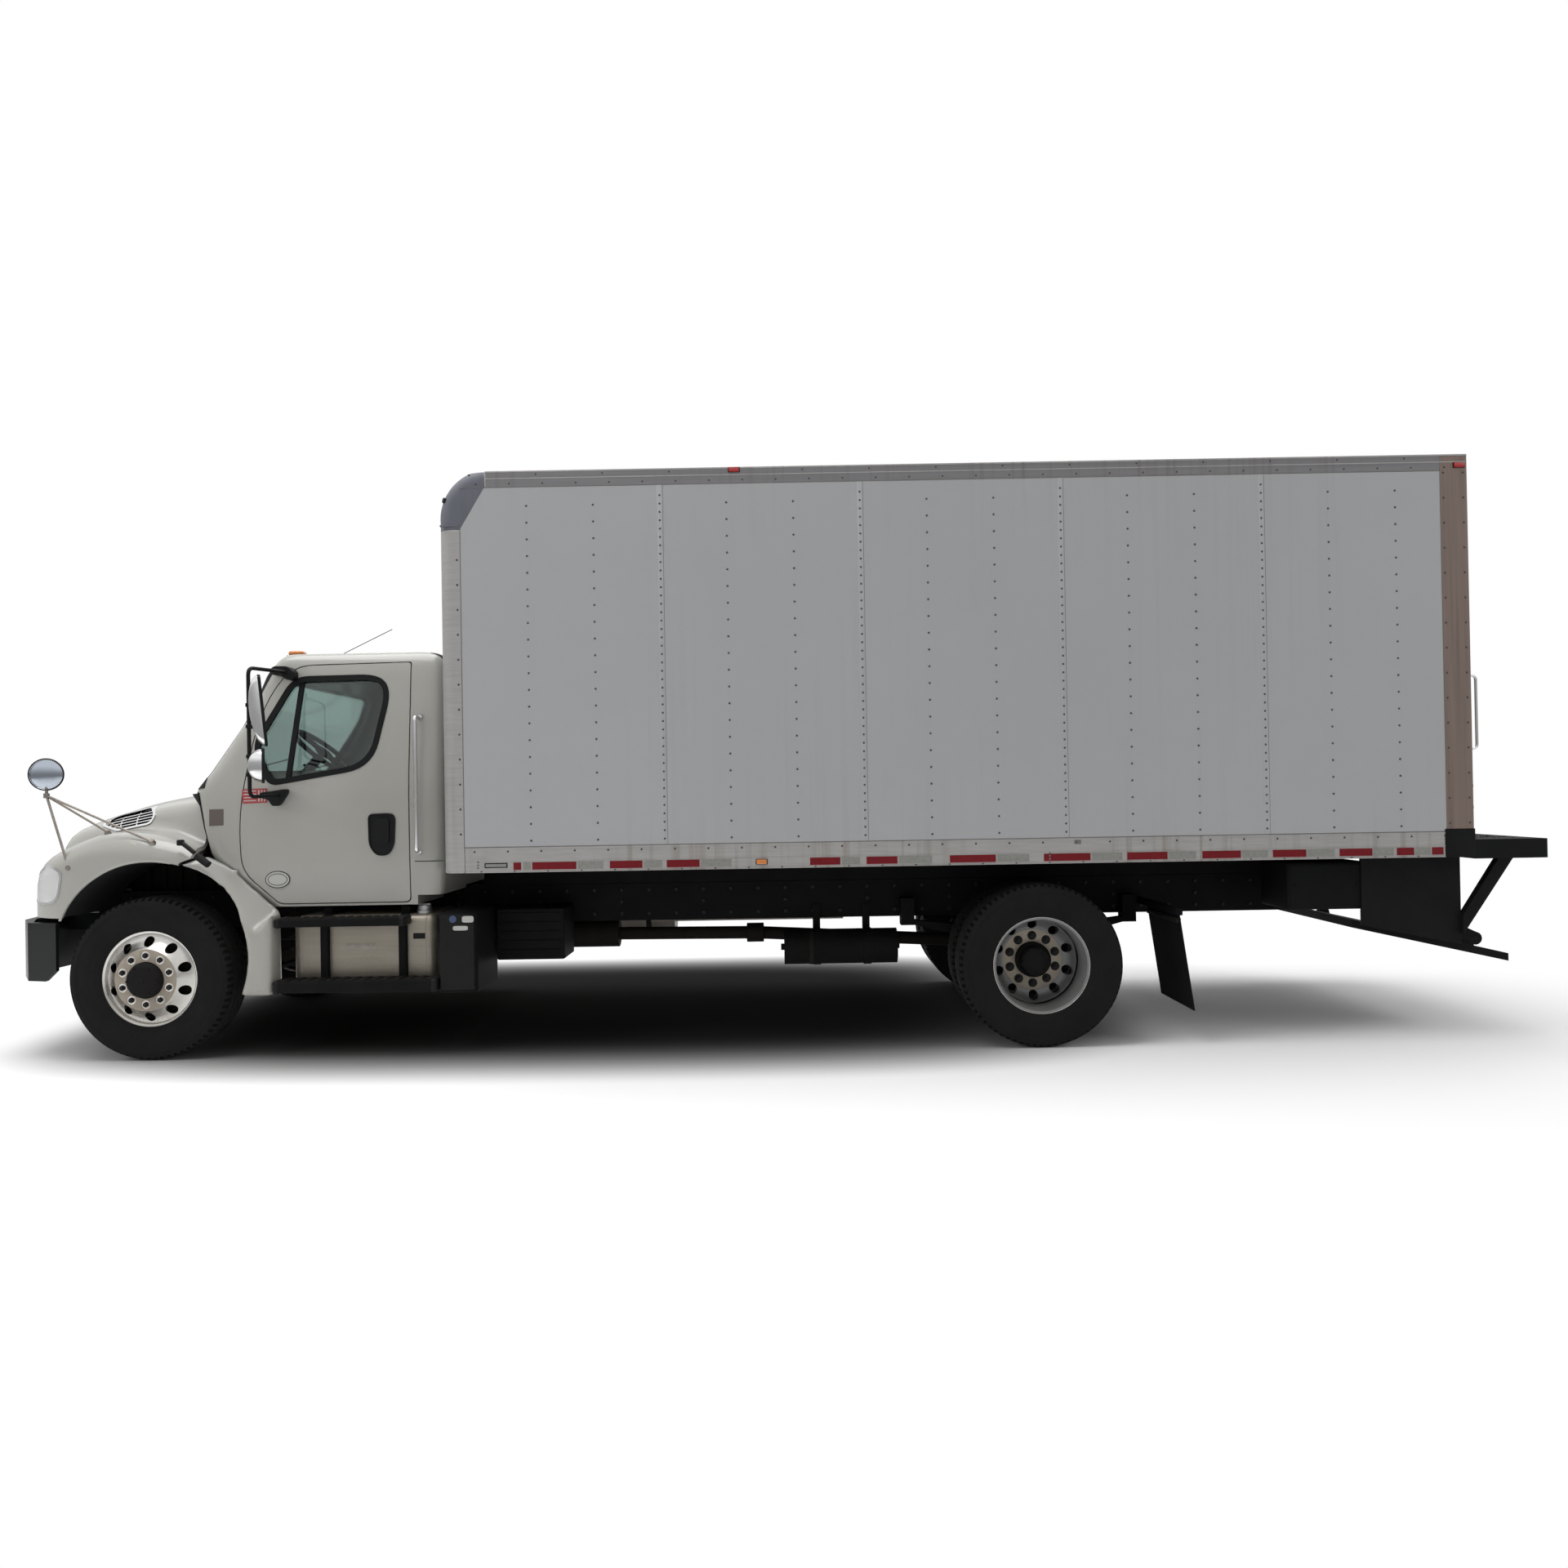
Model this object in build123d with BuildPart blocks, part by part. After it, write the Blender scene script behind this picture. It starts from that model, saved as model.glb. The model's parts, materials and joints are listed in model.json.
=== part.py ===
"""Box truck: bonneted medium-duty cab chassis with a riveted van body and a tuck-under tail lift.

Millimetres. +X is forward, +Y is the left side, +Z is up. The origin lies on the ground,
in the middle of the truck's length and width.
"""
from build123d import *
import os

os.makedirs("parts", exist_ok=True)

# ------------------------------------------------------------------ driving dimensions
WHEELBASE = 5464
FRONT_OVERHANG = 1000  # front axle to the bumper's face
AXLE_TO_BOX = 1825  # front axle to the box's front wall
BOX_LENGTH = 6270
BOX_WIDTH = 2440
BOX_HEIGHT = 2448  # bottom rail to roof
BOX_BOTTOM = 1120  # underside of the bottom rails
DECK_DEPTH = 441  # step behind the rear frame
OVERALL_LENGTH = FRONT_OVERHANG + AXLE_TO_BOX + BOX_LENGTH + DECK_DEPTH
XF = OVERALL_LENGTH / 2 - FRONT_OVERHANG  # front axle
XR = XF - WHEELBASE  # rear axle
BOX_FRONT = XF - AXLE_TO_BOX
BOX_REAR = BOX_FRONT - BOX_LENGTH
SIDES = {"left": 1, "right": -1}
SEAT_GAP = 0.3  # between two pieces where one rests beside the other
RUNNING_GAP = 0.05  # a pin's radial clearance in its bore

# ------------------------------------------------------------------ wheels
TYRE_RADIUS = 500
TYRE_WIDTH = 280
TREAD_WIDTH = 232
SHOULDER_DROP = 16
BULGE_DROP = 95
BEAD_RADIUS = 290
BEAD_WIDTH = 216
AXLE_HEIGHT = TYRE_RADIUS
FRONT_TYRE_Y = 1040  # middle of the front tyre
DUAL_Y = 920  # middle of the twin tyres
DUAL_SPACING = 320
RIM_WIDTH = 236
RIM_LIP_RADIUS = 298
RIM_WELL_RADIUS = 262
RIM_THICKNESS = 14
DISC_OFFSET = DUAL_SPACING / 2  # rim middle to the disc's mounting face
DISC_THICKNESS = 20
DISC_FLAT_RADIUS = 185
HAND_HOLES = 10
HAND_HOLE_RADIUS = 28
HAND_HOLE_CIRCLE = 218
HUB_RADIUS = 108
HUB_FRONT_PROUD = 62  # front hub cap beyond the disc
HUB_REAR_PROUD = 135  # rear hub beyond the disc
DRUM_RADIUS = 188
DRUM_DEPTH = 170
SPINDLE_RADIUS = 35
REAR_SPINDLE_RADIUS = 48

# ------------------------------------------------------------------ frame, axles and springs
RAIL_OUTER_Y = 432
RAIL_FLANGE = 76
RAIL_THICKNESS = 9
RAIL_BOTTOM = 728
RAIL_HEIGHT = 254
RAIL_TOP = RAIL_BOTTOM + RAIL_HEIGHT
RAIL_FRONT = XF + 760
RAIL_REAR = BOX_REAR + 765
CROSSMEMBER_HEIGHT = 150
CROSSMEMBER_LENGTH = 90
CROSSMEMBERS = (XF + 690, XF - 1450, XF - 2560, XF - 4100, XR - 786, RAIL_REAR + 100)
KINGPIN_Y = 900
KINGPIN_RADIUS = 20
KINGPIN_BOSS_RADIUS = 45
KINGPIN_BOSS_HEIGHT = 120
YOKE_GAP = 6
YOKE_THICKNESS = 46
YOKE_RADIUS = 48
BEAM_DEPTH = 84
BEAM_HEIGHT = 100
BEAM_DROP = 40
BEAM_FLAT_Y = 520
FRONT_SPRING_HALF = 620
REAR_SPRING_HALF = 740
SPRING_WIDTH = 76
FRONT_SPRING_SEAT = 560
REAR_SPRING_Y = 500
AXLE_TUBE_RADIUS = 78
DIFF_RADIUS = 205
STEER_ARM_REACH = 190
STEER_ARM_THICKNESS = 30
TIE_ROD_Y = KINGPIN_Y
OPEN_PIVOT_GAP = 1
TIE_ROD_RADIUS = 19
TIE_PIN_RADIUS = 10
STEER_EYE_RADIUS = 26

# ------------------------------------------------------------------ cab
CAB_WALL = 52
CAB_CORNER = 60
CAB_BOTTOM = 915
CAB_FLOOR = 1050
CAB_TUNNEL_HALF = 480
CAB_TUNNEL_TOP = 995
CAB_MOUNTS = (XF - 800, XF - 1500)
CAB_MOUNT_RADIUS = 36
CAB_HALF_WIDTH = 1000
FENDER_HALF = CAB_HALF_WIDTH + 178
DOOR_INSIDE = CAB_HALF_WIDTH - 300  # where the door's cutters start
CAB_BACK = XF - 1770
CAB_HEEL = (XF - 1600, 975)  # the cab's rear foot is cut away behind and below this
ROOF_HEIGHT = 2504
COWL_X = XF - 75
COWL_HEIGHT = 1650
SCREEN_TOP_X = XF - 705
GUARD_OUTLINE = (
    (XF - 188, 1200),
    (XF - 300, 1248),
    (XF - 470, 1165),
    (XF - 755, 905),
    (XF - 755, 382),
    (XF - 560, 382),
)
SCREEN_TOP_Z = 2420
# height, front face, rear face, half width
CAB_SECTIONS = (
    (CAB_BOTTOM, XF - 650, CAB_BACK + 20, CAB_HALF_WIDTH - 10),
    (1180, XF - 320, CAB_BACK + 5, CAB_HALF_WIDTH),
    (1420, XF - 215, CAB_BACK, CAB_HALF_WIDTH),
    (COWL_HEIGHT, COWL_X, CAB_BACK, CAB_HALF_WIDTH),
    (SCREEN_TOP_Z, SCREEN_TOP_X, CAB_BACK + 5, CAB_HALF_WIDTH - 85),
    (ROOF_HEIGHT, SCREEN_TOP_X - 110, CAB_BACK + 150, CAB_HALF_WIDTH - 200),
)
DOOR_GAP = 7
DOOR_HINGE_X = XF - 482
DOOR_HINGE_Y = CAB_HALF_WIDTH + 16
DOOR_HINGE_HEIGHTS = (1190, 1440)
DOOR_HINGE_LENGTH = 60
DOOR_HINGE_GAP = 1
DOOR_EYE_RADIUS = 10
DOOR_PIN_RADIUS = 5
DOOR_LEAF_LENGTH = 62
DOOR_EAR_HEIGHT = 14
DOOR_BOTTOM = 935
DOOR_OUTLINE = (
    (XF - 501, 1142),
    (XF - 485, 1487),
    (XF - 596, 2145),
    (XF - 810, 2392),
    (XF - 1500, 2396),
    (XF - 1577, 2320),
    (XF - 1554, DOOR_BOTTOM),
    (XF - 731, DOOR_BOTTOM),
)
WINDOW_OUTLINE = (
    (XF - 575, 1932),
    (XF - 815, 2350),
    (XF - 1339, 2356),
    (XF - 1410, 2265),
    (XF - 1307, 1795),
    (XF - 680, 1693),
)
GLASS_THICKNESS = 6
GLASS_INSET = 18  # glass behind the panel's face
GLASS_CLEARANCE = 0.3
SCREEN_HALF_BOTTOM = CAB_HALF_WIDTH - 110
SCREEN_HALF_TOP = CAB_HALF_WIDTH - 200
SCREEN_BOTTOM_Z = 1700
SCREEN_TOP_EDGE_Z = 2372
BACKLIGHT_HALF = 520
BACKLIGHT_BOTTOM = 1720
BACKLIGHT_TOP = 2180

# ------------------------------------------------------------------ hood and fenders
HOOD_WALL = 26
HOOD_GAP = 8
HOOD_BOTTOM = 880
HOOD_FRONT = XF + 935
HOOD_SWEEP = 1250  # hood's rear edge is an arc of this radius about its hinge
HINGE_NOTCH_RADIUS = 30
ARCH_RADIUS = 600
ARCH_CENTRE_Z = 620
ARCH_LINER = 12
ARCH_INNER_Y = 640
HOOD_HINGE_X = XF + 925
HOOD_HINGE_Z = 866
HINGE_EYE_Y = 330
HINGE_EYE_LENGTH = 60
HINGE_EYE_RADIUS = 15
HINGE_PIN_RADIUS = 8
HINGE_SIDE_GAP = 3
# x, crown height, shoulder height, shoulder half width, fender crest, fender half width
HOOD_SECTIONS = (
    (XF - 300, 1668, 1600, 800, 1268, FENDER_HALF - 58),
    (XF - 20, 1655, 1580, 790, 1372, FENDER_HALF),
    (XF + 300, 1615, 1530, 770, 1392, FENDER_HALF),
    (XF + 560, 1550, 1452, 760, 1310, FENDER_HALF - 18),
    (XF + 760, 1470, 1380, 740, 1215, FENDER_HALF - 138),
    (HOOD_FRONT, 1270, 1200, 560, 1060, 760),
)


# ------------------------------------------------------------------ shared shapes
def block(x_range, y_range, z_range, mode=Mode.ADD):
    """A rectangular block between two values on each axis."""
    spans = (sorted(x_range), sorted(y_range), sorted(z_range))
    centre = tuple((low + high) / 2 for low, high in spans)
    with Locations(centre):
        Box(*(high - low for low, high in spans), mode=mode)


def side_prism(points, y_range, mode=Mode.ADD, grow=0):
    """A prism across the truck whose outline is drawn in side view, as (x, z) points."""
    low, high = sorted(y_range)
    with BuildSketch(Plane.XZ.offset(-high)) as outline:
        with BuildLine():
            Polyline(*points, close=True)
        make_face()
        if grow:
            offset(amount=grow, kind=Kind.INTERSECTION, mode=Mode.REPLACE)
    extrude(outline.sketch, amount=high - low, mode=mode)


def front_prism(points, x_range, mode=Mode.ADD):
    """A prism along the truck whose outline is drawn in end view, as (y, z) points."""
    low, high = sorted(x_range)
    with BuildSketch(Plane.YZ.offset(low)) as outline:
        with BuildLine():
            Polyline(*points, close=True)
        make_face()
    extrude(outline.sketch, amount=high - low, mode=mode)


def rod(start, end, radius, mode=Mode.ADD):
    """A straight round bar from one point to another."""
    run = Vector(*end) - Vector(*start)
    with BuildSketch(Plane(origin=start, z_dir=run)) as section:
        Circle(radius)
    extrude(section.sketch, amount=run.length, mode=mode)


def wheel_plane(x, y):
    """A plane through a wheel's axis: its x runs along the axis outwards, its y is the radius."""
    return Plane(origin=(x, y, AXLE_HEIGHT), x_dir=(0, 1, 0), z_dir=(1, 0, 0))


def turned(x, y, points, mode=Mode.ADD):
    """A turned ring or disc on a wheel's axis, from (along the axis, radius) points."""
    with BuildSketch(wheel_plane(x, y)) as section:
        with BuildLine():
            Polyline(*points, close=True)
        make_face()
    revolve(section.sketch, axis=Axis((x, y, AXLE_HEIGHT), (0, 1, 0)), mode=mode)


def to_side(side):
    """Move what was built on the left over to the right side, when that is the side wanted."""
    if side == "right":
        mirror(about=Plane.XZ, mode=Mode.REPLACE)


# ------------------------------------------------------------------ tyres and wheels
def tyre(x, y):
    """One tyre: tread, shoulders, bulging sidewalls and beads."""
    half_profile = (
        (BEAD_WIDTH / 2, BEAD_RADIUS),
        (BEAD_WIDTH / 2, RIM_LIP_RADIUS + SEAT_GAP),
        (TYRE_WIDTH / 2, TYRE_RADIUS - BULGE_DROP),
        (TYRE_WIDTH / 2 - 4, TYRE_RADIUS - BULGE_DROP / 2),
        (TREAD_WIDTH / 2, TYRE_RADIUS - SHOULDER_DROP),
        (TREAD_WIDTH / 2 - SHOULDER_DROP, TYRE_RADIUS),
    )
    other_half = tuple((-width, radius) for width, radius in reversed(half_profile))
    turned(x, y, half_profile + other_half)


def rim(x, y, dish):
    """One pressed disc wheel; dish is 1 where the disc bulges outwards and -1 inwards."""
    lip = RIM_WIDTH / 2
    seat = BEAD_RADIUS - SEAT_GAP
    bead = BEAD_WIDTH / 2
    well = lip / 3
    inner = RIM_WELL_RADIUS - RIM_THICKNESS
    barrel = (
        (-lip, RIM_LIP_RADIUS),
        (-lip, seat - RIM_THICKNESS),
        (-well, inner),
        (well, inner),
        (lip, seat - RIM_THICKNESS),
        (lip, RIM_LIP_RADIUS),
        (bead + SEAT_GAP, RIM_LIP_RADIUS),
        (bead + SEAT_GAP, seat),
        (well, RIM_WELL_RADIUS),
        (-well, RIM_WELL_RADIUS),
        (-bead - SEAT_GAP, seat),
        (-bead - SEAT_GAP, RIM_LIP_RADIUS),
    )
    turned(x, y, barrel)
    face = dish * DISC_OFFSET
    back = face - dish * DISC_THICKNESS
    root = dish * well
    disc = (
        (face, HUB_RADIUS - 2),
        (face, DISC_FLAT_RADIUS),
        (root + dish * DISC_THICKNESS * 2, inner + 1),
        (root - dish * DISC_THICKNESS, inner + 1),
        (back, DISC_FLAT_RADIUS - 6),
        (back, HUB_RADIUS - 2),
    )
    turned(x, y, disc)


def hand_holes(x, y_range):
    """Round holes through a wheel's disc."""
    low, high = sorted(y_range)
    plane = Plane(origin=(x, low, AXLE_HEIGHT), x_dir=(1, 0, 0), z_dir=(0, 1, 0))
    with BuildSketch(plane) as ring:
        with PolarLocations(HAND_HOLE_CIRCLE, HAND_HOLES):
            Circle(HAND_HOLE_RADIUS)
    extrude(ring.sketch, amount=high - low, mode=Mode.SUBTRACT)


for side in SIDES:
    with BuildPart() as front_tyre:
        tyre(XF, FRONT_TYRE_Y)
        to_side(side)
    front_tyre.part.label = f"tyre_front_{side}"
    export_step(front_tyre.part, f"parts/tyre_front_{side}.step")

    front_face = FRONT_TYRE_Y + DISC_OFFSET
    drum_back = front_face - DISC_THICKNESS - DRUM_DEPTH
    with BuildPart() as front_wheel:
        rim(XF, FRONT_TYRE_Y, 1)
        hand_holes(XF, (FRONT_TYRE_Y, front_face + 1))
        rod((XF, drum_back, AXLE_HEIGHT), (XF, front_face - DISC_THICKNESS, AXLE_HEIGHT), DRUM_RADIUS)
        rod((XF, drum_back, AXLE_HEIGHT), (XF, front_face + HUB_FRONT_PROUD, AXLE_HEIGHT), HUB_RADIUS)
        rod(
            (XF, drum_back, AXLE_HEIGHT),
            (XF, front_face, AXLE_HEIGHT),
            SPINDLE_RADIUS + RUNNING_GAP,
            mode=Mode.SUBTRACT,
        )
        to_side(side)
    front_wheel.part.label = f"wheel_front_{side}"
    export_step(front_wheel.part, f"parts/wheel_front_{side}.step")

    with BuildPart() as dual_tyres:
        tyre(XR, DUAL_Y + DUAL_SPACING / 2)
        tyre(XR, DUAL_Y - DUAL_SPACING / 2)
        to_side(side)
    dual_tyres.part.label = f"tyres_rear_{side}"
    export_step(dual_tyres.part, f"parts/tyres_rear_{side}.step")

    outer_y = DUAL_Y + DUAL_SPACING / 2
    inner_y = DUAL_Y - DUAL_SPACING / 2
    hub_back = DUAL_Y - DISC_THICKNESS - DRUM_DEPTH
    with BuildPart() as dual_wheels:
        rim(XR, outer_y, -1)
        rim(XR, inner_y, 1)
        hand_holes(XR, (inner_y, outer_y))
        rod((XR, hub_back, AXLE_HEIGHT), (XR, DUAL_Y - DISC_THICKNESS, AXLE_HEIGHT), DRUM_RADIUS)
        rod((XR, hub_back, AXLE_HEIGHT), (XR, DUAL_Y + HUB_REAR_PROUD, AXLE_HEIGHT), HUB_RADIUS)
        rod(
            (XR, hub_back, AXLE_HEIGHT),
            (XR, DUAL_Y + DISC_THICKNESS, AXLE_HEIGHT),
            REAR_SPINDLE_RADIUS + RUNNING_GAP,
            mode=Mode.SUBTRACT,
        )
        to_side(side)
    dual_wheels.part.label = f"wheels_rear_{side}"
    export_step(dual_wheels.part, f"parts/wheels_rear_{side}.step")

# ------------------------------------------------------------------ frame rails
with BuildPart() as frame_rails:
    web = RAIL_OUTER_Y - RAIL_THICKNESS
    flange = RAIL_OUTER_Y - RAIL_FLANGE
    channel = (
        (RAIL_OUTER_Y, RAIL_BOTTOM),
        (RAIL_OUTER_Y, RAIL_TOP),
        (flange, RAIL_TOP),
        (flange, RAIL_TOP - RAIL_THICKNESS),
        (web, RAIL_TOP - RAIL_THICKNESS),
        (web, RAIL_BOTTOM + RAIL_THICKNESS),
        (flange, RAIL_BOTTOM + RAIL_THICKNESS),
        (flange, RAIL_BOTTOM),
    )
    front_prism(channel, (RAIL_REAR, RAIL_FRONT))
    mirror(about=Plane.XZ)
    middle = (RAIL_TOP + RAIL_BOTTOM) / 2
    for place in CROSSMEMBERS:
        block(
            (place - CROSSMEMBER_LENGTH / 2, place + CROSSMEMBER_LENGTH / 2),
            (-web, web),
            (middle - CROSSMEMBER_HEIGHT / 2, middle + CROSSMEMBER_HEIGHT / 2),
        )
frame_rails.part.label = "frame_rails"
export_step(frame_rails.part, "parts/frame_rails.step")

# ------------------------------------------------------------------ front axle, knuckles and tie rod
boss_top = AXLE_HEIGHT + KINGPIN_BOSS_HEIGHT / 2
boss_bottom = AXLE_HEIGHT - KINGPIN_BOSS_HEIGHT / 2
with BuildPart() as front_axle:
    beam_top = FRONT_SPRING_SEAT
    half_beam = (
        (0, beam_top - BEAM_HEIGHT - BEAM_DROP),
        (BEAM_FLAT_Y, beam_top - BEAM_HEIGHT - BEAM_DROP),
        (KINGPIN_Y, boss_bottom),
        (KINGPIN_Y, boss_top),
        (BEAM_FLAT_Y, beam_top),
        (RAIL_OUTER_Y - RAIL_FLANGE, beam_top),
        (RAIL_OUTER_Y - RAIL_FLANGE - 40, beam_top - BEAM_DROP),
        (0, beam_top - BEAM_DROP),
    )
    front_prism(half_beam, (XF - BEAM_DEPTH / 2, XF + BEAM_DEPTH / 2))
    rod((XF, KINGPIN_Y, boss_bottom), (XF, KINGPIN_Y, boss_top), KINGPIN_BOSS_RADIUS)
    rod(
        (XF, KINGPIN_Y, boss_bottom - YOKE_GAP),
        (XF, KINGPIN_Y, boss_top + YOKE_GAP),
        KINGPIN_RADIUS + RUNNING_GAP,
        mode=Mode.SUBTRACT,
    )
    mirror(about=Plane.XZ)
front_axle.part.label = "front_axle"
export_step(front_axle.part, "parts/front_axle.step")

lug_low = boss_bottom - YOKE_GAP - YOKE_THICKNESS
lug_high = boss_top + YOKE_GAP + YOKE_THICKNESS
yoke_web_y = KINGPIN_Y + KINGPIN_BOSS_RADIUS + YOKE_GAP
tie_rod_x = XF - STEER_ARM_REACH
for side in SIDES:
    with BuildPart() as knuckle:
        rod((XF, KINGPIN_Y, lug_low), (XF, KINGPIN_Y, boss_bottom - YOKE_GAP), YOKE_RADIUS)
        rod((XF, KINGPIN_Y, boss_top + YOKE_GAP), (XF, KINGPIN_Y, lug_high), YOKE_RADIUS)
        rod((XF, KINGPIN_Y, lug_low), (XF, KINGPIN_Y, lug_high), KINGPIN_RADIUS)
        for low, high in ((lug_low, boss_bottom - YOKE_GAP), (boss_top + YOKE_GAP, lug_high)):
            block((XF - YOKE_RADIUS, XF + YOKE_RADIUS), (KINGPIN_Y, yoke_web_y + 30), (low, high))
        block((XF - YOKE_RADIUS, XF + YOKE_RADIUS), (yoke_web_y, yoke_web_y + 30), (lug_low, lug_high))
        rod(
            (XF, yoke_web_y, AXLE_HEIGHT),
            (XF, FRONT_TYRE_Y + DISC_OFFSET - 4, AXLE_HEIGHT),
            SPINDLE_RADIUS,
        )
        block(
            (tie_rod_x, XF),
            (TIE_ROD_Y - STEER_EYE_RADIUS, TIE_ROD_Y + STEER_EYE_RADIUS),
            (lug_low, lug_low + STEER_ARM_THICKNESS),
        )
        eye_low = (tie_rod_x, TIE_ROD_Y, lug_low)
        eye_high = (tie_rod_x, TIE_ROD_Y, lug_low + STEER_ARM_THICKNESS)
        rod(eye_low, eye_high, STEER_EYE_RADIUS)
        pivot_gap = RUNNING_GAP if side == "left" else OPEN_PIVOT_GAP
        rod(eye_low, eye_high, TIE_PIN_RADIUS + pivot_gap, mode=Mode.SUBTRACT)
        to_side(side)
    knuckle.part.label = f"knuckle_{side}"
    export_step(knuckle.part, f"parts/knuckle_{side}.step")

with BuildPart() as tie_rod:
    rod_z = lug_low - YOKE_GAP - TIE_ROD_RADIUS
    rod((tie_rod_x, -TIE_ROD_Y, rod_z), (tie_rod_x, TIE_ROD_Y, rod_z), TIE_ROD_RADIUS)
    for sign in SIDES.values():
        eye = (tie_rod_x, sign * TIE_ROD_Y)
        rod((*eye, rod_z - TIE_ROD_RADIUS - 4), (*eye, lug_low - YOKE_GAP), TIE_ROD_RADIUS + 8)
        rod((*eye, rod_z), (*eye, lug_low + STEER_ARM_THICKNESS), TIE_PIN_RADIUS)
tie_rod.part.label = "tie_rod"
export_step(tie_rod.part, "parts/tie_rod.step")

# ------------------------------------------------------------------ rear axle
with BuildPart() as rear_axle:
    housing_end = DUAL_Y - DISC_THICKNESS - DRUM_DEPTH - 12
    spindle_end = DUAL_Y + DISC_THICKNESS - 6
    rod((XR, -housing_end, AXLE_HEIGHT), (XR, housing_end, AXLE_HEIGHT), AXLE_TUBE_RADIUS)
    rod((XR, -spindle_end, AXLE_HEIGHT), (XR, spindle_end, AXLE_HEIGHT), REAR_SPINDLE_RADIUS)
    rod((XR - 130, 0, AXLE_HEIGHT), (XR + 60, 0, AXLE_HEIGHT), DIFF_RADIUS)
    rod((XR, 0, AXLE_HEIGHT), (XR + 250, 0, AXLE_HEIGHT), AXLE_TUBE_RADIUS)
rear_axle.part.label = "rear_axle"
export_step(rear_axle.part, "parts/rear_axle.step")

# ------------------------------------------------------------------ leaf springs


def leaf_spring(x, half_length, inner_y, seat_z, eye_z):
    """One leaf pack, bowed between its ends and thick in the middle, with a hanger at each end."""
    pack = eye_z - seat_z
    with BuildSketch(Plane.XZ.offset(-inner_y - SPRING_WIDTH)) as leaves:
        with BuildLine():
            ThreePointArc((x - half_length, eye_z), (x, seat_z + pack * 0.62), (x + half_length, eye_z))
            Line((x + half_length, eye_z), (x + half_length, eye_z - 26))
            ThreePointArc((x + half_length, eye_z - 26), (x, seat_z), (x - half_length, eye_z - 26))
            Line((x - half_length, eye_z - 26), (x - half_length, eye_z))
        make_face()
    extrude(leaves.sketch, amount=SPRING_WIDTH)


with BuildPart() as springs:
    front_inner = RAIL_OUTER_Y - SPRING_WIDTH
    front_eye = RAIL_BOTTOM - 16
    leaf_spring(XF, FRONT_SPRING_HALF, front_inner, FRONT_SPRING_SEAT, front_eye)
    for end in (XF - FRONT_SPRING_HALF, XF + FRONT_SPRING_HALF):
        block((end - 40, end + 40), (front_inner, RAIL_OUTER_Y), (front_eye - 40, RAIL_BOTTOM))
    rear_inner = REAR_SPRING_Y - SPRING_WIDTH / 2
    rear_seat = AXLE_HEIGHT + AXLE_TUBE_RADIUS
    leaf_spring(XR, REAR_SPRING_HALF, rear_inner, rear_seat, RAIL_BOTTOM - 10)
    for end in (XR - REAR_SPRING_HALF, XR + REAR_SPRING_HALF):
        block(
            (end - 45, end + 45),
            (RAIL_OUTER_Y, rear_inner + SPRING_WIDTH),
            (RAIL_BOTTOM - 50, RAIL_BOTTOM + 130),
        )
    mirror(about=Plane.XZ)
springs.part.label = "leaf_springs"
export_step(springs.part, "parts/leaf_springs.step")

# ------------------------------------------------------------------ engine, gearbox and driveline
ENGINE_X = (XF - 150, XF + 600)
ENGINE_HALF = 330
ENGINE_Z = (625, 1360)
with BuildPart() as engine_block:
    block(ENGINE_X, (-ENGINE_HALF, ENGINE_HALF), ENGINE_Z)
engine_block.part.label = "engine_block"
export_step(engine_block.part, "parts/engine_block.step")

RADIATOR_X = (XF + 680, XF + 750)
RADIATOR_HALF = 400
RADIATOR_TOP = 1345
with BuildPart() as radiator:
    block(RADIATOR_X, (-RADIATOR_HALF, RADIATOR_HALF), (RAIL_TOP, RADIATOR_TOP))
radiator.part.label = "radiator"
export_step(radiator.part, "parts/radiator.step")

GEARBOX_REAR = XF - 1320
SHAFT_RADIUS = 45
BEARING_X = XF - 2515
BEARING_RADIUS = 95
BEARING_Z = 590
JOINT_X = XF - 3687
JOINT_RADIUS = 68
JOINT_Z = 580
with BuildPart() as driveline:
    bell = (ENGINE_X[0], 0, 780)
    rod(bell, (XF - 520, 0, 780), 200)
    rod((XF - 520, 0, 780), (GEARBOX_REAR, 0, 740), 150)
    rod((GEARBOX_REAR, 0, 740), (BEARING_X, 0, BEARING_Z), SHAFT_RADIUS)
    rod((BEARING_X + 200, 0, BEARING_Z), (BEARING_X - 200, 0, BEARING_Z), BEARING_RADIUS)
    block((BEARING_X - 90, BEARING_X), (-30, 30), (BEARING_Z, middle - CROSSMEMBER_HEIGHT / 2))
    rod((BEARING_X, 0, BEARING_Z), (JOINT_X, 0, JOINT_Z), SHAFT_RADIUS)
    rod((JOINT_X + 60, 0, JOINT_Z), (JOINT_X - 60, 0, JOINT_Z), JOINT_RADIUS)
    rod((JOINT_X, 0, JOINT_Z), (XR + 250, 0, AXLE_HEIGHT), SHAFT_RADIUS)
    add(rear_axle.part, mode=Mode.SUBTRACT)
driveline.part.label = "driveline"
export_step(driveline.part, "parts/driveline.step")

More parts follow.
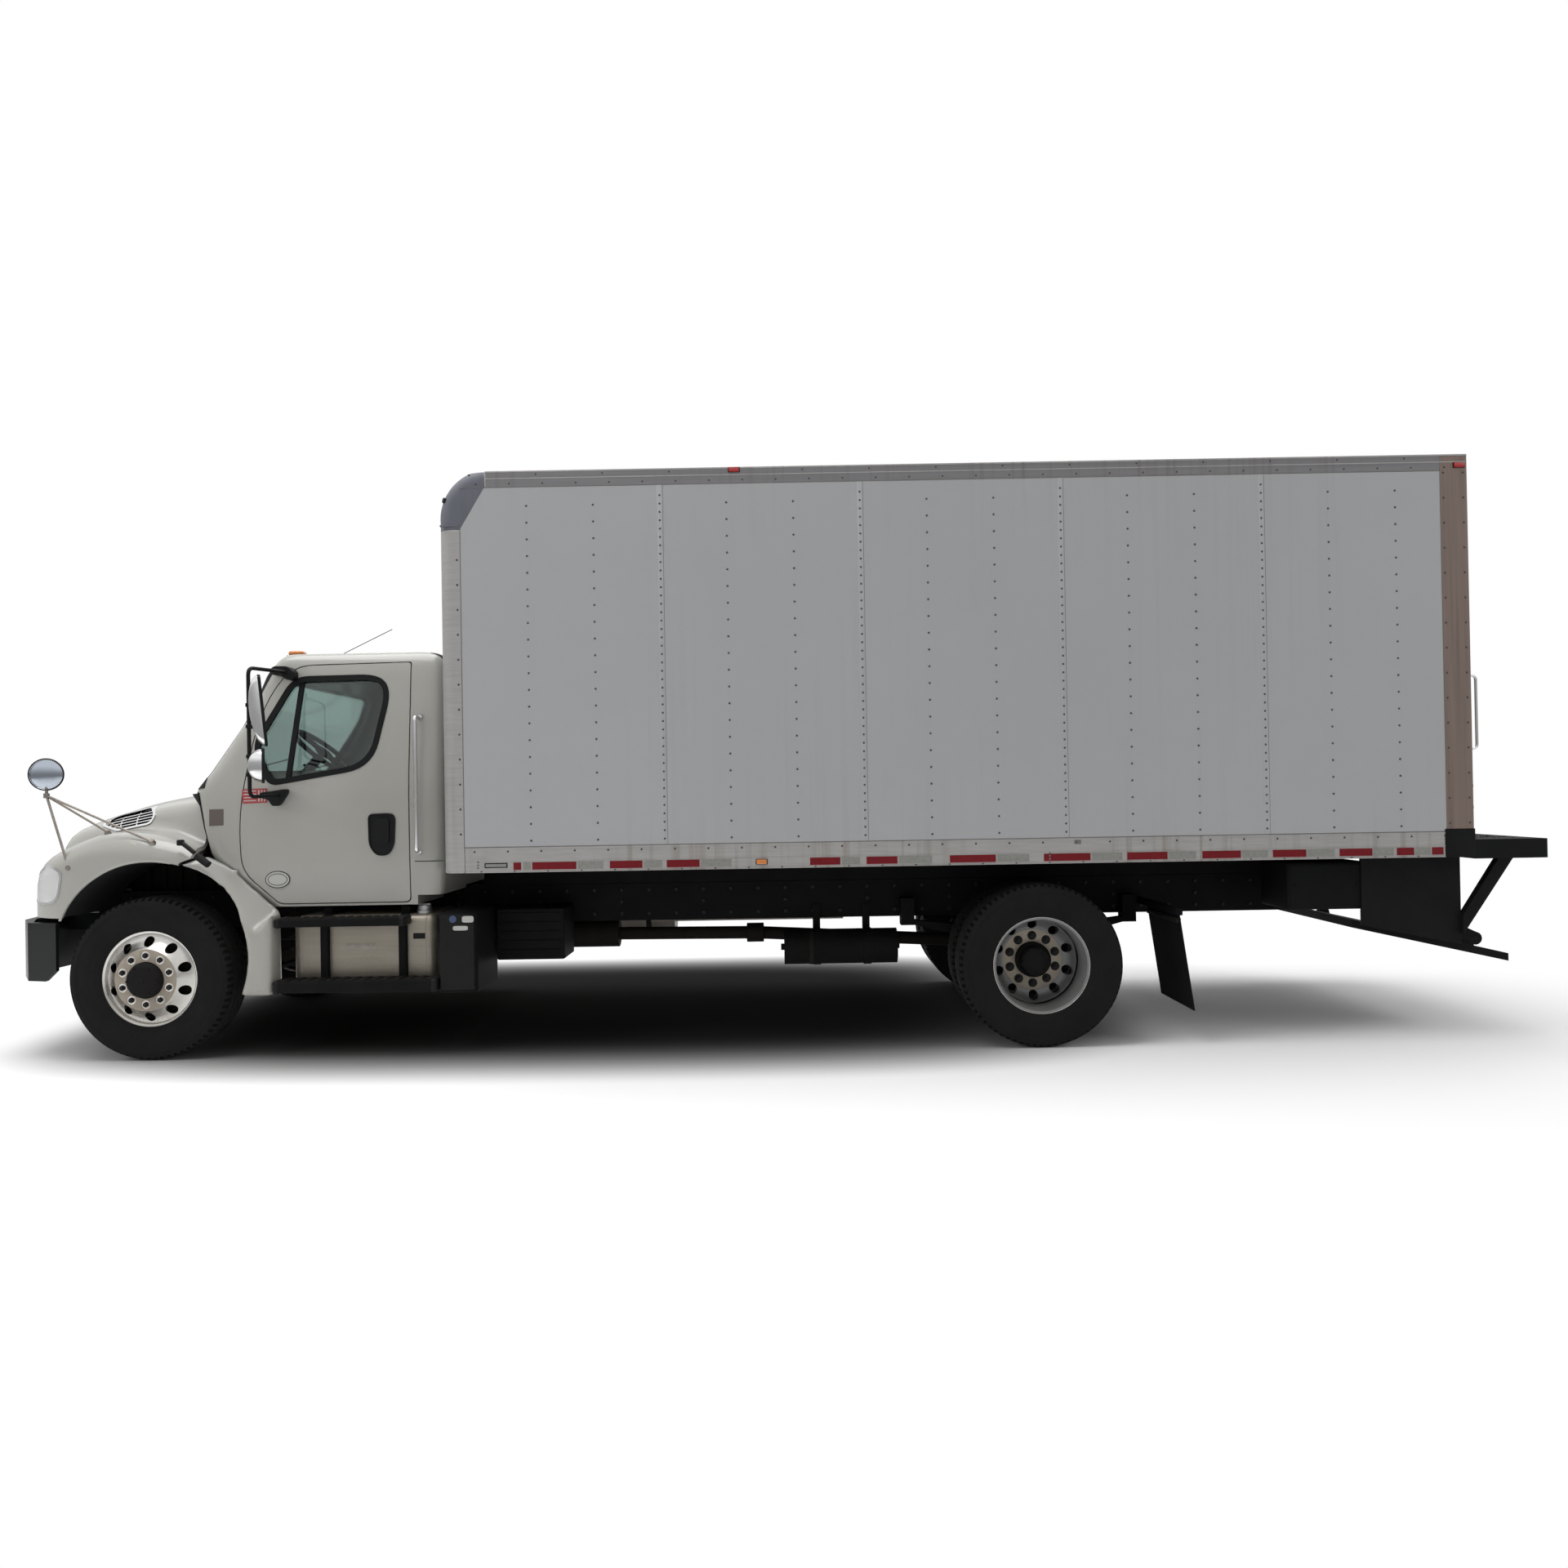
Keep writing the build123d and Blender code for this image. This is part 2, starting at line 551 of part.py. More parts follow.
# ------------------------------------------------------------------ bumper
BUMPER_Z = (490, 850)
BUMPER_THICKNESS = 50
BUMPER_LEAN = 30
with BuildPart() as bumper:
    outer = (
        (XF + FRONT_OVERHANG, 650),
        (XF + FRONT_OVERHANG - 61, 900),
        (XF + 790, 1095),
        (XF + 580, 1150),
    )
    inner = (
        (XF + 580, 1120),
        (XF + 770, 1070),
        (XF + FRONT_OVERHANG - 61 - BUMPER_THICKNESS, 870),
        (XF + FRONT_OVERHANG - BUMPER_THICKNESS, 640),
    )
    other = tuple((x, -y) for x, y in reversed(outer + inner))
    with BuildSketch(Plane.XY.offset(BUMPER_Z[0])) as bumper_plan:
        with BuildLine():
            Polyline(*outer, *inner, *other, close=True)
        make_face()
    extrude(bumper_plan.sketch, amount=BUMPER_Z[1] - BUMPER_Z[0])
    lean = (
        (XF + FRONT_OVERHANG, BUMPER_Z[1]),
        (XF + FRONT_OVERHANG - BUMPER_LEAN, BUMPER_Z[0]),
        (XF + FRONT_OVERHANG + BUMPER_LEAN, BUMPER_Z[0]),
    )
    tail = ((XF + 540, BUMPER_Z[0] - 5), (XF + 540, BUMPER_Z[0] + 100), (XF + 665, BUMPER_Z[0] - 5))
    for outline in (lean, tail):
        side_prism(outline, (-FENDER_HALF, FENDER_HALF), mode=Mode.SUBTRACT)
    for sign in SIDES.values():
        block(
            (RAIL_FRONT, XF + FRONT_OVERHANG - BUMPER_THICKNESS),
            (sign * (RAIL_OUTER_Y - RAIL_FLANGE), sign * RAIL_OUTER_Y),
            (RAIL_BOTTOM, BUMPER_Z[1] - 10),
        )
        ear_gap = HINGE_EYE_LENGTH / 2 + HINGE_SIDE_GAP
        for middle_y in (HINGE_EYE_Y - ear_gap - 6, HINGE_EYE_Y + ear_gap + 6):
            side_prism(
                (
                    (HOOD_HINGE_X - 12, HOOD_HINGE_Z + 12),
                    (HOOD_HINGE_X + 10, HOOD_HINGE_Z + 12),
                    (HOOD_HINGE_X + 16, HOOD_HINGE_Z - 10),
                    (XF + FRONT_OVERHANG - BUMPER_THICKNESS + 6, BUMPER_Z[1] - 12),
                    (XF + FRONT_OVERHANG - BUMPER_THICKNESS + 6, BUMPER_Z[1] - 60),
                    (HOOD_HINGE_X - 12, HOOD_HINGE_Z - 30),
                ),
                (sign * (middle_y - 6), sign * (middle_y + 6)),
            )
        rod(
            (HOOD_HINGE_X, sign * (HINGE_EYE_Y - ear_gap - 12), HOOD_HINGE_Z),
            (HOOD_HINGE_X, sign * (HINGE_EYE_Y + ear_gap + 12), HOOD_HINGE_Z),
            HINGE_PIN_RADIUS,
        )
bumper.part.label = "front_bumper"
export_step(bumper.part, "parts/front_bumper.step")

# ------------------------------------------------------------------ fuel tank, boxes and steps
TANK_X = (XF - 1708, XF - 811)
TANK_Y = (RAIL_OUTER_Y + 40, CAB_HALF_WIDTH)
TANK_Z = (384, 854)
TANK_CORNER = 90
STRAP_X = (-1022, -1511)
STRAP_WIDTH = 48
STRAP_THICKNESS = 6
STRAP_TOP = 905
with BuildPart() as fuel_tank:
    with BuildSketch(Plane.YZ.offset(TANK_X[0])):
        with Locations(((TANK_Y[0] + TANK_Y[1]) / 2, (TANK_Z[0] + TANK_Z[1]) / 2)):
            RectangleRounded(TANK_Y[1] - TANK_Y[0], TANK_Z[1] - TANK_Z[0], TANK_CORNER)
    extrude(amount=TANK_X[1] - TANK_X[0])
    rod((XF - 1611, 900, TANK_Z[1] - 30), (XF - 1611, 900, TANK_Z[1] + 42), 52)
    for place in STRAP_X:
        strap = (XF + place - STRAP_WIDTH / 2, XF + place + STRAP_WIDTH / 2)
        with BuildSketch(Plane.YZ.offset(strap[0])):
            with Locations(((TANK_Y[0] + TANK_Y[1]) / 2, (TANK_Z[0] + TANK_Z[1]) / 2)):
                RectangleRounded(
                    TANK_Y[1] - TANK_Y[0] + 2 * STRAP_THICKNESS,
                    TANK_Z[1] - TANK_Z[0] + 2 * STRAP_THICKNESS,
                    TANK_CORNER + STRAP_THICKNESS,
                )
        extrude(amount=STRAP_WIDTH)
        block(strap, (RAIL_OUTER_Y, TANK_Y[0] + 20), (RAIL_BOTTOM - 150, STRAP_TOP))
fuel_tank.part.label = "fuel_tank"
export_step(fuel_tank.part, "parts/fuel_tank.step")

with BuildPart() as tool_box:
    block(TANK_X, (-TANK_Y[1] - STRAP_THICKNESS, -RAIL_OUTER_Y), TANK_Z)
tool_box.part.label = "tool_box"
export_step(tool_box.part, "parts/tool_box.step")

STEP_Y = TANK_Y[1] + STRAP_THICKNESS
UPPER_STEP = ((XF - 1561, XF - 765), (STEP_Y, FENDER_HALF - 28), (800, 850))
LOWER_STEP = ((XF - 1765, XF - 765), (STEP_Y, FENDER_HALF + 2), (400, 470))
with BuildPart() as cab_steps:
    block(*UPPER_STEP)
    block(*LOWER_STEP)
    for place in STRAP_X:
        block(
            (XF + place - STRAP_WIDTH / 2, XF + place + STRAP_WIDTH / 2),
            (STEP_Y, STEP_Y + 30),
            (LOWER_STEP[2][0], UPPER_STEP[2][1]),
        )
    mirror(about=Plane.XZ)
cab_steps.part.label = "cab_steps"
export_step(cab_steps.part, "parts/cab_steps.step")

SIDE_BOX_X = (XF - 2007, XF - 1770)
SIDE_BOX_Y = (620, FENDER_HALF - 28)
SIDE_BOX_Z = (384, 870)
with BuildPart() as side_box:
    with BuildSketch(Plane.XY.offset(SIDE_BOX_Z[0])):
        with Locations(((SIDE_BOX_X[0] + SIDE_BOX_X[1]) / 2, (SIDE_BOX_Y[0] + SIDE_BOX_Y[1]) / 2)):
            RectangleRounded(SIDE_BOX_X[1] - SIDE_BOX_X[0], SIDE_BOX_Y[1] - SIDE_BOX_Y[0], 45)
    extrude(amount=SIDE_BOX_Z[1] - SIDE_BOX_Z[0])
    block((SIDE_BOX_X[0] + 50, SIDE_BOX_X[1] - 50), (RAIL_OUTER_Y, SIDE_BOX_Y[0] + 50), (RAIL_BOTTOM, 860))
side_box.part.label = "side_box"
export_step(side_box.part, "parts/side_box.step")

BATTERY_X = (XF - 2470, XF - 2030)
with BuildPart() as battery_box:
    block(BATTERY_X, (RAIL_OUTER_Y, 760), (522, 854))
battery_box.part.label = "battery_box"
export_step(battery_box.part, "parts/battery_box.step")

AIR_TANK_X = (XF - 4648, XF - 3895)
AIR_TANK_Y = 505
AIR_TANK_Z = 543
AIR_TANK_RADIUS = 116
with BuildPart() as air_tank:
    rod((AIR_TANK_X[0], AIR_TANK_Y, AIR_TANK_Z), (AIR_TANK_X[1], AIR_TANK_Y, AIR_TANK_Z), AIR_TANK_RADIUS)
    for place in (-4115, -4450):
        strap = (XF + place - 25, XF + place + 25)
        rod((strap[0], AIR_TANK_Y, AIR_TANK_Z), (strap[1], AIR_TANK_Y, AIR_TANK_Z), AIR_TANK_RADIUS + 6)
        block(strap, (RAIL_OUTER_Y, RAIL_OUTER_Y + 14), (AIR_TANK_Z, RAIL_BOTTOM + 90))
air_tank.part.label = "air_tank"
export_step(air_tank.part, "parts/air_tank.step")

MUFFLER_Y = -700
MUFFLER_Z = 640
MUFFLER_RADIUS = 135
with BuildPart() as exhaust:
    rod((XF - 3050, MUFFLER_Y, MUFFLER_Z), (XF - 2000, MUFFLER_Y, MUFFLER_Z), MUFFLER_RADIUS)
    rod((XF - 4350, MUFFLER_Y, MUFFLER_Z), (XF - 3050, MUFFLER_Y, MUFFLER_Z), 52)
    for place in (-2250, -2800):
        block((XF + place - 30, XF + place + 30), (-RAIL_OUTER_Y, MUFFLER_Y), (MUFFLER_Z + 110, MUFFLER_Z + 170))
    block((XF - 4230, XF - 4180), (-RAIL_OUTER_Y, MUFFLER_Y), (RAIL_BOTTOM + 10, RAIL_BOTTOM + 50))
    block((XF - 4230, XF - 4180), (MUFFLER_Y - 12, MUFFLER_Y + 12), (MUFFLER_Z, RAIL_BOTTOM + 50))
exhaust.part.label = "exhaust"
export_step(exhaust.part, "parts/exhaust.step")

FLAP_Y = (600, 1190)
FLAP_THICKNESS = 10
with BuildPart() as mud_flaps:
    side_prism(
        (
            (XF - 6302, 800),
            (XF - 6302 - FLAP_THICKNESS, 800),
            (XF - 6385 - FLAP_THICKNESS, 208),
            (XF - 6385, 208),
        ),
        FLAP_Y,
    )
    block((XF - 6330, XF - 6290), (RAIL_OUTER_Y, FLAP_Y[1]), (790, 830))
    mirror(about=Plane.XZ)
mud_flaps.part.label = "mud_flaps"
export_step(mud_flaps.part, "parts/mud_flaps.step")

# ------------------------------------------------------------------ cab


def cab_loft(wall, bottom=0, top=0):
    """The cab's outer form, drawn in by a wall's thickness, or its hollow inside."""
    rows = []
    for index, (height, front, rear, half) in enumerate(CAB_SECTIONS):
        if index == 0:
            height += bottom
        if index == len(CAB_SECTIONS) - 1:
            height -= top
        rows.append((height, front - wall, rear + wall, half - wall))
    with BuildPart() as form:
        for height, front, rear, half in rows:
            with BuildSketch(Plane(origin=((front + rear) / 2, 0, height))):
                RectangleRounded(front - rear, 2 * half, CAB_CORNER)
        loft(ruled=True)
    return form.part


cab_outer = cab_loft(0)
cab_inner = cab_loft(CAB_WALL, bottom=CAB_FLOOR - CAB_BOTTOM, top=CAB_WALL)
door_inner = cab_loft(CAB_WALL, bottom=-CAB_WALL, top=CAB_WALL)
glass_outer = cab_loft(GLASS_INSET)
glass_inner = cab_loft(GLASS_INSET + GLASS_THICKNESS)

with BuildPart() as door_cutter:
    side_prism(DOOR_OUTLINE, (DOOR_INSIDE, FENDER_HALF + 20), grow=DOOR_GAP)
    add(door_inner, mode=Mode.SUBTRACT)

# The guard behind the front wheel slopes in to the door's foot, so the door swings clear of it.
door_slope = Plane(
    origin=(DOOR_OUTLINE[-1][0] - 29, CAB_HALF_WIDTH, DOOR_BOTTOM - 37),
    x_dir=(0, 1, 0),
    z_dir=(DOOR_OUTLINE[0][0] - DOOR_OUTLINE[-1][0], 0, DOOR_OUTLINE[0][1] - DOOR_OUTLINE[-1][1]),
)
with BuildSketch(door_slope) as taper:
    with BuildLine():
        Polyline((0, 0), (0, 60), (220, 60), (220, -220), close=True)
    make_face()
with BuildPart() as guard_cutter:
    extrude(taper.sketch, amount=800)
    mirror(about=Plane.XZ)


def screen_outline(clearance):
    """The windscreen's opening in end view, drawn in by a clearance."""
    foot = SCREEN_HALF_BOTTOM - clearance
    head = SCREEN_HALF_TOP - clearance
    low = SCREEN_BOTTOM_Z + clearance
    high = SCREEN_TOP_EDGE_Z - clearance
    return ((-foot, low), (foot, low), (head, high), (-head, high))


with BuildPart() as cab_shell:
    add(cab_outer)
    add(cab_inner, mode=Mode.SUBTRACT)
    for sign in SIDES.values():
        side_prism(GUARD_OUTLINE, (sign * (CAB_HALF_WIDTH - 12), sign * FENDER_HALF))
    add(guard_cutter.part, mode=Mode.SUBTRACT)
    rod((XF, CAB_HALF_WIDTH - 20, ARCH_CENTRE_Z), (XF, FENDER_HALF + 10, ARCH_CENTRE_Z), ARCH_RADIUS,
        mode=Mode.SUBTRACT)
    rod((XF, -FENDER_HALF - 10, ARCH_CENTRE_Z), (XF, -CAB_HALF_WIDTH + 20, ARCH_CENTRE_Z), ARCH_RADIUS,
        mode=Mode.SUBTRACT)
    for sign in SIDES.values():
        cutter = door_cutter.part if sign > 0 else door_cutter.part.mirror(Plane.XZ)
        add(cutter, mode=Mode.SUBTRACT)
    block(
        (CAB_BACK, XF),
        (-CAB_TUNNEL_HALF, CAB_TUNNEL_HALF),
        (CAB_BOTTOM - 10, CAB_TUNNEL_TOP),
        mode=Mode.SUBTRACT,
    )
    block(
        (CAB_BACK, CAB_HEEL[0]),
        (-FENDER_HALF, FENDER_HALF),
        (CAB_BOTTOM - 10, CAB_HEEL[1]),
        mode=Mode.SUBTRACT,
    )
    for place in CAB_MOUNTS:
        for sign in SIDES.values():
            puck = (place, sign * (RAIL_OUTER_Y - RAIL_FLANGE / 2))
            rod((*puck, RAIL_TOP), (*puck, CAB_TUNNEL_TOP + 5), CAB_MOUNT_RADIUS)
    front_prism(screen_outline(0), (COWL_X, SCREEN_TOP_X - 250), mode=Mode.SUBTRACT)
    block(
        (CAB_BACK - 10, CAB_BACK + CAB_WALL + 30),
        (-BACKLIGHT_HALF, BACKLIGHT_HALF),
        (BACKLIGHT_BOTTOM, BACKLIGHT_TOP),
        mode=Mode.SUBTRACT,
    )
    for sign in SIDES.values():
        for height in DOOR_HINGE_HEIGHTS:
            half = DOOR_HINGE_LENGTH / 2
            pin = (DOOR_HINGE_X, sign * DOOR_HINGE_Y)
            ear_low = height - half - DOOR_EAR_HEIGHT
            rod((*pin, ear_low), (*pin, height + half + DOOR_EAR_HEIGHT), DOOR_PIN_RADIUS)
            for low in (ear_low, height + half):
                rod((*pin, low), (*pin, low + DOOR_EAR_HEIGHT), DOOR_EYE_RADIUS)
                block(
                    (DOOR_HINGE_X, DOOR_HINGE_X + DOOR_LEAF_LENGTH),
                    (sign * (CAB_HALF_WIDTH - 8), sign * DOOR_HINGE_Y),
                    (low, low + DOOR_EAR_HEIGHT),
                )
cab_shell.part.label = "cab_shell"
export_step(cab_shell.part, "parts/cab_shell.step")

with BuildPart() as pane_openings:
    front_prism(screen_outline(GLASS_CLEARANCE), (COWL_X, SCREEN_TOP_X - 250))
    block(
        (CAB_BACK, CAB_BACK + CAB_WALL),
        (-BACKLIGHT_HALF + GLASS_CLEARANCE, BACKLIGHT_HALF - GLASS_CLEARANCE),
        (BACKLIGHT_BOTTOM + GLASS_CLEARANCE, BACKLIGHT_TOP - GLASS_CLEARANCE),
    )
with BuildPart() as cab_glass:
    add(glass_outer)
    add(glass_inner, mode=Mode.SUBTRACT)
    add(pane_openings.part, mode=Mode.INTERSECT)
cab_glass.part.label = "cab_glass"
export_step(cab_glass.part, "parts/cab_glass.step")

for side in SIDES:
    with BuildPart() as door:
        side_prism(DOOR_OUTLINE, (DOOR_INSIDE, FENDER_HALF))
        add(cab_outer, mode=Mode.INTERSECT)
        add(door_inner, mode=Mode.SUBTRACT)
        side_prism(WINDOW_OUTLINE, (DOOR_INSIDE, FENDER_HALF), mode=Mode.SUBTRACT)
        for height in DOOR_HINGE_HEIGHTS:
            half = DOOR_HINGE_LENGTH / 2 - DOOR_HINGE_GAP
            eye = (DOOR_HINGE_X, DOOR_HINGE_Y)
            leaf_z = (height - half, height + half)
            leaf_root = DOOR_HINGE_X - DOOR_LEAF_LENGTH
            block((leaf_root, DOOR_HINGE_X), (DOOR_HINGE_Y - DOOR_EYE_RADIUS, DOOR_HINGE_Y), leaf_z)
            block((leaf_root, DOOR_HINGE_X - 36), (CAB_HALF_WIDTH - 8, DOOR_HINGE_Y), leaf_z)
            rod((*eye, leaf_z[0]), (*eye, leaf_z[1]), DOOR_EYE_RADIUS)
            rod(
                (*eye, height - half),
                (*eye, height + half),
                DOOR_PIN_RADIUS + RUNNING_GAP,
                mode=Mode.SUBTRACT,
            )
        to_side(side)
    door.part.label = f"door_{side}"
    export_step(door.part, f"parts/door_{side}.step")

    with BuildPart() as door_glass:
        side_prism(WINDOW_OUTLINE, (DOOR_INSIDE, FENDER_HALF), grow=-GLASS_CLEARANCE)
        add(glass_outer, mode=Mode.INTERSECT)
        add(glass_inner, mode=Mode.SUBTRACT)
        to_side(side)
    door_glass.part.label = f"door_glass_{side}"
    export_step(door_glass.part, f"parts/door_glass_{side}.step")

MIRROR_X = XF - 700
MIRROR_Y = CAB_HALF_WIDTH + 300
MIRROR_Z = (1606, 2385)
MIRROR_TUBE = 11
MIRROR_HEADS = ((1690, 1900), (1910, 2338))
MIRROR_HEAD_HALF = 88
MIRROR_HEAD_DEPTH = 132
with BuildPart() as side_mirror:
    upper = (MIRROR_X, MIRROR_Y, MIRROR_Z[1] - 2 * MIRROR_TUBE)
    lower = (MIRROR_X, MIRROR_Y, MIRROR_Z[0] + 2 * MIRROR_TUBE)
    rod((MIRROR_X, MIRROR_Y, MIRROR_Z[0]), (MIRROR_X, MIRROR_Y, MIRROR_Z[1]), MIRROR_TUBE + 1)
    rod(upper, (XF - 840, CAB_HALF_WIDTH - 120, 2366), MIRROR_TUBE)
    rod(lower, (XF - 776, CAB_HALF_WIDTH - 70, 1672), MIRROR_TUBE)
    for head_z in MIRROR_HEADS:
        head_y = (MIRROR_Y - MIRROR_HEAD_HALF, MIRROR_Y + MIRROR_HEAD_HALF)
        block((MIRROR_X - MIRROR_HEAD_DEPTH, MIRROR_X), head_y, head_z)
    add(cab_outer, mode=Mode.SUBTRACT)
for side in SIDES:
    with BuildPart() as mirror_arm:
        add(side_mirror.part)
        to_side(side)
    mirror_arm.part.label = f"side_mirror_{side}"
    export_step(mirror_arm.part, f"parts/side_mirror_{side}.step")

DASH_OUTLINE = (
    (XF - 100, 1330),
    (XF - 100, 1630),
    (XF - 480, 1660),
    (XF - 620, 1560),
    (XF - 560, 1330),
)
DASH_HALF = CAB_HALF_WIDTH - 90
with BuildPart() as dashboard:
    side_prism(DASH_OUTLINE, (-DASH_HALF, DASH_HALF))
    add(cab_inner, mode=Mode.INTERSECT)
dashboard.part.label = "dashboard"
export_step(dashboard.part, "parts/dashboard.step")

HAND_WHEEL_CENTRE = Vector(XF - 772, 420, 1895)
HAND_WHEEL_AXIS = Vector(-0.65, 0, 0.76)
HAND_WHEEL_RADIUS = 232
HAND_WHEEL_RIM = 26
COLUMN_LENGTH = 420
with BuildPart() as hand_wheel:
    rod(tuple(HAND_WHEEL_CENTRE - HAND_WHEEL_AXIS * COLUMN_LENGTH), tuple(HAND_WHEEL_CENTRE), HAND_WHEEL_RIM)
    add(dashboard.part, mode=Mode.SUBTRACT)
    with BuildSketch(Plane(origin=HAND_WHEEL_CENTRE, z_dir=HAND_WHEEL_AXIS)) as spokes:
        Circle(HAND_WHEEL_RADIUS)
        Circle(HAND_WHEEL_RADIUS - HAND_WHEEL_RIM, mode=Mode.SUBTRACT)
        Rectangle(2 * HAND_WHEEL_RADIUS - HAND_WHEEL_RIM, 40)
        Circle(60)
    extrude(spokes.sketch, amount=HAND_WHEEL_RIM)
hand_wheel.part.label = "steering_wheel"
export_step(hand_wheel.part, "parts/steering_wheel.step")

with BuildPart() as seats:
    for y_range in ((170, 690), (-690, -170)):
        block((XF - 1480, XF - 960), y_range, (CAB_FLOOR, 1290))
        block((XF - 1520, XF - 900), y_range, (1290, 1440))
        side_prism(
            ((XF - 1500, 1440), (XF - 1370, 1440), (XF - 1480, 2120), (XF - 1590, 2120)),
            y_range,
        )
seats.part.label = "seats"
export_step(seats.part, "parts/seats.step")

# ------------------------------------------------------------------ hood, grille, lamps and hood mirrors


def hood_profile(half, fender_crest, shoulder, shoulder_z, crown):
    """Half of the hood's cross-section, from the fender's foot over to the middle."""
    return (
        (half, HOOD_BOTTOM - 20),
        (half, fender_crest - 75),
        (half - 85, fender_crest),
        (shoulder + 35, fender_crest + 12),
        (shoulder - 10, shoulder_z - 25),
        (shoulder - 120, shoulder_z + 18),
        (0, crown),
    )


def hood_loft(wall):
    """The hood's outer form, or drawn in by its wall's thickness."""
    rows = [list(row) for row in HOOD_SECTIONS]
    rows[-1][0] -= wall
    with BuildPart() as form:
        for x, crown, shoulder_z, shoulder, fender_crest, half in rows:
            near = hood_profile(
                half - wall, fender_crest - wall, shoulder - wall, shoulder_z - wall, crown - wall
            )
            far = tuple((-y, z) for y, z in reversed(near[:-1]))
            with BuildSketch(Plane.YZ.offset(x)):
                with BuildLine():
                    Polyline(*near, *far, close=True)
                make_face()
        loft(ruled=True)
    return form.part


hood_outer = hood_loft(0)
hood_inner = hood_loft(HOOD_WALL)
HOOD_SEAM_CUT = (
    (XF - 180, HOOD_BOTTOM - 40),
    (XF - 180, 1208),
    (XF - 300, 1260),
    (XF - 900, 1260),
    (XF - 900, HOOD_BOTTOM - 40),
)
LAMP_OUTLINE = (
    (XF + 672, 1197),
    (XF + 711, 1172),
    (XF + 850, 1040),
    (XF + 850, 905),
    (XF + 640, 935),
    (XF + 560, 1130),
)
LAMP_Y = (FENDER_HALF - 378, FENDER_HALF + 2)
LAMP_GAP = 2
GRILLE_HALF = 520
GRILLE_Z = (935, 1165)
GRILLE_BAR = 14
GRILLE_BARS = 6
GRILLE_FRAME = 22

with BuildPart() as arch_liners:
    for sign in SIDES.values():
        ends = ((XF, sign * ARCH_INNER_Y, ARCH_CENTRE_Z), (XF, sign * FENDER_HALF, ARCH_CENTRE_Z))
        rod(*ends, ARCH_RADIUS + ARCH_LINER)
    add(hood_outer, mode=Mode.INTERSECT)
    block((XF - 900, XF + 1200), (-1300, 1300), (0, HOOD_BOTTOM), mode=Mode.SUBTRACT)
with BuildPart() as hood:
    add(hood_outer)
    block((XF - 900, XF + 1200), (-1300, 1300), (HOOD_BOTTOM - 60, HOOD_BOTTOM), mode=Mode.SUBTRACT)
    add(hood_inner, mode=Mode.SUBTRACT)
    add(arch_liners.part)
    for sign in SIDES.values():
        ends = ((XF, sign * (ARCH_INNER_Y - 1), ARCH_CENTRE_Z), (XF, sign * 1300, ARCH_CENTRE_Z))
        rod(*ends, ARCH_RADIUS, mode=Mode.SUBTRACT)
    side_prism(HOOD_SEAM_CUT, (-1300, 1300), mode=Mode.SUBTRACT)
    rod((HOOD_HINGE_X, -1300, HOOD_HINGE_Z), (HOOD_HINGE_X, 1300, HOOD_HINGE_Z), HOOD_SWEEP, Mode.INTERSECT)
    for sign in SIDES.values():
        lamp_span = (sign * LAMP_Y[0], sign * LAMP_Y[1])
        side_prism(LAMP_OUTLINE, lamp_span, grow=LAMP_GAP, mode=Mode.SUBTRACT)
    block((HOOD_FRONT - 60, HOOD_FRONT + 10), (-GRILLE_HALF, GRILLE_HALF), GRILLE_Z, mode=Mode.SUBTRACT)
    for sign in SIDES.values():
        notch = HINGE_EYE_LENGTH / 2 + 25
        rod(
            (HOOD_HINGE_X, sign * (HINGE_EYE_Y - notch), HOOD_HINGE_Z),
            (HOOD_HINGE_X, sign * (HINGE_EYE_Y + notch), HOOD_HINGE_Z),
            HINGE_NOTCH_RADIUS,
            mode=Mode.SUBTRACT,
        )
        eye = (sign * (HINGE_EYE_Y - HINGE_EYE_LENGTH / 2), sign * (HINGE_EYE_Y + HINGE_EYE_LENGTH / 2))
        block((HOOD_HINGE_X - 13, HOOD_FRONT), eye, (HOOD_HINGE_Z, HOOD_BOTTOM + 35))
        rod((HOOD_HINGE_X, eye[0], HOOD_HINGE_Z), (HOOD_HINGE_X, eye[1], HOOD_HINGE_Z), HINGE_EYE_RADIUS)
        rod(
            (HOOD_HINGE_X, eye[0], HOOD_HINGE_Z),
            (HOOD_HINGE_X, eye[1], HOOD_HINGE_Z),
            HINGE_PIN_RADIUS + RUNNING_GAP,
            mode=Mode.SUBTRACT,
        )
hood.part.label = "hood"
export_step(hood.part, "parts/hood.step")

with BuildPart() as headlamps:
    for sign in SIDES.values():
        side_prism(LAMP_OUTLINE, (sign * LAMP_Y[0], sign * LAMP_Y[1]))
    add(hood_outer, mode=Mode.INTERSECT)
    add(hood_inner, mode=Mode.SUBTRACT)
headlamps.part.label = "headlamps"
export_step(headlamps.part, "parts/headlamps.step")

with BuildPart() as grille:
    face = (HOOD_FRONT - HOOD_WALL + 2, HOOD_FRONT)
    low = GRILLE_Z[0] + SEAT_GAP
    high = GRILLE_Z[1] - SEAT_GAP
    half = GRILLE_HALF - SEAT_GAP
    block(face, (-half, half), (low, high))
    block(
        face,
        (-half + GRILLE_FRAME, half - GRILLE_FRAME),
        (low + GRILLE_FRAME, high - GRILLE_FRAME),
        mode=Mode.SUBTRACT,
    )
    pitch = (high - low - GRILLE_FRAME) / (GRILLE_BARS + 1)
    for index in range(GRILLE_BARS):
        bar = low + GRILLE_FRAME / 2 + pitch * (index + 1)
        block(face, (-half, half), (bar - GRILLE_BAR / 2, bar + GRILLE_BAR / 2))
grille.part.label = "grille"
export_step(grille.part, "parts/grille.step")

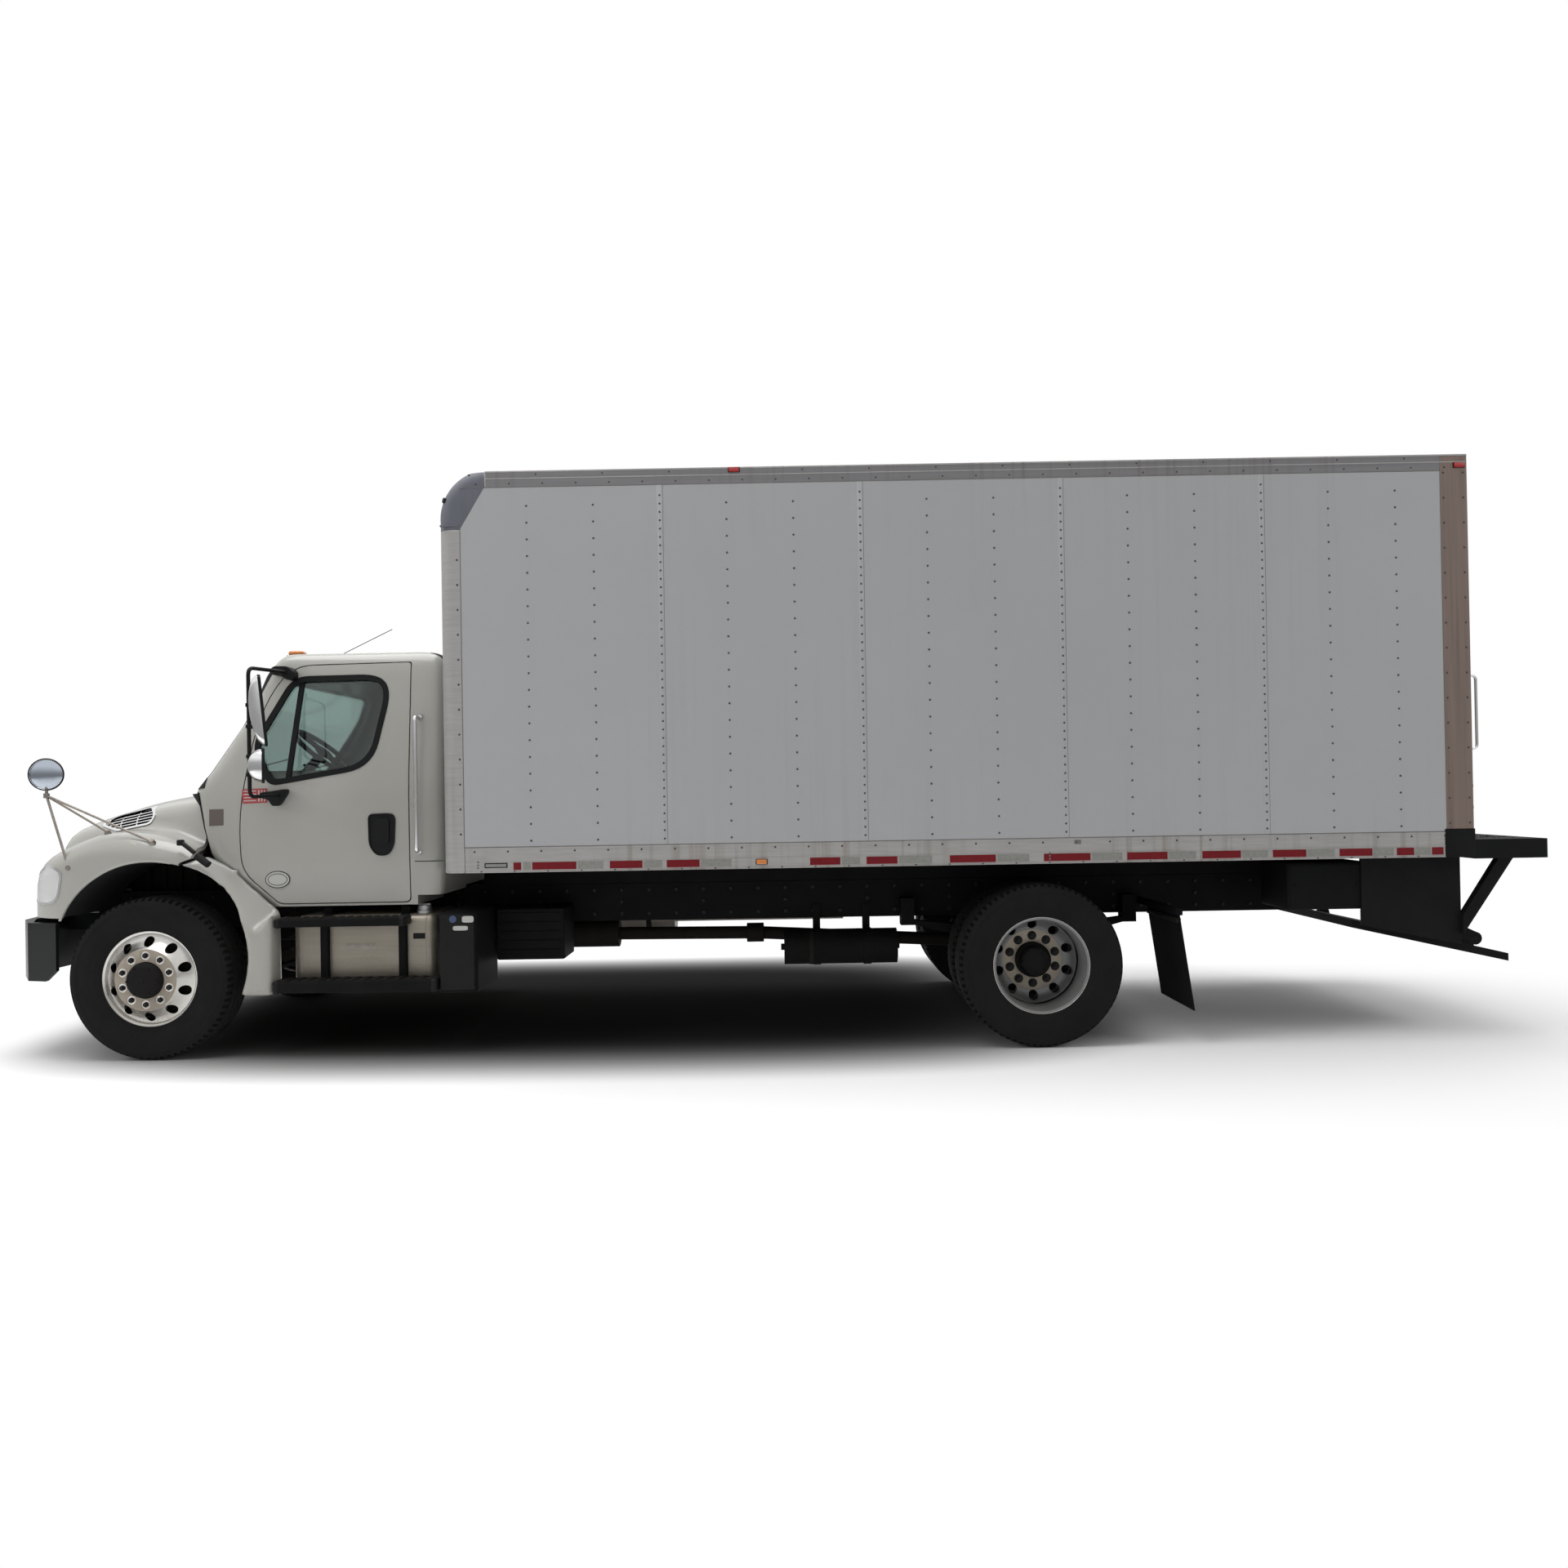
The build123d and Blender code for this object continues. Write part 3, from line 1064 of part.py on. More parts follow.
HOOD_MIRROR_Y = FENDER_HALF - 78
with BuildPart() as hood_mirrors:
    apex = (XF + 659, HOOD_MIRROR_Y, 1636)
    for ahead, inboard, height in ((490, 48, 1140), (-15, 38, 1260), (343, 178, 1330)):
        rod((XF + ahead, FENDER_HALF - inboard, height), apex, 7)
    rod(apex, (XF + 659, HOOD_MIRROR_Y, 1700), 9)
    head = Vector(XF + 655, HOOD_MIRROR_Y, 1770)
    facing = Vector(-0.8, -0.1, 0)
    rod(tuple(head), tuple(head + facing * 50), 98)
    mirror(about=Plane.XZ)
    add(hood_outer, mode=Mode.SUBTRACT)
hood_mirrors.part.label = "hood_mirrors"
export_step(hood_mirrors.part, "parts/hood_mirrors.step")

# ------------------------------------------------------------------ van body
BOX_HALF = BOX_WIDTH / 2
BOX_TOP = BOX_BOTTOM + BOX_HEIGHT
BOX_WALL = 40
BOTTOM_RAIL_TOP = BOX_BOTTOM + 157
TOP_RAIL_BOTTOM = BOX_TOP - 101
CORNER_POST = 140
CAP_LENGTH = 290
CAP_BOTTOM = BOX_TOP - 353
NOSE_DROP = 308
NOSE_SETBACK = 170
NOSE_MIDDLE = (56, 98)
POST_RADIUS = 90
ROOF_THICKNESS = 20
REAR_FRAME_DEPTH = 166
REAR_FRAME_X = BOX_REAR + REAR_FRAME_DEPTH
FLOOR_THICKNESS = 42
SILL_TOP = BOX_BOTTOM + 115
SILL_BOTTOM = BOX_BOTTOM + 15
SILL_PITCH = 406.4
SILL_WIDTH = 46
OPENING_HALF = 1100
OPENING_TOP = 3290

nose_start = (BOX_FRONT, BOX_TOP - NOSE_DROP)
nose_middle = (BOX_FRONT - NOSE_MIDDLE[0], BOX_TOP - NOSE_MIDDLE[1])
nose_end = (BOX_FRONT - NOSE_SETBACK, BOX_TOP)

with BuildPart() as box_front:
    inner_x = BOX_FRONT - BOX_WALL
    with BuildSketch(Plane.XZ.offset(CORNER_POST - BOX_HALF)) as outline:
        with BuildLine():
            ThreePointArc(nose_start, nose_middle, nose_end)
            Polyline(
                nose_end,
                (BOX_FRONT - CAP_LENGTH, BOX_TOP),
                (BOX_FRONT - CAP_LENGTH, BOX_TOP - ROOF_THICKNESS),
                (nose_end[0] - 20, BOX_TOP - ROOF_THICKNESS),
                (nose_middle[0] - 50, nose_middle[1] - 40),
                (inner_x, nose_start[1] - 20),
                (inner_x, BOX_BOTTOM),
                (BOX_FRONT, BOX_BOTTOM),
                nose_start,
            )
        make_face()
    extrude(outline.sketch, amount=2 * (BOX_HALF - CORNER_POST))
box_front.part.label = "box_front_wall"
export_step(box_front.part, "parts/box_front_wall.step")

for side in SIDES:
    with BuildPart() as box_side:
        panel = (
            (BOX_FRONT - CORNER_POST, BOTTOM_RAIL_TOP),
            (BOX_FRONT - CORNER_POST, CAP_BOTTOM),
            (BOX_FRONT - CAP_LENGTH, TOP_RAIL_BOTTOM),
            (REAR_FRAME_X, TOP_RAIL_BOTTOM),
            (REAR_FRAME_X, BOTTOM_RAIL_TOP),
        )
        side_prism(panel, (BOX_HALF - BOX_WALL, BOX_HALF))
        to_side(side)
    box_side.part.label = f"box_side_{side}"
    export_step(box_side.part, f"parts/box_side_{side}.step")

with BuildPart() as corner_post:
    span = (BOX_HALF - CORNER_POST, BOX_HALF)
    block((BOX_FRONT - CORNER_POST, BOX_FRONT), span, (BOX_BOTTOM, CAP_BOTTOM))
    post_edges = corner_post.edges().filter_by(Axis.Z)
    fillet(post_edges.sort_by(lambda edge: edge.center().X + edge.center().Y)[-1], POST_RADIUS)
    block(
        (BOX_FRONT - CORNER_POST - 1, BOX_FRONT - BOX_WALL),
        (span[0] - 1, BOX_HALF - BOX_WALL),
        (BOX_BOTTOM - 1, CAP_BOTTOM + 1),
        mode=Mode.SUBTRACT,
    )
with BuildPart() as box_rails:
    side_wall = (BOX_HALF - BOX_WALL, BOX_HALF)
    joint = 0.5
    block((REAR_FRAME_X, BOX_FRONT - CORNER_POST - joint), side_wall, (BOX_BOTTOM, BOTTOM_RAIL_TOP))
    block((REAR_FRAME_X, BOX_FRONT - CAP_LENGTH), side_wall, (TOP_RAIL_BOTTOM, BOX_TOP))
    add(corner_post.part)
    mirror(about=Plane.XZ)
box_rails.part.label = "box_rails"
export_step(box_rails.part, "parts/box_rails.step")

with BuildPart() as corner_caps:
    with BuildSketch(Plane.XZ.offset(-BOX_HALF)) as outline:
        with BuildLine():
            Line((BOX_FRONT, CAP_BOTTOM), nose_start)
            ThreePointArc(nose_start, nose_middle, nose_end)
            Polyline(
                nose_end,
                (BOX_FRONT - CAP_LENGTH, BOX_TOP),
                (BOX_FRONT - CAP_LENGTH, TOP_RAIL_BOTTOM),
                (BOX_FRONT - CORNER_POST, CAP_BOTTOM),
                (BOX_FRONT, CAP_BOTTOM),
            )
        make_face()
    extrude(outline.sketch, amount=CORNER_POST)
    upright = (
        corner_caps.edges()
        .filter_by(Axis.Z)
        .sort_by(lambda edge: edge.center().X + edge.center().Y)[-1]
    )
    fillet(upright, POST_RADIUS)
    mirror(about=Plane.XZ)
corner_caps.part.label = "corner_caps"
export_step(corner_caps.part, "parts/corner_caps.step")

with BuildPart() as box_roof:
    roof_x = (REAR_FRAME_X, BOX_FRONT - CAP_LENGTH)
    roof_half = BOX_HALF - BOX_WALL
    block(roof_x, (-roof_half, roof_half), (BOX_TOP - ROOF_THICKNESS, BOX_TOP))
box_roof.part.label = "box_roof"
export_step(box_roof.part, "parts/box_roof.step")

with BuildPart() as box_floor:
    floor_x = (REAR_FRAME_X, BOX_FRONT - BOX_WALL)
    floor_half = BOX_HALF - BOX_WALL
    block(floor_x, (-floor_half, floor_half), (SILL_TOP, SILL_TOP + FLOOR_THICKNESS))
    place = floor_x[1] - SILL_PITCH / 2
    while place > floor_x[0] + SILL_WIDTH:
        sill = (place - SILL_WIDTH / 2, place + SILL_WIDTH / 2)
        block(sill, (-floor_half, floor_half), (SILL_BOTTOM, SILL_TOP))
        place -= SILL_PITCH
    for sign in SIDES.values():
        long_sill = (sign * (RAIL_OUTER_Y - RAIL_FLANGE), sign * RAIL_OUTER_Y)
        block((RAIL_REAR, floor_x[1]), long_sill, (RAIL_TOP, SILL_BOTTOM))
box_floor.part.label = "box_floor"
export_step(box_floor.part, "parts/box_floor.step")

with BuildPart() as rear_frame:
    block((BOX_REAR, REAR_FRAME_X), (-BOX_HALF, BOX_HALF), (BOX_BOTTOM, BOX_TOP))
    block(
        (BOX_REAR, REAR_FRAME_X),
        (-OPENING_HALF, OPENING_HALF),
        (BOTTOM_RAIL_TOP, OPENING_TOP),
        mode=Mode.SUBTRACT,
    )
rear_frame.part.label = "rear_frame"
export_step(rear_frame.part, "parts/rear_frame.step")

with BuildPart() as roll_door:
    block(
        (BOX_REAR + 60, BOX_REAR + 90),
        (-OPENING_HALF + SEAT_GAP, OPENING_HALF - SEAT_GAP),
        (BOTTOM_RAIL_TOP, OPENING_TOP - SEAT_GAP),
    )
roll_door.part.label = "roll_up_door"
export_step(roll_door.part, "parts/roll_up_door.step")

# ------------------------------------------------------------------ rear deck and tail lift
DECK_Z = (1108, 1225)
PLATE_Y = (BOX_HALF - 130, BOX_HALF - 110)
PLATE_X = (BOX_REAR + 25, BOX_REAR + 635)
PLATE_TOP = SILL_BOTTOM - 5
PLATE_FRONT_FOOT = 700
PLATE_REAR_FOOT = 575
BRACE_TOP_X = (BOX_REAR - 293, BOX_REAR - 203)
BRACE_FOOT_Z = (640, 760)
BRACE_WIDTH = 50
LIFT_PIVOT = (BOX_REAR + 475, 860)
LIFT_TUBE_RADIUS = 55
ARM_Y = (PLATE_Y[0] - 100, PLATE_Y[0] - 50)
ARM_END = (BOX_REAR - 105, 600)
ARM_EYE_RADIUS = 85
ARM_TIP_RADIUS = 40
ARM_PIN_RADIUS = 15
ARM_TIE_RADIUS = 28
PLATFORM_HALF = ARM_Y[0] - 40
PLATFORM_FRONT = (BOX_REAR + 615, 715)
PLATFORM_TIP = (BOX_REAR - 365, 490)
PLATFORM_THICKNESS = 48
LUG_WIDTH = 40
with BuildPart() as rear_deck:
    block((BOX_REAR - DECK_DEPTH, BOX_REAR), (-BOX_HALF, BOX_HALF), DECK_Z)
    side_prism(
        (
            (PLATE_X[1], PLATE_TOP),
            (PLATE_X[1], PLATE_FRONT_FOOT),
            (PLATE_X[0], PLATE_REAR_FOOT),
            (PLATE_X[0], BOX_BOTTOM),
            (REAR_FRAME_X + SEAT_GAP, BOX_BOTTOM),
            (REAR_FRAME_X + SEAT_GAP, PLATE_TOP),
        ),
        PLATE_Y,
    )
    flange_y = (ARM_Y[1], PLATE_Y[1])
    block((REAR_FRAME_X + SEAT_GAP, PLATE_X[1]), flange_y, (PLATE_TOP - 8, SILL_BOTTOM))
    brace = (
        (BRACE_TOP_X[1], DECK_Z[0] + 10),
        (BRACE_TOP_X[0], DECK_Z[0] + 10),
        (PLATE_X[0] + 4, BRACE_FOOT_Z[0]),
        (PLATE_X[0] + 4, BRACE_FOOT_Z[1]),
    )
    side_prism(brace, (PLATE_Y[0], PLATE_Y[0] + BRACE_WIDTH))
    mirror(about=Plane.XZ)
    rod(
        (LIFT_PIVOT[0], -PLATE_Y[1], LIFT_PIVOT[1]),
        (LIFT_PIVOT[0], PLATE_Y[1], LIFT_PIVOT[1]),
        LIFT_TUBE_RADIUS,
    )
rear_deck.part.label = "rear_deck"
export_step(rear_deck.part, "parts/rear_deck.step")

with BuildPart() as lift_arms:
    side_prism(
        (
            (LIFT_PIVOT[0] + 30, LIFT_PIVOT[1] + 70),
            (ARM_END[0] - 10, ARM_END[1] + 38),
            (ARM_END[0] - 10, ARM_END[1] - 38),
            (LIFT_PIVOT[0] + 30, LIFT_PIVOT[1] - 75),
        ),
        ARM_Y,
    )
    pivot_eye = ((LIFT_PIVOT[0], ARM_Y[0], LIFT_PIVOT[1]), (LIFT_PIVOT[0], ARM_Y[1], LIFT_PIVOT[1]))
    tip_eye = ((ARM_END[0], ARM_Y[0], ARM_END[1]), (ARM_END[0], ARM_Y[1], ARM_END[1]))
    rod(*pivot_eye, ARM_EYE_RADIUS)
    rod(*tip_eye, ARM_TIP_RADIUS)
    rod(*pivot_eye, LIFT_TUBE_RADIUS + RUNNING_GAP, mode=Mode.SUBTRACT)
    rod(*tip_eye, ARM_PIN_RADIUS + RUNNING_GAP, mode=Mode.SUBTRACT)
    mirror(about=Plane.XZ)
    tie = ((LIFT_PIVOT[0] + ARM_END[0]) / 2, (LIFT_PIVOT[1] + ARM_END[1]) / 2)
    rod((tie[0], -ARM_Y[0] - 5, tie[1]), (tie[0], ARM_Y[0] + 5, tie[1]), ARM_TIE_RADIUS)
lift_arms.part.label = "lift_arms"
export_step(lift_arms.part, "parts/lift_arms.step")

with BuildPart() as lift_platform:
    slab = (
        PLATFORM_FRONT,
        PLATFORM_TIP,
        (PLATFORM_TIP[0], PLATFORM_TIP[1] - PLATFORM_THICKNESS),
        (PLATFORM_FRONT[0], PLATFORM_FRONT[1] - PLATFORM_THICKNESS),
    )
    side_prism(slab, (-PLATFORM_HALF, PLATFORM_HALF))
    lug = (
        (ARM_END[0] - 50, ARM_END[1] - 80),
        (ARM_END[0] + 50, ARM_END[1] - 60),
        (ARM_END[0] + 24, ARM_END[1] + 24),
        (ARM_END[0] - 24, ARM_END[1] + 24),
    )
    for sign in SIDES.values():
        side_prism(lug, (sign * (PLATFORM_HALF - LUG_WIDTH), sign * PLATFORM_HALF))
        rod(
            (ARM_END[0], sign * (PLATFORM_HALF - 10), ARM_END[1]),
            (ARM_END[0], sign * ARM_Y[1], ARM_END[1]),
            ARM_PIN_RADIUS,
        )
lift_platform.part.label = "lift_platform"
export_step(lift_platform.part, "parts/lift_platform.step")

# ------------------------------------------------------------------ grab handles
HANDLE_RADIUS = 14
CAB_BAR_Z = (1225, 2115)
REAR_BAR_Z = (1765, 2235)
with BuildPart() as grab_handles:
    cab_bar = (XF - 1615, CAB_HALF_WIDTH + 48)
    for height in (CAB_BAR_Z[0] + 25, CAB_BAR_Z[1] - 25):
        rod((cab_bar[0], CAB_HALF_WIDTH - 100, height), (*cab_bar, height), HANDLE_RADIUS - 4)
    rod((*cab_bar, CAB_BAR_Z[0]), (*cab_bar, CAB_BAR_Z[1]), HANDLE_RADIUS)
    add(cab_outer, mode=Mode.SUBTRACT)
    rear_bar = (BOX_REAR - 115, BOX_HALF - 50)
    for height in (REAR_BAR_Z[0] + 25, REAR_BAR_Z[1] - 25):
        rod((BOX_REAR, rear_bar[1], height), (*rear_bar, height), HANDLE_RADIUS - 4)
    rod((*rear_bar, REAR_BAR_Z[0]), (*rear_bar, REAR_BAR_Z[1]), HANDLE_RADIUS)
    mirror(about=Plane.XZ)
grab_handles.part.label = "grab_handles"
export_step(grab_handles.part, "parts/grab_handles.step")
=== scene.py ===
"""Box truck looks: paint, rubber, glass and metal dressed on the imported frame.

Every length is in metres in the row frame: +X forward, +Y the truck's left side, +Z up.
"""
from __future__ import annotations

import json
import logging
import math
from dataclasses import dataclass
from enum import Enum

import bmesh
import bpy
from bmesh.types import BMesh, BMEdge, BMVert
from mathutils import Matrix, Vector

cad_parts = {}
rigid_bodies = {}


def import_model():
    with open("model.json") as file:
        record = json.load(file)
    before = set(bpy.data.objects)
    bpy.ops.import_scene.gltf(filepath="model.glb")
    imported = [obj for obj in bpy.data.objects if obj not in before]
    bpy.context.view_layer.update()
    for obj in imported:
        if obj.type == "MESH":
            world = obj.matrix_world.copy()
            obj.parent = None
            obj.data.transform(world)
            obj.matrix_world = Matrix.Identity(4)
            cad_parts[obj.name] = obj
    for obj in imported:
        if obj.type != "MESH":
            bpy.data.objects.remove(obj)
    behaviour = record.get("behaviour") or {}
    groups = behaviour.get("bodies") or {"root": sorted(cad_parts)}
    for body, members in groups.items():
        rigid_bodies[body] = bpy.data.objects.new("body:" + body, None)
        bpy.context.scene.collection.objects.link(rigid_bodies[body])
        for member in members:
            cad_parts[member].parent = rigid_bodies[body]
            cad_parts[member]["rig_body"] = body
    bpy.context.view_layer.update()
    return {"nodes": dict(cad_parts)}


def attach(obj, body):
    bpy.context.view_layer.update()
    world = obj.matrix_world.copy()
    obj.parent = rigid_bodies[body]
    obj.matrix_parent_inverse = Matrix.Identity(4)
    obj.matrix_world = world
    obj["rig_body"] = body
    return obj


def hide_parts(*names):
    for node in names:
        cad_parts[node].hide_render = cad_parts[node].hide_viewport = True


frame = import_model()

LOG = logging.getLogger("box_truck")
XF = 3.768  # front axle
XR = -1.696  # rear axle
AXLE_Z = 0.5  # both axles' height
WELD = 1e-5  # points closer than this are one
SOFT = 40.0  # degrees: on rounded pieces, edges sharper than this stay sharp
CRISP = 30.0  # the same on flat pieces
Socket = bpy.types.NodeSocket
Pair = tuple[float, float]
Triple = tuple[float, float, float]
AHEAD: Triple = (1.0, 0.0, 0.0)
ACROSS: Triple = (0.0, 1.0, 0.0)
UP: Triple = (0.0, 0.0, 1.0)


class Side(Enum):
    """A side of the truck, with the sign of its Y."""

    LEFT = 1
    RIGHT = -1

    @property
    def word(self) -> str:
        """The side's name as the frame's bodies and nodes spell it."""
        return self.name.lower()

    def span(self, near: float, far: float) -> list[float]:
        """The Y limits, lowest first, of what lies between two distances out on this side."""
        return sorted((self.value * near, self.value * far))


# ---------------------------------------------------------------- shader groups
def socket_group(name: str, inputs: dict[str, float], outputs: tuple[str, ...]) -> tuple:
    """Start a shader node group.

    Args:
        name: the group's name.
        inputs: number inputs and their defaults, beside the Vector input that each group has.
        outputs: names of the number outputs.

    Returns:
        The tree, its input node and its output node.
    """
    tree = bpy.data.node_groups.new(name, "ShaderNodeTree")
    tree.interface.new_socket("Vector", in_out="INPUT", socket_type="NodeSocketVector")
    for label, default in inputs.items():
        socket = tree.interface.new_socket(label, in_out="INPUT", socket_type="NodeSocketFloat")
        socket.default_value = default
    for label in outputs:
        tree.interface.new_socket(label, in_out="OUTPUT", socket_type="NodeSocketFloat")
    return tree, tree.nodes.new("NodeGroupInput"), tree.nodes.new("NodeGroupOutput")


def math_node(tree: bpy.types.NodeTree, kind: str, first: Socket | float, second: Socket | float,
              clamp: bool = False) -> Socket:
    """Add a Math node.

    Args:
        tree: the tree that the node joins.
        kind: the node's operation.
        first: a socket or a number.
        second: a socket or a number.
        clamp: whether the result stays between 0 and 1.

    Returns:
        The node's output socket.
    """
    node = tree.nodes.new("ShaderNodeMath")
    node.operation = kind
    node.use_clamp = clamp
    for slot, value in enumerate((first, second)):
        if isinstance(value, bpy.types.NodeSocket):
            tree.links.new(value, node.inputs[slot])
        else:
            node.inputs[slot].default_value = value
    return node.outputs[0]


def noise_node(tree: bpy.types.NodeTree, vector: Socket, scale: float, detail: float = 3.0) -> Socket:
    """Add a Noise Texture.

    Args:
        tree: the tree that the node joins.
        vector: the socket with the coordinates.
        scale: the noise's scale.
        detail: its detail.

    Returns:
        The factor's socket.
    """
    node = tree.nodes.new("ShaderNodeTexNoise")
    node.inputs["Scale"].default_value = scale
    node.inputs["Detail"].default_value = detail
    tree.links.new(vector, node.inputs["Vector"])
    return node.outputs["Fac"]


def stretched(tree: bpy.types.NodeTree, vector: Socket, scale: Triple) -> Socket:
    """Add a Mapping node that scales a vector.

    Args:
        tree: the tree that the node joins.
        vector: the vector's socket.
        scale: the factors along X, Y and Z.

    Returns:
        The scaled vector's socket.
    """
    node = tree.nodes.new("ShaderNodeMapping")
    node.inputs["Scale"].default_value = scale
    tree.links.new(vector, node.inputs["Vector"])
    return node.outputs["Vector"]


def smooth_range(tree: bpy.types.NodeTree, value: Socket, limits: dict[str, float]) -> Socket:
    """Add a Map Range node with smooth ends.

    Args:
        tree: the tree that the node joins.
        value: the socket to map.
        limits: the node's limits, by their labels.

    Returns:
        The result's socket.
    """
    node = tree.nodes.new("ShaderNodeMapRange")
    node.interpolation_type = "SMOOTHSTEP"
    for label, limit in limits.items():
        node.inputs[label].default_value = limit
    tree.links.new(value, node.inputs["Value"])
    return node.outputs["Result"]


def direct_rays(tree: bpy.types.NodeTree) -> Socket:
    """Tell the rays that show a surface directly or through glass from the others.

    Args:
        tree: the tree that the nodes join.

    Returns:
        A socket that is 1 for those rays.
    """
    path = tree.nodes.new("ShaderNodeLightPath")
    return math_node(tree, "MAXIMUM", path.outputs["Is Camera Ray"], path.outputs["Is Transmission Ray"])


def surface_grain_group() -> bpy.types.NodeTree:
    """Broad colour drift, and fine height for a bump, from two sizes of noise.

    Returns:
        The shared group's tree.
    """
    tree, source, sink = socket_group("SurfaceGrain", {"Broad": 1.5, "Fine": 120.0}, ("Drift", "Height"))
    for label, target, detail in (("Broad", "Drift", 4.0), ("Fine", "Height", 2.0)):
        noise = tree.nodes.new("ShaderNodeTexNoise")
        noise.inputs["Detail"].default_value = detail
        tree.links.new(source.outputs["Vector"], noise.inputs["Vector"])
        tree.links.new(source.outputs[label], noise.inputs["Scale"])
        tree.links.new(noise.outputs["Fac"], sink.inputs[target])
    return tree


def road_dust_group() -> bpy.types.NodeTree:
    """Dust that thins out with height above the ground, broken up by noise.

    Returns:
        The shared group's tree.
    """
    tree, source, sink = socket_group("RoadDust", {"Top": 1.2, "Amount": 0.5}, ("Mask",))
    split = tree.nodes.new("ShaderNodeSeparateXYZ")
    tree.links.new(source.outputs["Vector"], split.inputs[0])
    height = math_node(tree, "DIVIDE", split.outputs["Z"], source.outputs["Top"])
    fall = math_node(tree, "SUBTRACT", 1.0, height, clamp=True)
    cloud = noise_node(tree, source.outputs["Vector"], 5.0, 6.0)
    speck = noise_node(tree, source.outputs["Vector"], 60.0, 4.0)
    patch = math_node(tree, "MULTIPLY", cloud, math_node(tree, "ADD", speck, 0.45))
    mask = math_node(tree, "MULTIPLY", math_node(tree, "MULTIPLY", fall, patch), 2.0, clamp=True)
    tree.links.new(math_node(tree, "MULTIPLY", mask, source.outputs["Amount"]), sink.inputs["Mask"])
    return tree


def rain_streak_group() -> bpy.types.NodeTree:
    """Thin dirty runs down a wall.

    Returns:
        The shared group's tree.
    """
    tree, source, sink = socket_group("RainStreaks", {"Amount": 0.3}, ("Mask",))
    fine = noise_node(tree, stretched(tree, source.outputs["Vector"], (26.0, 26.0, 0.55)), 1.0, 3.0)
    broad = noise_node(tree, stretched(tree, source.outputs["Vector"], (1.2, 1.2, 0.8)), 1.0, 2.0)
    run = math_node(tree, "SUBTRACT", fine, 0.52, clamp=True)
    patch = math_node(tree, "SUBTRACT", broad, 0.4, clamp=True)
    mask = math_node(tree, "MULTIPLY", math_node(tree, "MULTIPLY", run, patch), 24.0, clamp=True)
    tree.links.new(math_node(tree, "MULTIPLY", mask, source.outputs["Amount"]), sink.inputs["Mask"])
    return tree


GROUPS = {"grain": surface_grain_group(), "dust": road_dust_group(), "streaks": rain_streak_group()}


# ---------------------------------------------------------------- finishes
BUMP_STRENGTH = 0.35
GRAIN_HEIGHT = 0.012
COAT_ROUGHNESS = 0.04
ROUGH_SPREAD = 0.12
SOIL_TINT: Triple = (0.52, 0.46, 0.38)


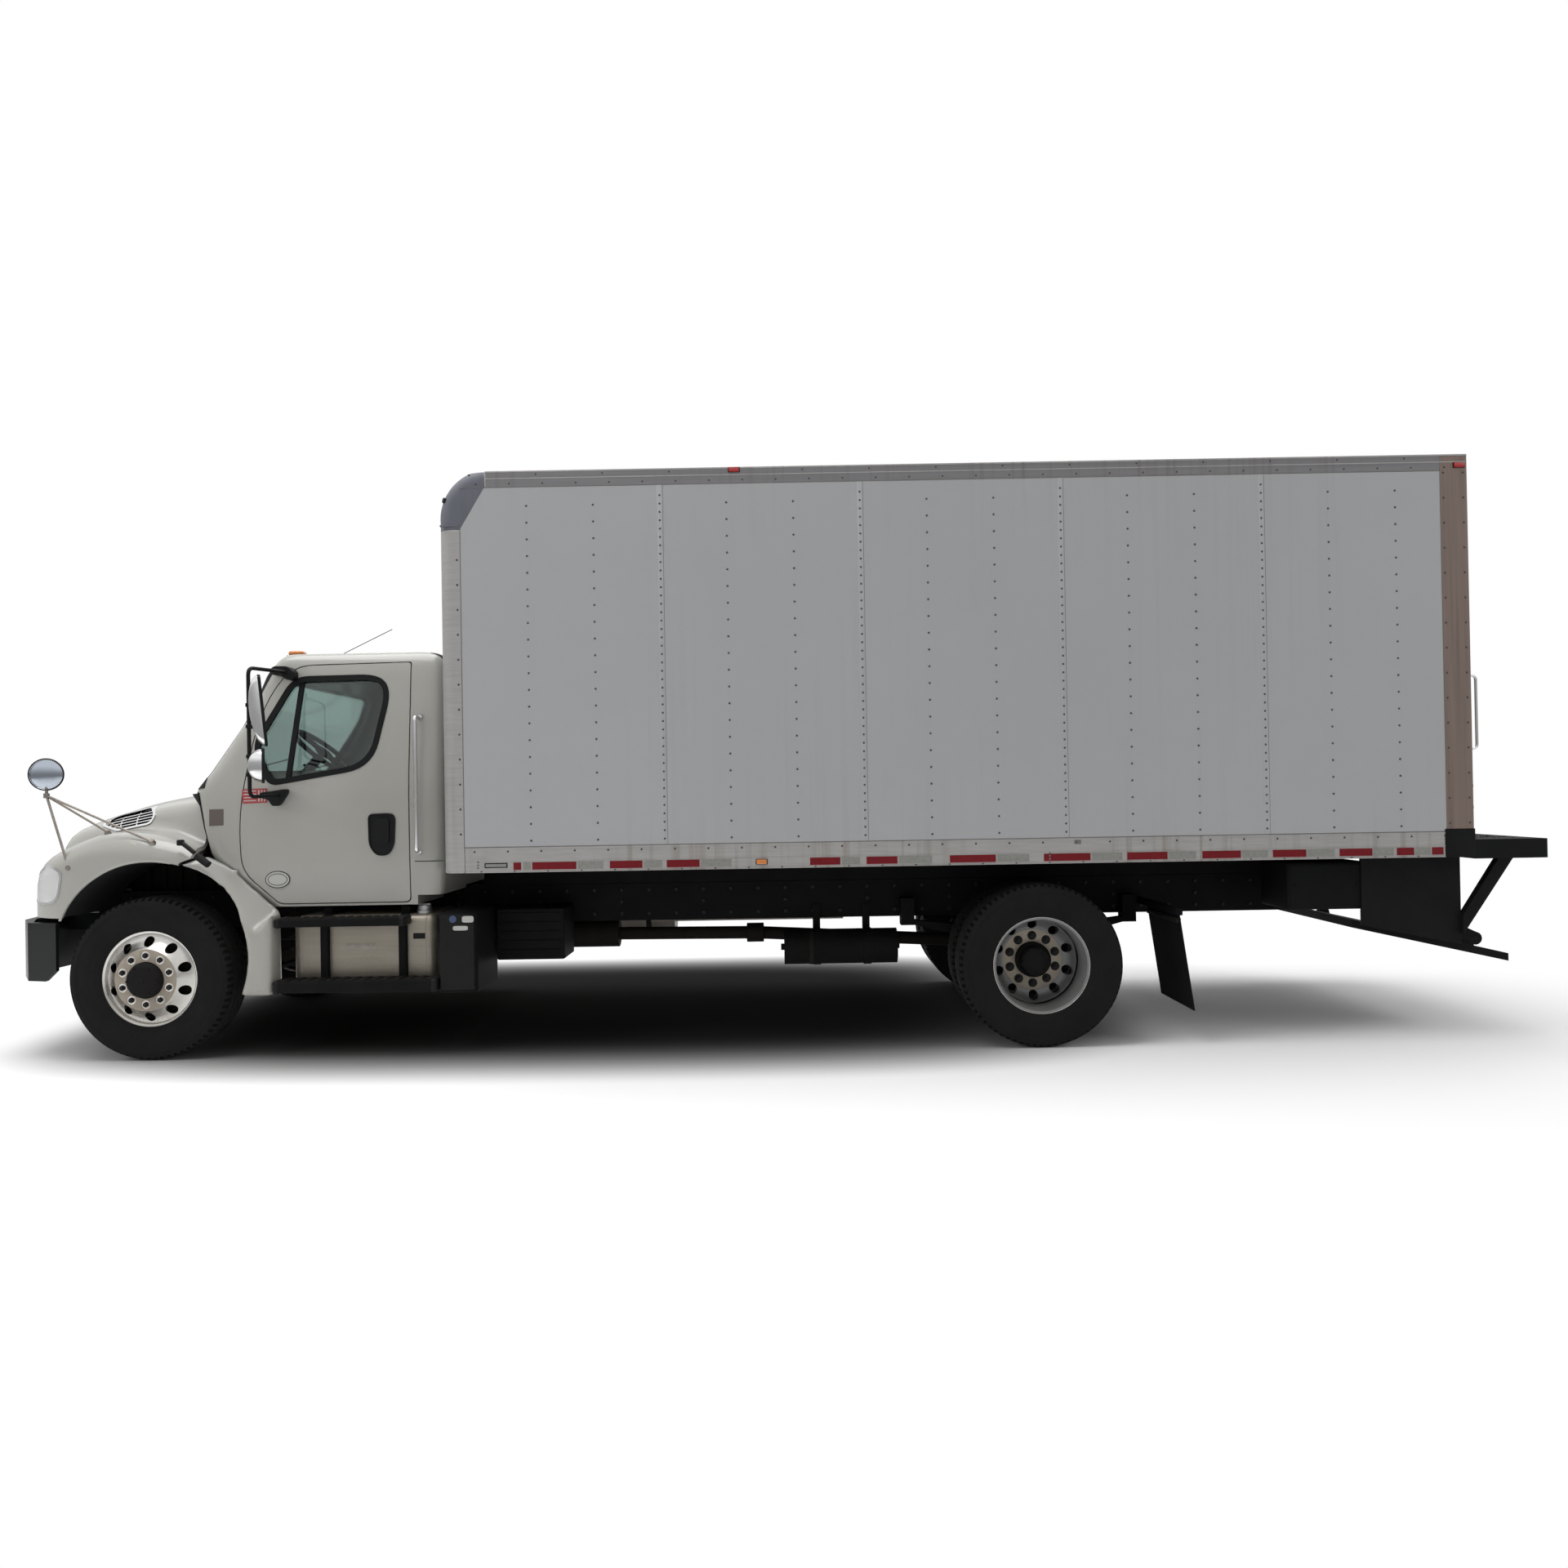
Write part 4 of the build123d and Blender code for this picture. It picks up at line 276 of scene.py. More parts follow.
@dataclass(frozen=True)
class Finish:
    """A surface finish.

    Colour drifts by `drift`, `grain` scales the bump's height, `brushed` stretches the grain along an
    axis, and `dust` and `streaks` are how much dirt lies on it.
    """

    name: str
    slot: str
    colour: Triple
    roughness: float = 0.5
    metallic: float = 0.0
    coat: float = 0.0
    drift: float = 0.06
    broad: float = 1.5
    grain: float = 0.02
    fine: float = 120.0
    brushed: Triple = (1.0, 1.0, 1.0)
    dust: float = 0.0
    dust_top: float = 1.3
    dust_colour: Triple = (0.19, 0.165, 0.13)
    streaks: float = 0.0
    transmission: float = 0.0
    alpha: float = 1.0
    shine: float = 0.5

    def _group(self, tree: bpy.types.NodeTree, key: str, vector: Socket,
               **values: float) -> bpy.types.Node:
        """Place a shared group.

        Args:
            tree: the material's tree.
            key: the group's name in GROUPS.
            vector: the socket with the coordinates.
            values: values for the group's inputs.

        Returns:
            The group's node.
        """
        node = tree.nodes.new("ShaderNodeGroup")
        node.node_tree = GROUPS[key]
        tree.links.new(vector, node.inputs["Vector"])
        for label, value in values.items():
            node.inputs[label].default_value = value
        return node

    def _blend(self, tree: bpy.types.NodeTree, factor: Socket, below: Socket | Triple,
               above: Socket | Triple) -> Socket:
        """Mix two colours.

        Args:
            tree: the material's tree.
            factor: the socket with the second colour's share.
            below: the first colour, as a socket or a triple.
            above: the second colour, likewise.

        Returns:
            The result's socket.
        """
        node = tree.nodes.new("ShaderNodeMix")
        node.data_type = "RGBA"
        tree.links.new(factor, node.inputs["Factor"])
        for label, value in (("A", below), ("B", above)):
            socket = next(s for s in node.inputs if s.name == label and s.type == "RGBA")
            if isinstance(value, bpy.types.NodeSocket):
                tree.links.new(value, socket)
            else:
                socket.default_value = (*value, 1.0)
        return next(s for s in node.outputs if s.type == "RGBA")

    def material(self) -> bpy.types.Material:
        """Build the finish's material, unless it is there already.

        Returns:
            The material.
        """
        made = bpy.data.materials.get(self.name)
        if made:
            return made
        made = bpy.data.materials.new(self.name)
        made.use_nodes = True
        tree = made.node_tree
        shader = tree.nodes["Principled BSDF"]
        vector = tree.nodes.new("ShaderNodeTexCoord").outputs["Object"]
        grain_vector = stretched(tree, vector, self.brushed) if self.brushed != (1.0, 1.0, 1.0) else vector
        grain = self._group(tree, "grain", grain_vector, Broad=self.broad, Fine=self.fine)
        darker = tuple(c * (1.0 - self.drift) for c in self.colour)
        lighter = tuple(min(1.0, c * (1.0 + self.drift)) for c in self.colour)
        colour = self._blend(tree, grain.outputs["Drift"], darker, lighter)
        rough = math_node(tree, "MULTIPLY_ADD", grain.outputs["Drift"], ROUGH_SPREAD)
        rough.node.inputs[2].default_value = self.roughness - ROUGH_SPREAD / 2
        if self.dust:
            dust = self._group(tree, "dust", vector, Top=self.dust_top, Amount=self.dust)
            colour = self._blend(tree, dust.outputs["Mask"], colour, self.dust_colour)
            rough = math_node(tree, "MAXIMUM", rough, dust.outputs["Mask"])
        if self.streaks:
            runs = self._group(tree, "streaks", vector, Amount=self.streaks)
            soiled = tuple(c * f for c, f in zip(self.colour, SOIL_TINT))
            colour = self._blend(tree, runs.outputs["Mask"], colour, soiled)
        tree.links.new(colour, shader.inputs["Base Color"])
        tree.links.new(rough, shader.inputs["Roughness"])
        if self.grain:
            bump = tree.nodes.new("ShaderNodeBump")
            bump.inputs["Strength"].default_value = BUMP_STRENGTH
            bump.inputs["Distance"].default_value = self.grain * GRAIN_HEIGHT
            tree.links.new(grain.outputs["Height"], bump.inputs["Height"])
            tree.links.new(bump.outputs["Normal"], shader.inputs["Normal"])
        shader.inputs["Metallic"].default_value = self.metallic
        shader.inputs["Coat Weight"].default_value = self.coat
        shader.inputs["Coat Roughness"].default_value = COAT_ROUGHNESS
        shader.inputs["Transmission Weight"].default_value = self.transmission
        shader.inputs["Alpha"].default_value = self.alpha
        shader.inputs["Specular IOR Level"].default_value = self.shine
        made.diffuse_color = (*self.colour, self.alpha)
        return made


class Skin:
    """The truck's finishes."""

    cab_paint = Finish("cab_paint_cream", "cab_paint", (0.310, 0.306, 0.281), 0.34, coat=0.6, drift=0.03,
                       broad=0.8, grain=0.004, fine=400.0, dust=0.35, dust_top=1.15, streaks=0.05)
    tyre = Finish("tyre_rubber", "tyre", (0.0095, 0.0095, 0.0100), 0.8, drift=0.35, broad=7.0, grain=0.02,
                  fine=260.0, dust=0.14, dust_top=2.2, dust_colour=(0.035, 0.031, 0.027), shine=0.06)
    polished = Finish("polished_alloy", "polished_wheel", (0.56, 0.55, 0.53), 0.24, 1.0, drift=0.12,
                      broad=14.0, grain=0.0, dust=0.4, dust_top=1.0, dust_colour=(0.22, 0.18, 0.13))
    grey_rim = Finish("grey_rim_paint", "grey_wheel", (0.205, 0.21, 0.215), 0.4, 0.3, coat=0.1, drift=0.15,
                      broad=9.0, dust=0.35, dust_top=1.0, dust_colour=(0.10, 0.085, 0.065), shine=0.3)
    stud_face = Finish("stud_face_cream", "grey_wheel", (0.33, 0.292, 0.24), 0.6, 0.1, drift=0.22,
                       broad=20.0, dust=0.4, dust_top=1.2, dust_colour=(0.13, 0.105, 0.08), shine=0.3)
    # Painted light: a lighter copy of the cream stud face, lifting the shade deep in the rear dishes.
    stud_face_deep = Finish("stud_face_pale", "grey_wheel", (0.50, 0.445, 0.36), 0.6, 0.1, drift=0.2,
                            broad=20.0, dust=0.4, dust_top=1.2, dust_colour=(0.2, 0.165, 0.12), shine=0.3)
    chassis = Finish("chassis_enamel", "chassis_black", (0.0062, 0.0066, 0.0072), 0.62, drift=0.35,
                     broad=5.0, grain=0.03, fine=90.0, dust=0.12, dust_top=1.6,
                     dust_colour=(0.03, 0.026, 0.021), shine=0.05)
    iron = Finish("cast_iron_dark", "cast_iron", (0.013, 0.0125, 0.0120), 0.75, 0.2, drift=0.5, broad=9.0,
                  grain=0.06, fine=70.0, dust=0.25, dust_top=1.4, dust_colour=(0.042, 0.032, 0.022),
                  shine=0.10)
    trim_black = Finish("black_trim", "black_plastic", (0.0078, 0.0082, 0.0088), 0.5, drift=0.15, broad=6.0,
                        grain=0.02, fine=500.0, dust=0.1, dust_top=1.5, dust_colour=(0.035, 0.03, 0.026),
                        shine=0.12)
    bumper = Finish("bumper_black", "bumper_paint", (0.0065, 0.0078, 0.0080), 0.4, coat=0.12, drift=0.2,
                    broad=4.0, grain=0.004, fine=200.0, dust=0.15, dust_top=1.1,
                    dust_colour=(0.04, 0.035, 0.03), shine=0.14)
    glass = Finish("tinted_glass", "clear_glass", (0.43, 0.52, 0.495), 0.06, drift=0.02, grain=0.0,
                   transmission=1.0, alpha=1.0)
    lens = Finish("clear_lens", "lamp_lens", (0.72, 0.73, 0.72), 0.16, coat=0.5, drift=0.03, grain=0.0,
                  transmission=0.35)
    # Painted shade: a darker copy of the silver mirror finish, for the hood mirrors' glass.
    dark_mirror = Finish("mirror_shaded", "chrome", (0.40, 0.44, 0.50), 0.05, 1.0, drift=0.01, grain=0.0)
    top_rail = Finish("top_rail_dull", "bright_aluminium", (0.175, 0.173, 0.178), 0.5, 0.3, drift=0.2,
                      broad=2.0, grain=0.01, fine=60.0, brushed=(0.4, 14.0, 14.0), streaks=0.35)
    mirror = Finish("mirror_silver", "chrome", (0.86, 0.87, 0.88), 0.04, 1.0, drift=0.01, grain=0.0)
    chrome = Finish("bright_chrome", "chrome", (0.74, 0.74, 0.75), 0.1, 1.0, drift=0.05, broad=10.0,
                    grain=0.0003)
    dull_chrome = Finish("weathered_chrome", "chrome", (0.24, 0.215, 0.19), 0.42, 0.8, drift=0.35,
                         broad=30.0)
    box_skin = Finish("box_sheet", "box_skin", (0.335, 0.339, 0.345), 0.5, 0.0, coat=0.12, drift=0.04,
                      broad=0.9, grain=0.25, fine=3.0, streaks=0.06)
    bright = Finish("extruded_aluminium", "bright_aluminium", (0.33, 0.322, 0.312), 0.45, 0.4, drift=0.18,
                    broad=5.0, grain=0.01, fine=60.0, brushed=(1.0, 1.0, 12.0), streaks=0.55)
    post = Finish("brushed_post", "galvanised", (0.185, 0.140, 0.120), 0.45, 0.4, drift=0.3, broad=3.0,
                  grain=0.01, fine=50.0, brushed=(14.0, 14.0, 0.4), streaks=0.5)
    cap = Finish("cap_casting", "cap_grey", (0.112, 0.117, 0.138), 0.55, drift=0.1, broad=8.0, grain=0.02,
                 fine=240.0, streaks=0.35, shine=0.3)
    roof = Finish("roof_sheet", "roof_skin", (0.36, 0.368, 0.372), 0.5, 0.3, drift=0.1, broad=1.0,
                  grain=0.02, fine=3.0)
    tank = Finish("tank_alloy", "bright_aluminium", (0.30, 0.272, 0.225), 0.42, 0.5, drift=0.25, broad=3.0,
                  grain=0.006, fine=120.0, brushed=(0.5, 3.0, 8.0), dust=0.4, dust_top=1.1,
                  dust_colour=(0.085, 0.07, 0.05))
    steel = Finish("exhaust_steel", "steel_tank", (0.24, 0.22, 0.20), 0.5, 0.9, drift=0.35, broad=8.0,
                   dust=0.5)
    rubber = Finish("flap_rubber", "rubber", (0.0055, 0.0056, 0.0062), 0.75, drift=0.2, broad=4.0,
                    grain=0.02, dust=0.12, dust_top=0.8, dust_colour=(0.03, 0.026, 0.022), shine=0.05)
    fabric = Finish("seat_cloth", "seat_fabric", (0.02, 0.021, 0.024), 0.9, drift=0.25, broad=300.0,
                    grain=0.06, fine=900.0, shine=0.1)
    dash = Finish("dash_grained", "dash_plastic", (0.022, 0.022, 0.024), 0.7, drift=0.1, grain=0.03,
                  fine=700.0, shine=0.25)
    door_white = Finish("roll_door_white", "door_white", (0.55, 0.55, 0.53), 0.5, drift=0.06, streaks=0.3)
    deck = Finish("deck_steel", "galvanised", (0.0085, 0.009, 0.0095), 0.6, 0.2, drift=0.4, broad=6.0,
                  grain=0.05, fine=60.0, dust=0.12, dust_top=2.0, dust_colour=(0.035, 0.03, 0.025),
                  shine=0.06)
    planks = Finish("floor_planks", "floor_wood", (0.20, 0.13, 0.075), 0.7, drift=0.4, broad=4.0,
                    brushed=(0.6, 14.0, 14.0), grain=0.04, fine=12.0)
    red = Finish("reflective_red", "box_skin", (0.140, 0.008, 0.012), 0.5, drift=0.25, broad=40.0,
                 shine=0.15)
    silver = Finish("reflective_silver", "box_skin", (0.205, 0.205, 0.190), 0.5, 0.1, drift=0.3,
                    broad=50.0)
    red_mark = Finish("red_mark", "cab_paint", (0.30, 0.035, 0.04), 0.5, drift=0.1, broad=30.0)
    nut = Finish("nut_iron", "cast_iron", (0.012, 0.011, 0.0105), 0.6, 0.2, drift=0.4, broad=60.0,
                 shine=0.3)
    hub_black = Finish("hub_black", "cast_iron", (0.0065, 0.0065, 0.007), 0.65, drift=0.4, broad=14.0,
                       grain=0.03, fine=140.0, dust=0.25, dust_top=1.6, dust_colour=(0.03, 0.025, 0.022),
                       shine=0.08)
    rivet = Finish("rivet_dull", "bright_aluminium", (0.055, 0.055, 0.057), 0.6, 0.2, drift=0.3, broad=50.0)
    rivet_bright = Finish("rivet_dark", "bright_aluminium", (0.045, 0.042, 0.04), 0.55, 0.4, drift=0.4,
                          broad=50.0)
    seam = Finish("seam_dirt", "bright_aluminium", (0.13, 0.125, 0.12), 0.7, drift=0.2, broad=3.0)
    galvanised = Finish("galvanised_zinc", "galvanised", (0.38, 0.38, 0.38), 0.42, 0.8, drift=0.3,
                        broad=25.0)
    amber = Finish("amber_lens", "lamp_lens", (0.55, 0.17, 0.02), 0.25, coat=0.6, drift=0.15, broad=40.0)
    red_lens = Finish("red_lens", "lamp_lens", (0.35, 0.012, 0.012), 0.22, coat=0.6, drift=0.12, broad=40.0)
    white_mark = Finish("white_mark", "cab_paint", (0.40, 0.40, 0.38), 0.45, drift=0.04)
    brown_mark = Finish("brown_mark", "cab_paint", (0.085, 0.068, 0.058), 0.5, drift=0.15, broad=30.0)
    blue_mark = Finish("blue_mark", "cab_paint", (0.03, 0.055, 0.12), 0.5, drift=0.2, broad=30.0)
    cream_lens = Finish("cream_lens", "lamp_lens", (0.55, 0.5, 0.38), 0.25, coat=0.5, drift=0.08,
                        broad=30.0)


# ---------------------------------------------------------------- mesh helpers
def ring_from(bm: BMesh, points: list[Vector]) -> list[BMEdge]:
    """Join points into a closed loop of edges."""
    verts = [bm.verts.new(p) for p in points]
    return [bm.edges.new((verts[i - 1], verts[i])) for i in range(len(verts))]


def loft(bm: BMesh, sections: list[list[Vector]], caps: bool = True) -> None:
    """Skin a row of closed sections.

    Args:
        bm: the mesh that the skin joins.
        sections: closed outlines with the same number of points.
        caps: whether the first and last sections are closed with a face.
    """
    loops = [ring_from(bm, points) for points in sections]
    for near, far in zip(loops, loops[1:]):
        bmesh.ops.bridge_loops(bm, edges=near + far)
    if caps:
        for loop in (loops[0], loops[-1]):
            bmesh.ops.contextual_create(bm, geom=loop)
    bmesh.ops.recalc_face_normals(bm, faces=bm.faces[:])


def prism(bm: BMesh, outline: list[Pair], low: float, high: float, axis: int = 1) -> list[BMVert]:
    """Extrude a flat outline along an axis.

    Args:
        bm: the mesh that the prism joins.
        outline: points on the two other axes, in X, Y, Z order.
        low: where the prism starts along the axis.
        high: where it ends.
        axis: 0, 1 or 2.

    Returns:
        The prism's vertices.
    """
    def place(a: float, b: float) -> Vector:
        """Place one point of the outline at the prism's start.

        Args:
            a: its place on the first of the two other axes.
            b: its place on the second.

        Returns:
            The point.
        """
        point = [a, b]
        point.insert(axis, low)
        return Vector(point)

    face = bm.faces.new([bm.verts.new(place(a, b)) for a, b in outline])
    push = Vector((0.0, 0.0, 0.0))
    push[axis] = high - low
    grown = bmesh.ops.extrude_face_region(bm, geom=[face], use_keep_orig=True)
    moved = [v for v in grown["geom"] if isinstance(v, BMVert)]
    bmesh.ops.translate(bm, verts=moved, vec=push)
    made = list(face.verts) + moved
    bmesh.ops.recalc_face_normals(bm, faces=list({f for v in made for f in v.link_faces}))
    return made


def block(bm: BMesh, low: Triple, high: Triple, edge: float = 0.0, segments: int = 2) -> list[BMVert]:
    """Add a box between two corners, with its edges rounded.

    Args:
        bm: the mesh that the box joins.
        low: one corner.
        high: the opposite corner.
        edge: how wide the rounding is.
        segments: faces across the rounding.

    Returns:
        The box's vertices, as they were before the rounding.
    """
    verts = bmesh.ops.create_cube(bm, size=1.0)["verts"]
    size = [abs(h - l) for l, h in zip(low, high)]
    bmesh.ops.scale(bm, verts=verts, vec=size)
    bmesh.ops.translate(bm, verts=verts, vec=[(h + l) / 2 for l, h in zip(low, high)])
    if edge:
        edges = list({e for v in verts for e in v.link_edges})
        bmesh.ops.bevel(bm, geom=edges, affect="EDGES", offset=edge, segments=segments, profile=0.5,
                        material=-1)
    return verts


def axle_block(bm: BMesh, along: Pair, across: Pair, up: Pair, edge: float = 0.0,
               segments: int = 2) -> list[BMVert]:
    """Add a box by its limits.

    Args:
        bm: the mesh that the box joins.
        along: its X limits, from the front axle.
        across: its Y limits.
        up: its heights.
        edge: how wide the edges' rounding is.
        segments: faces across the rounding.

    Returns:
        The box's vertices, as they were before the rounding.
    """
    low, high = zip((XF + along[0], XF + along[1]), across, up)
    return block(bm, low, high, edge, segments)


def disc(bm: BMesh, centre: Triple, axis: Triple, radius: float, depth: float, sides: int = 24,
         top: float | None = None, edge: float = 0.0) -> list[BMVert]:
    """Add a round disc or cone.

    Args:
        bm: the mesh that the disc joins.
        centre: the middle of its base.
        axis: the direction in which it stands.
        radius: its base's radius.
        depth: its height.
        sides: faces round it.
        top: its top's radius, where that isn't the base's.
        edge: the rounding of its rims.

    Returns:
        The disc's vertices.
    """
    turn = Vector((0.0, 0.0, 1.0)).rotation_difference(Vector(axis)).to_matrix().to_4x4()
    shift = Matrix.Translation(Vector(centre) + Vector(axis).normalized() * depth / 2)
    made = bmesh.ops.create_cone(bm, cap_ends=True, segments=sides, radius1=radius,
                                 radius2=radius if top is None else top, depth=depth,
                                 matrix=shift @ turn)["verts"]
    if edge:
        rim = [e for e in {e for v in made for e in v.link_edges} if len(e.link_faces) == 2
               and e.calc_face_angle(0.0) > 1.0]
        bmesh.ops.bevel(bm, geom=rim, affect="EDGES", offset=edge, segments=2, profile=0.5, material=-1)
    return made


def lathe(bm: BMesh, profile: list[Pair], centre: Triple, steps: int = 64, closed: bool = True) -> None:
    """Spin a profile round a wheel's axle line.

    Args:
        bm: the mesh that the shape joins.
        profile: points of (along Y, radius).
        centre: the middle of the axle line.
        steps: faces round the shape.
        closed: whether the profile's ends are joined.
    """
    verts = [bm.verts.new((centre[0], centre[1] + along, centre[2] + radius)) for along, radius in profile]
    edges = [bm.edges.new(pair) for pair in zip(verts, verts[1:])]
    if closed:
        edges.append(bm.edges.new((verts[-1], verts[0])))
    bmesh.ops.spin(bm, geom=verts + edges, cent=centre, axis=(0.0, 1.0, 0.0), angle=math.tau, steps=steps,
                   use_merge=True)
    bmesh.ops.recalc_face_normals(bm, faces=bm.faces[:])


def tube(bm: BMesh, path: list[Triple], radius: float, sides: int = 10, bend: float = 0.0) -> None:
    """Sweep a round bar along a path.

    Args:
        bm: the mesh that the bar joins.
        path: the bar's corners.
        radius: the bar's radius.
        sides: faces round the bar.
        bend: radius of the bends at the corners.
    """
    points = [Vector(path[0])]
    for before, corner, after in zip(path, path[1:], path[2:]):
        corner = Vector(corner)
        back = (Vector(before) - corner).normalized() * bend
        on = (Vector(after) - corner).normalized() * bend
        if bend:
            for step in range(7):
                t = step / 6
                points.append(corner + back * (1 - t) ** 2 + on * t ** 2)
        else:
            points.append(corner)
    points.append(Vector(path[-1]))
    sections = []
    normal = (points[1] - points[0]).orthogonal().normalized()
    for index, point in enumerate(points):
        ahead = points[min(index + 1, len(points) - 1)]
        behind = points[max(index - 1, 0)]
        along = (ahead - behind).normalized()
        normal = (normal - along * normal.dot(along)).normalized()
        other = along.cross(normal)
        sections.append([point + (normal * math.cos(a) + other * math.sin(a)) * radius
                         for a in (math.tau * k / sides for k in range(sides))])
    fresh = bmesh.new()
    loft(fresh, sections)
    absorb(bm, fresh)


def absorb(bm: BMesh, other: BMesh) -> None:
    """Move one mesh's geometry into another.

    Args:
        bm: the mesh that gets it.
        other: the mesh that gives it, which is freed.
    """
    carrier = bpy.data.meshes.new("carrier")
    other.to_mesh(carrier)
    other.free()
    bm.from_mesh(carrier)
    bpy.data.meshes.remove(carrier)


def shade(mesh: bpy.types.Mesh, angle: float = 32.0) -> None:
    """Shade a mesh smooth, with edges sharper than `angle` degrees kept sharp."""
    mesh.polygons.foreach_set("use_smooth", [True] * len(mesh.polygons))
    mesh.set_sharp_from_angle(angle=math.radians(angle))


def piece(name: str, bm: BMesh, finish: Finish, body: str = "chassis", replaces: tuple[str, ...] = (),
          angle: float = 32.0) -> bpy.types.Object:
    """Make a finished piece of a mesh and hang it on a body.

    Args:
        name: the piece's name.
        bm: its mesh, which is freed.
        finish: its finish.
        body: the CAD body that it rides on.
        replaces: CAD nodes that it stands for.
        angle: edges sharper than this, in degrees, stay sharp.

    Returns:
        The piece's object.
    """
    mesh = bpy.data.meshes.new(name)
    bm.to_mesh(mesh)
    bm.free()
    shade(mesh, angle)
    mesh.materials.append(finish.material())
    made = bpy.data.objects.new(name, mesh)
    bpy.context.scene.collection.objects.link(made)
    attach(made, body)
    if replaces:
        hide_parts(*replaces)
    LOG.info("%s: %d faces on %s", name, len(mesh.polygons), body)
    return made


def cut(target: BMesh, tools: list[tuple[BMesh, str]]) -> BMesh:
    """Cut a closed mesh with other closed meshes.

    Args:
        target: the mesh to cut, which is freed.
        tools: pairs of a cutting mesh, which is freed, and DIFFERENCE, INTERSECT or UNION.

    Returns:
        The cut mesh.
    """
    scene = bpy.context.scene.collection.objects
    holders = []
    for index, bm in enumerate([target] + [tool for tool, _ in tools]):
        mesh = bpy.data.meshes.new(f"cut_{index}")
        bm.to_mesh(mesh)
        bm.free()
        holder = bpy.data.objects.new(f"cut_{index}", mesh)
        scene.link(holder)
        holders.append(holder)
    for holder, (_, kind) in zip(holders[1:], tools):
        modifier = holders[0].modifiers.new("cut", "BOOLEAN")
        modifier.operation = kind
        modifier.solver = "EXACT"
        modifier.object = holder
    graph = bpy.context.evaluated_depsgraph_get()
    graph.update()
    result = bmesh.new()
    result.from_mesh(holders[0].evaluated_get(graph).to_mesh())
    for holder in holders:
        mesh = holder.data
        bpy.data.objects.remove(holder)
        bpy.data.meshes.remove(mesh)
    return result


def sheet(blank: BMesh, outer: BMesh, inner: BMesh, hole: BMesh | None = None) -> BMesh:
    """Keep the part of a blank that lies inside one closed form and outside another.

    Args:
        blank: the mesh to cut.
        outer: the form around the sheet.
        inner: the form inside it.
        hole: a hole through the sheet.

    Returns:
        The sheet. All the meshes given are freed.
    """
    holes = [] if hole is None else [(hole, "DIFFERENCE")]
    return cut(blank, [(outer, "INTERSECT"), (inner, "DIFFERENCE")] + holes)


def softened(node: str, finish: Finish, edge: float, segments: int = 2,
             angle: float = 35.0) -> bpy.types.Object:
    """Stand a copy of a CAD node, with its hard edges rounded, in the node's place.

    Args:
        node: the CAD node.
        finish: the copy's finish.
        edge: how wide the rounding is.
        segments: faces across the rounding.
        angle: edges sharper than this, in degrees, are rounded.

    Returns:
        The copy's object.
    """
    bm = bmesh.new()
    bm.from_mesh(frame["nodes"][node].data)
    bmesh.ops.remove_doubles(bm, verts=bm.verts[:], dist=WELD)
    bmesh.ops.dissolve_limit(bm, angle_limit=math.radians(2.0), verts=bm.verts[:], edges=bm.edges[:])
    made = piece(f"{node}_dressed", bm, finish, frame["nodes"][node]["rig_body"], (node,))
    return rounding(made, edge, segments, angle)


def dress(node: str, finish: Finish) -> None:
    """Give a CAD node its finish.

    Args:
        node: the node's name.
        finish: its finish.
    """
    mesh = frame["nodes"][node].data
    mesh.materials.clear()
    mesh.materials.append(finish.material())


# ---------------------------------------------------------------- shared outlines
def from_axle(points: list[Pair]) -> list[Pair]:
    """Shift side-view points, given from the front axle, into the row frame."""
    return [(XF + x, z) for x, z in points]


def rounded(outline: list[Pair], radius: float | list[float], steps: int = 5) -> list[Pair]:
    """Round the corners of a closed outline.

    Args:
        outline: the corners.
        radius: how far the rounding reaches from each corner, one value or one for each.
        steps: pieces across each corner.

    Returns:
        The rounded outline's points.
    """
    reaches = radius if isinstance(radius, list) else [radius] * len(outline)
    points = []
    for index, corner in enumerate(outline):
        here = Vector((*corner, 0.0))
        before = Vector((*outline[index - 1], 0.0)) - here
        after = Vector((*outline[(index + 1) % len(outline)], 0.0)) - here
        back = before.normalized() * min(reaches[index], before.length * 0.48)
        on = after.normalized() * min(reaches[index], after.length * 0.48)
        for step in range(steps + 1):
            t = step / steps
            point = here + back * (1 - t) ** 2 + on * t ** 2
            points.append((point.x, point.y))
    return points


def grown(outline: list[Pair], amount: float) -> list[Pair]:
    """Offset a closed outline.

    Args:
        outline: the outline's corners.
        amount: how far it moves outwards, or inwards where it is negative.

    Returns:
        The new outline's corners.
    """
    turn = sum(a[0] * b[1] - b[0] * a[1] for a, b in zip(outline, outline[1:] + outline[:1]))
    sign = 1.0 if turn > 0 else -1.0
    result = []
    for index, corner in enumerate(outline):
        here = Vector(corner)
        into = (here - Vector(outline[index - 1])).normalized()
        out = (Vector(outline[(index + 1) % len(outline)]) - here).normalized()
        first = Vector((into.y, -into.x)) * sign
        second = Vector((out.y, -out.x)) * sign
        lean = first + second
        result.append(tuple(here + lean * (amount * 2.0 / max(lean.length_squared, 0.4))))
    return result


def eased(table: list[tuple], place: float) -> list[float]:
    """Read a table of rows, sorted by their first value, along a smooth curve.

    Args:
        table: rows of (place, value, ...).
        place: where to read it.

    Returns:
        The row's other values at that place.
    """
    places = [row[0] for row in table]
    last = len(places) - 1
    start = max(k for k in range(last) if places[k] <= place or k == 0)
    span = places[start + 1] - places[start]
    t = (place - places[start]) / span
    values = []
    for column in range(1, len(table[0])):
        value = [row[column] for row in table]

        def slope(k: int) -> float:
            """The curve's slope at one of the rows."""
            low, high = max(k - 1, 0), min(k + 1, last)
            return (value[high] - value[low]) / (places[high] - places[low])

        values.append((2 * t ** 3 - 3 * t ** 2 + 1) * value[start]
                      + (t ** 3 - 2 * t ** 2 + t) * span * slope(start)
                      + (3 * t ** 2 - 2 * t ** 3) * value[start + 1]
                      + (t ** 3 - t ** 2) * span * slope(start + 1))
    return values


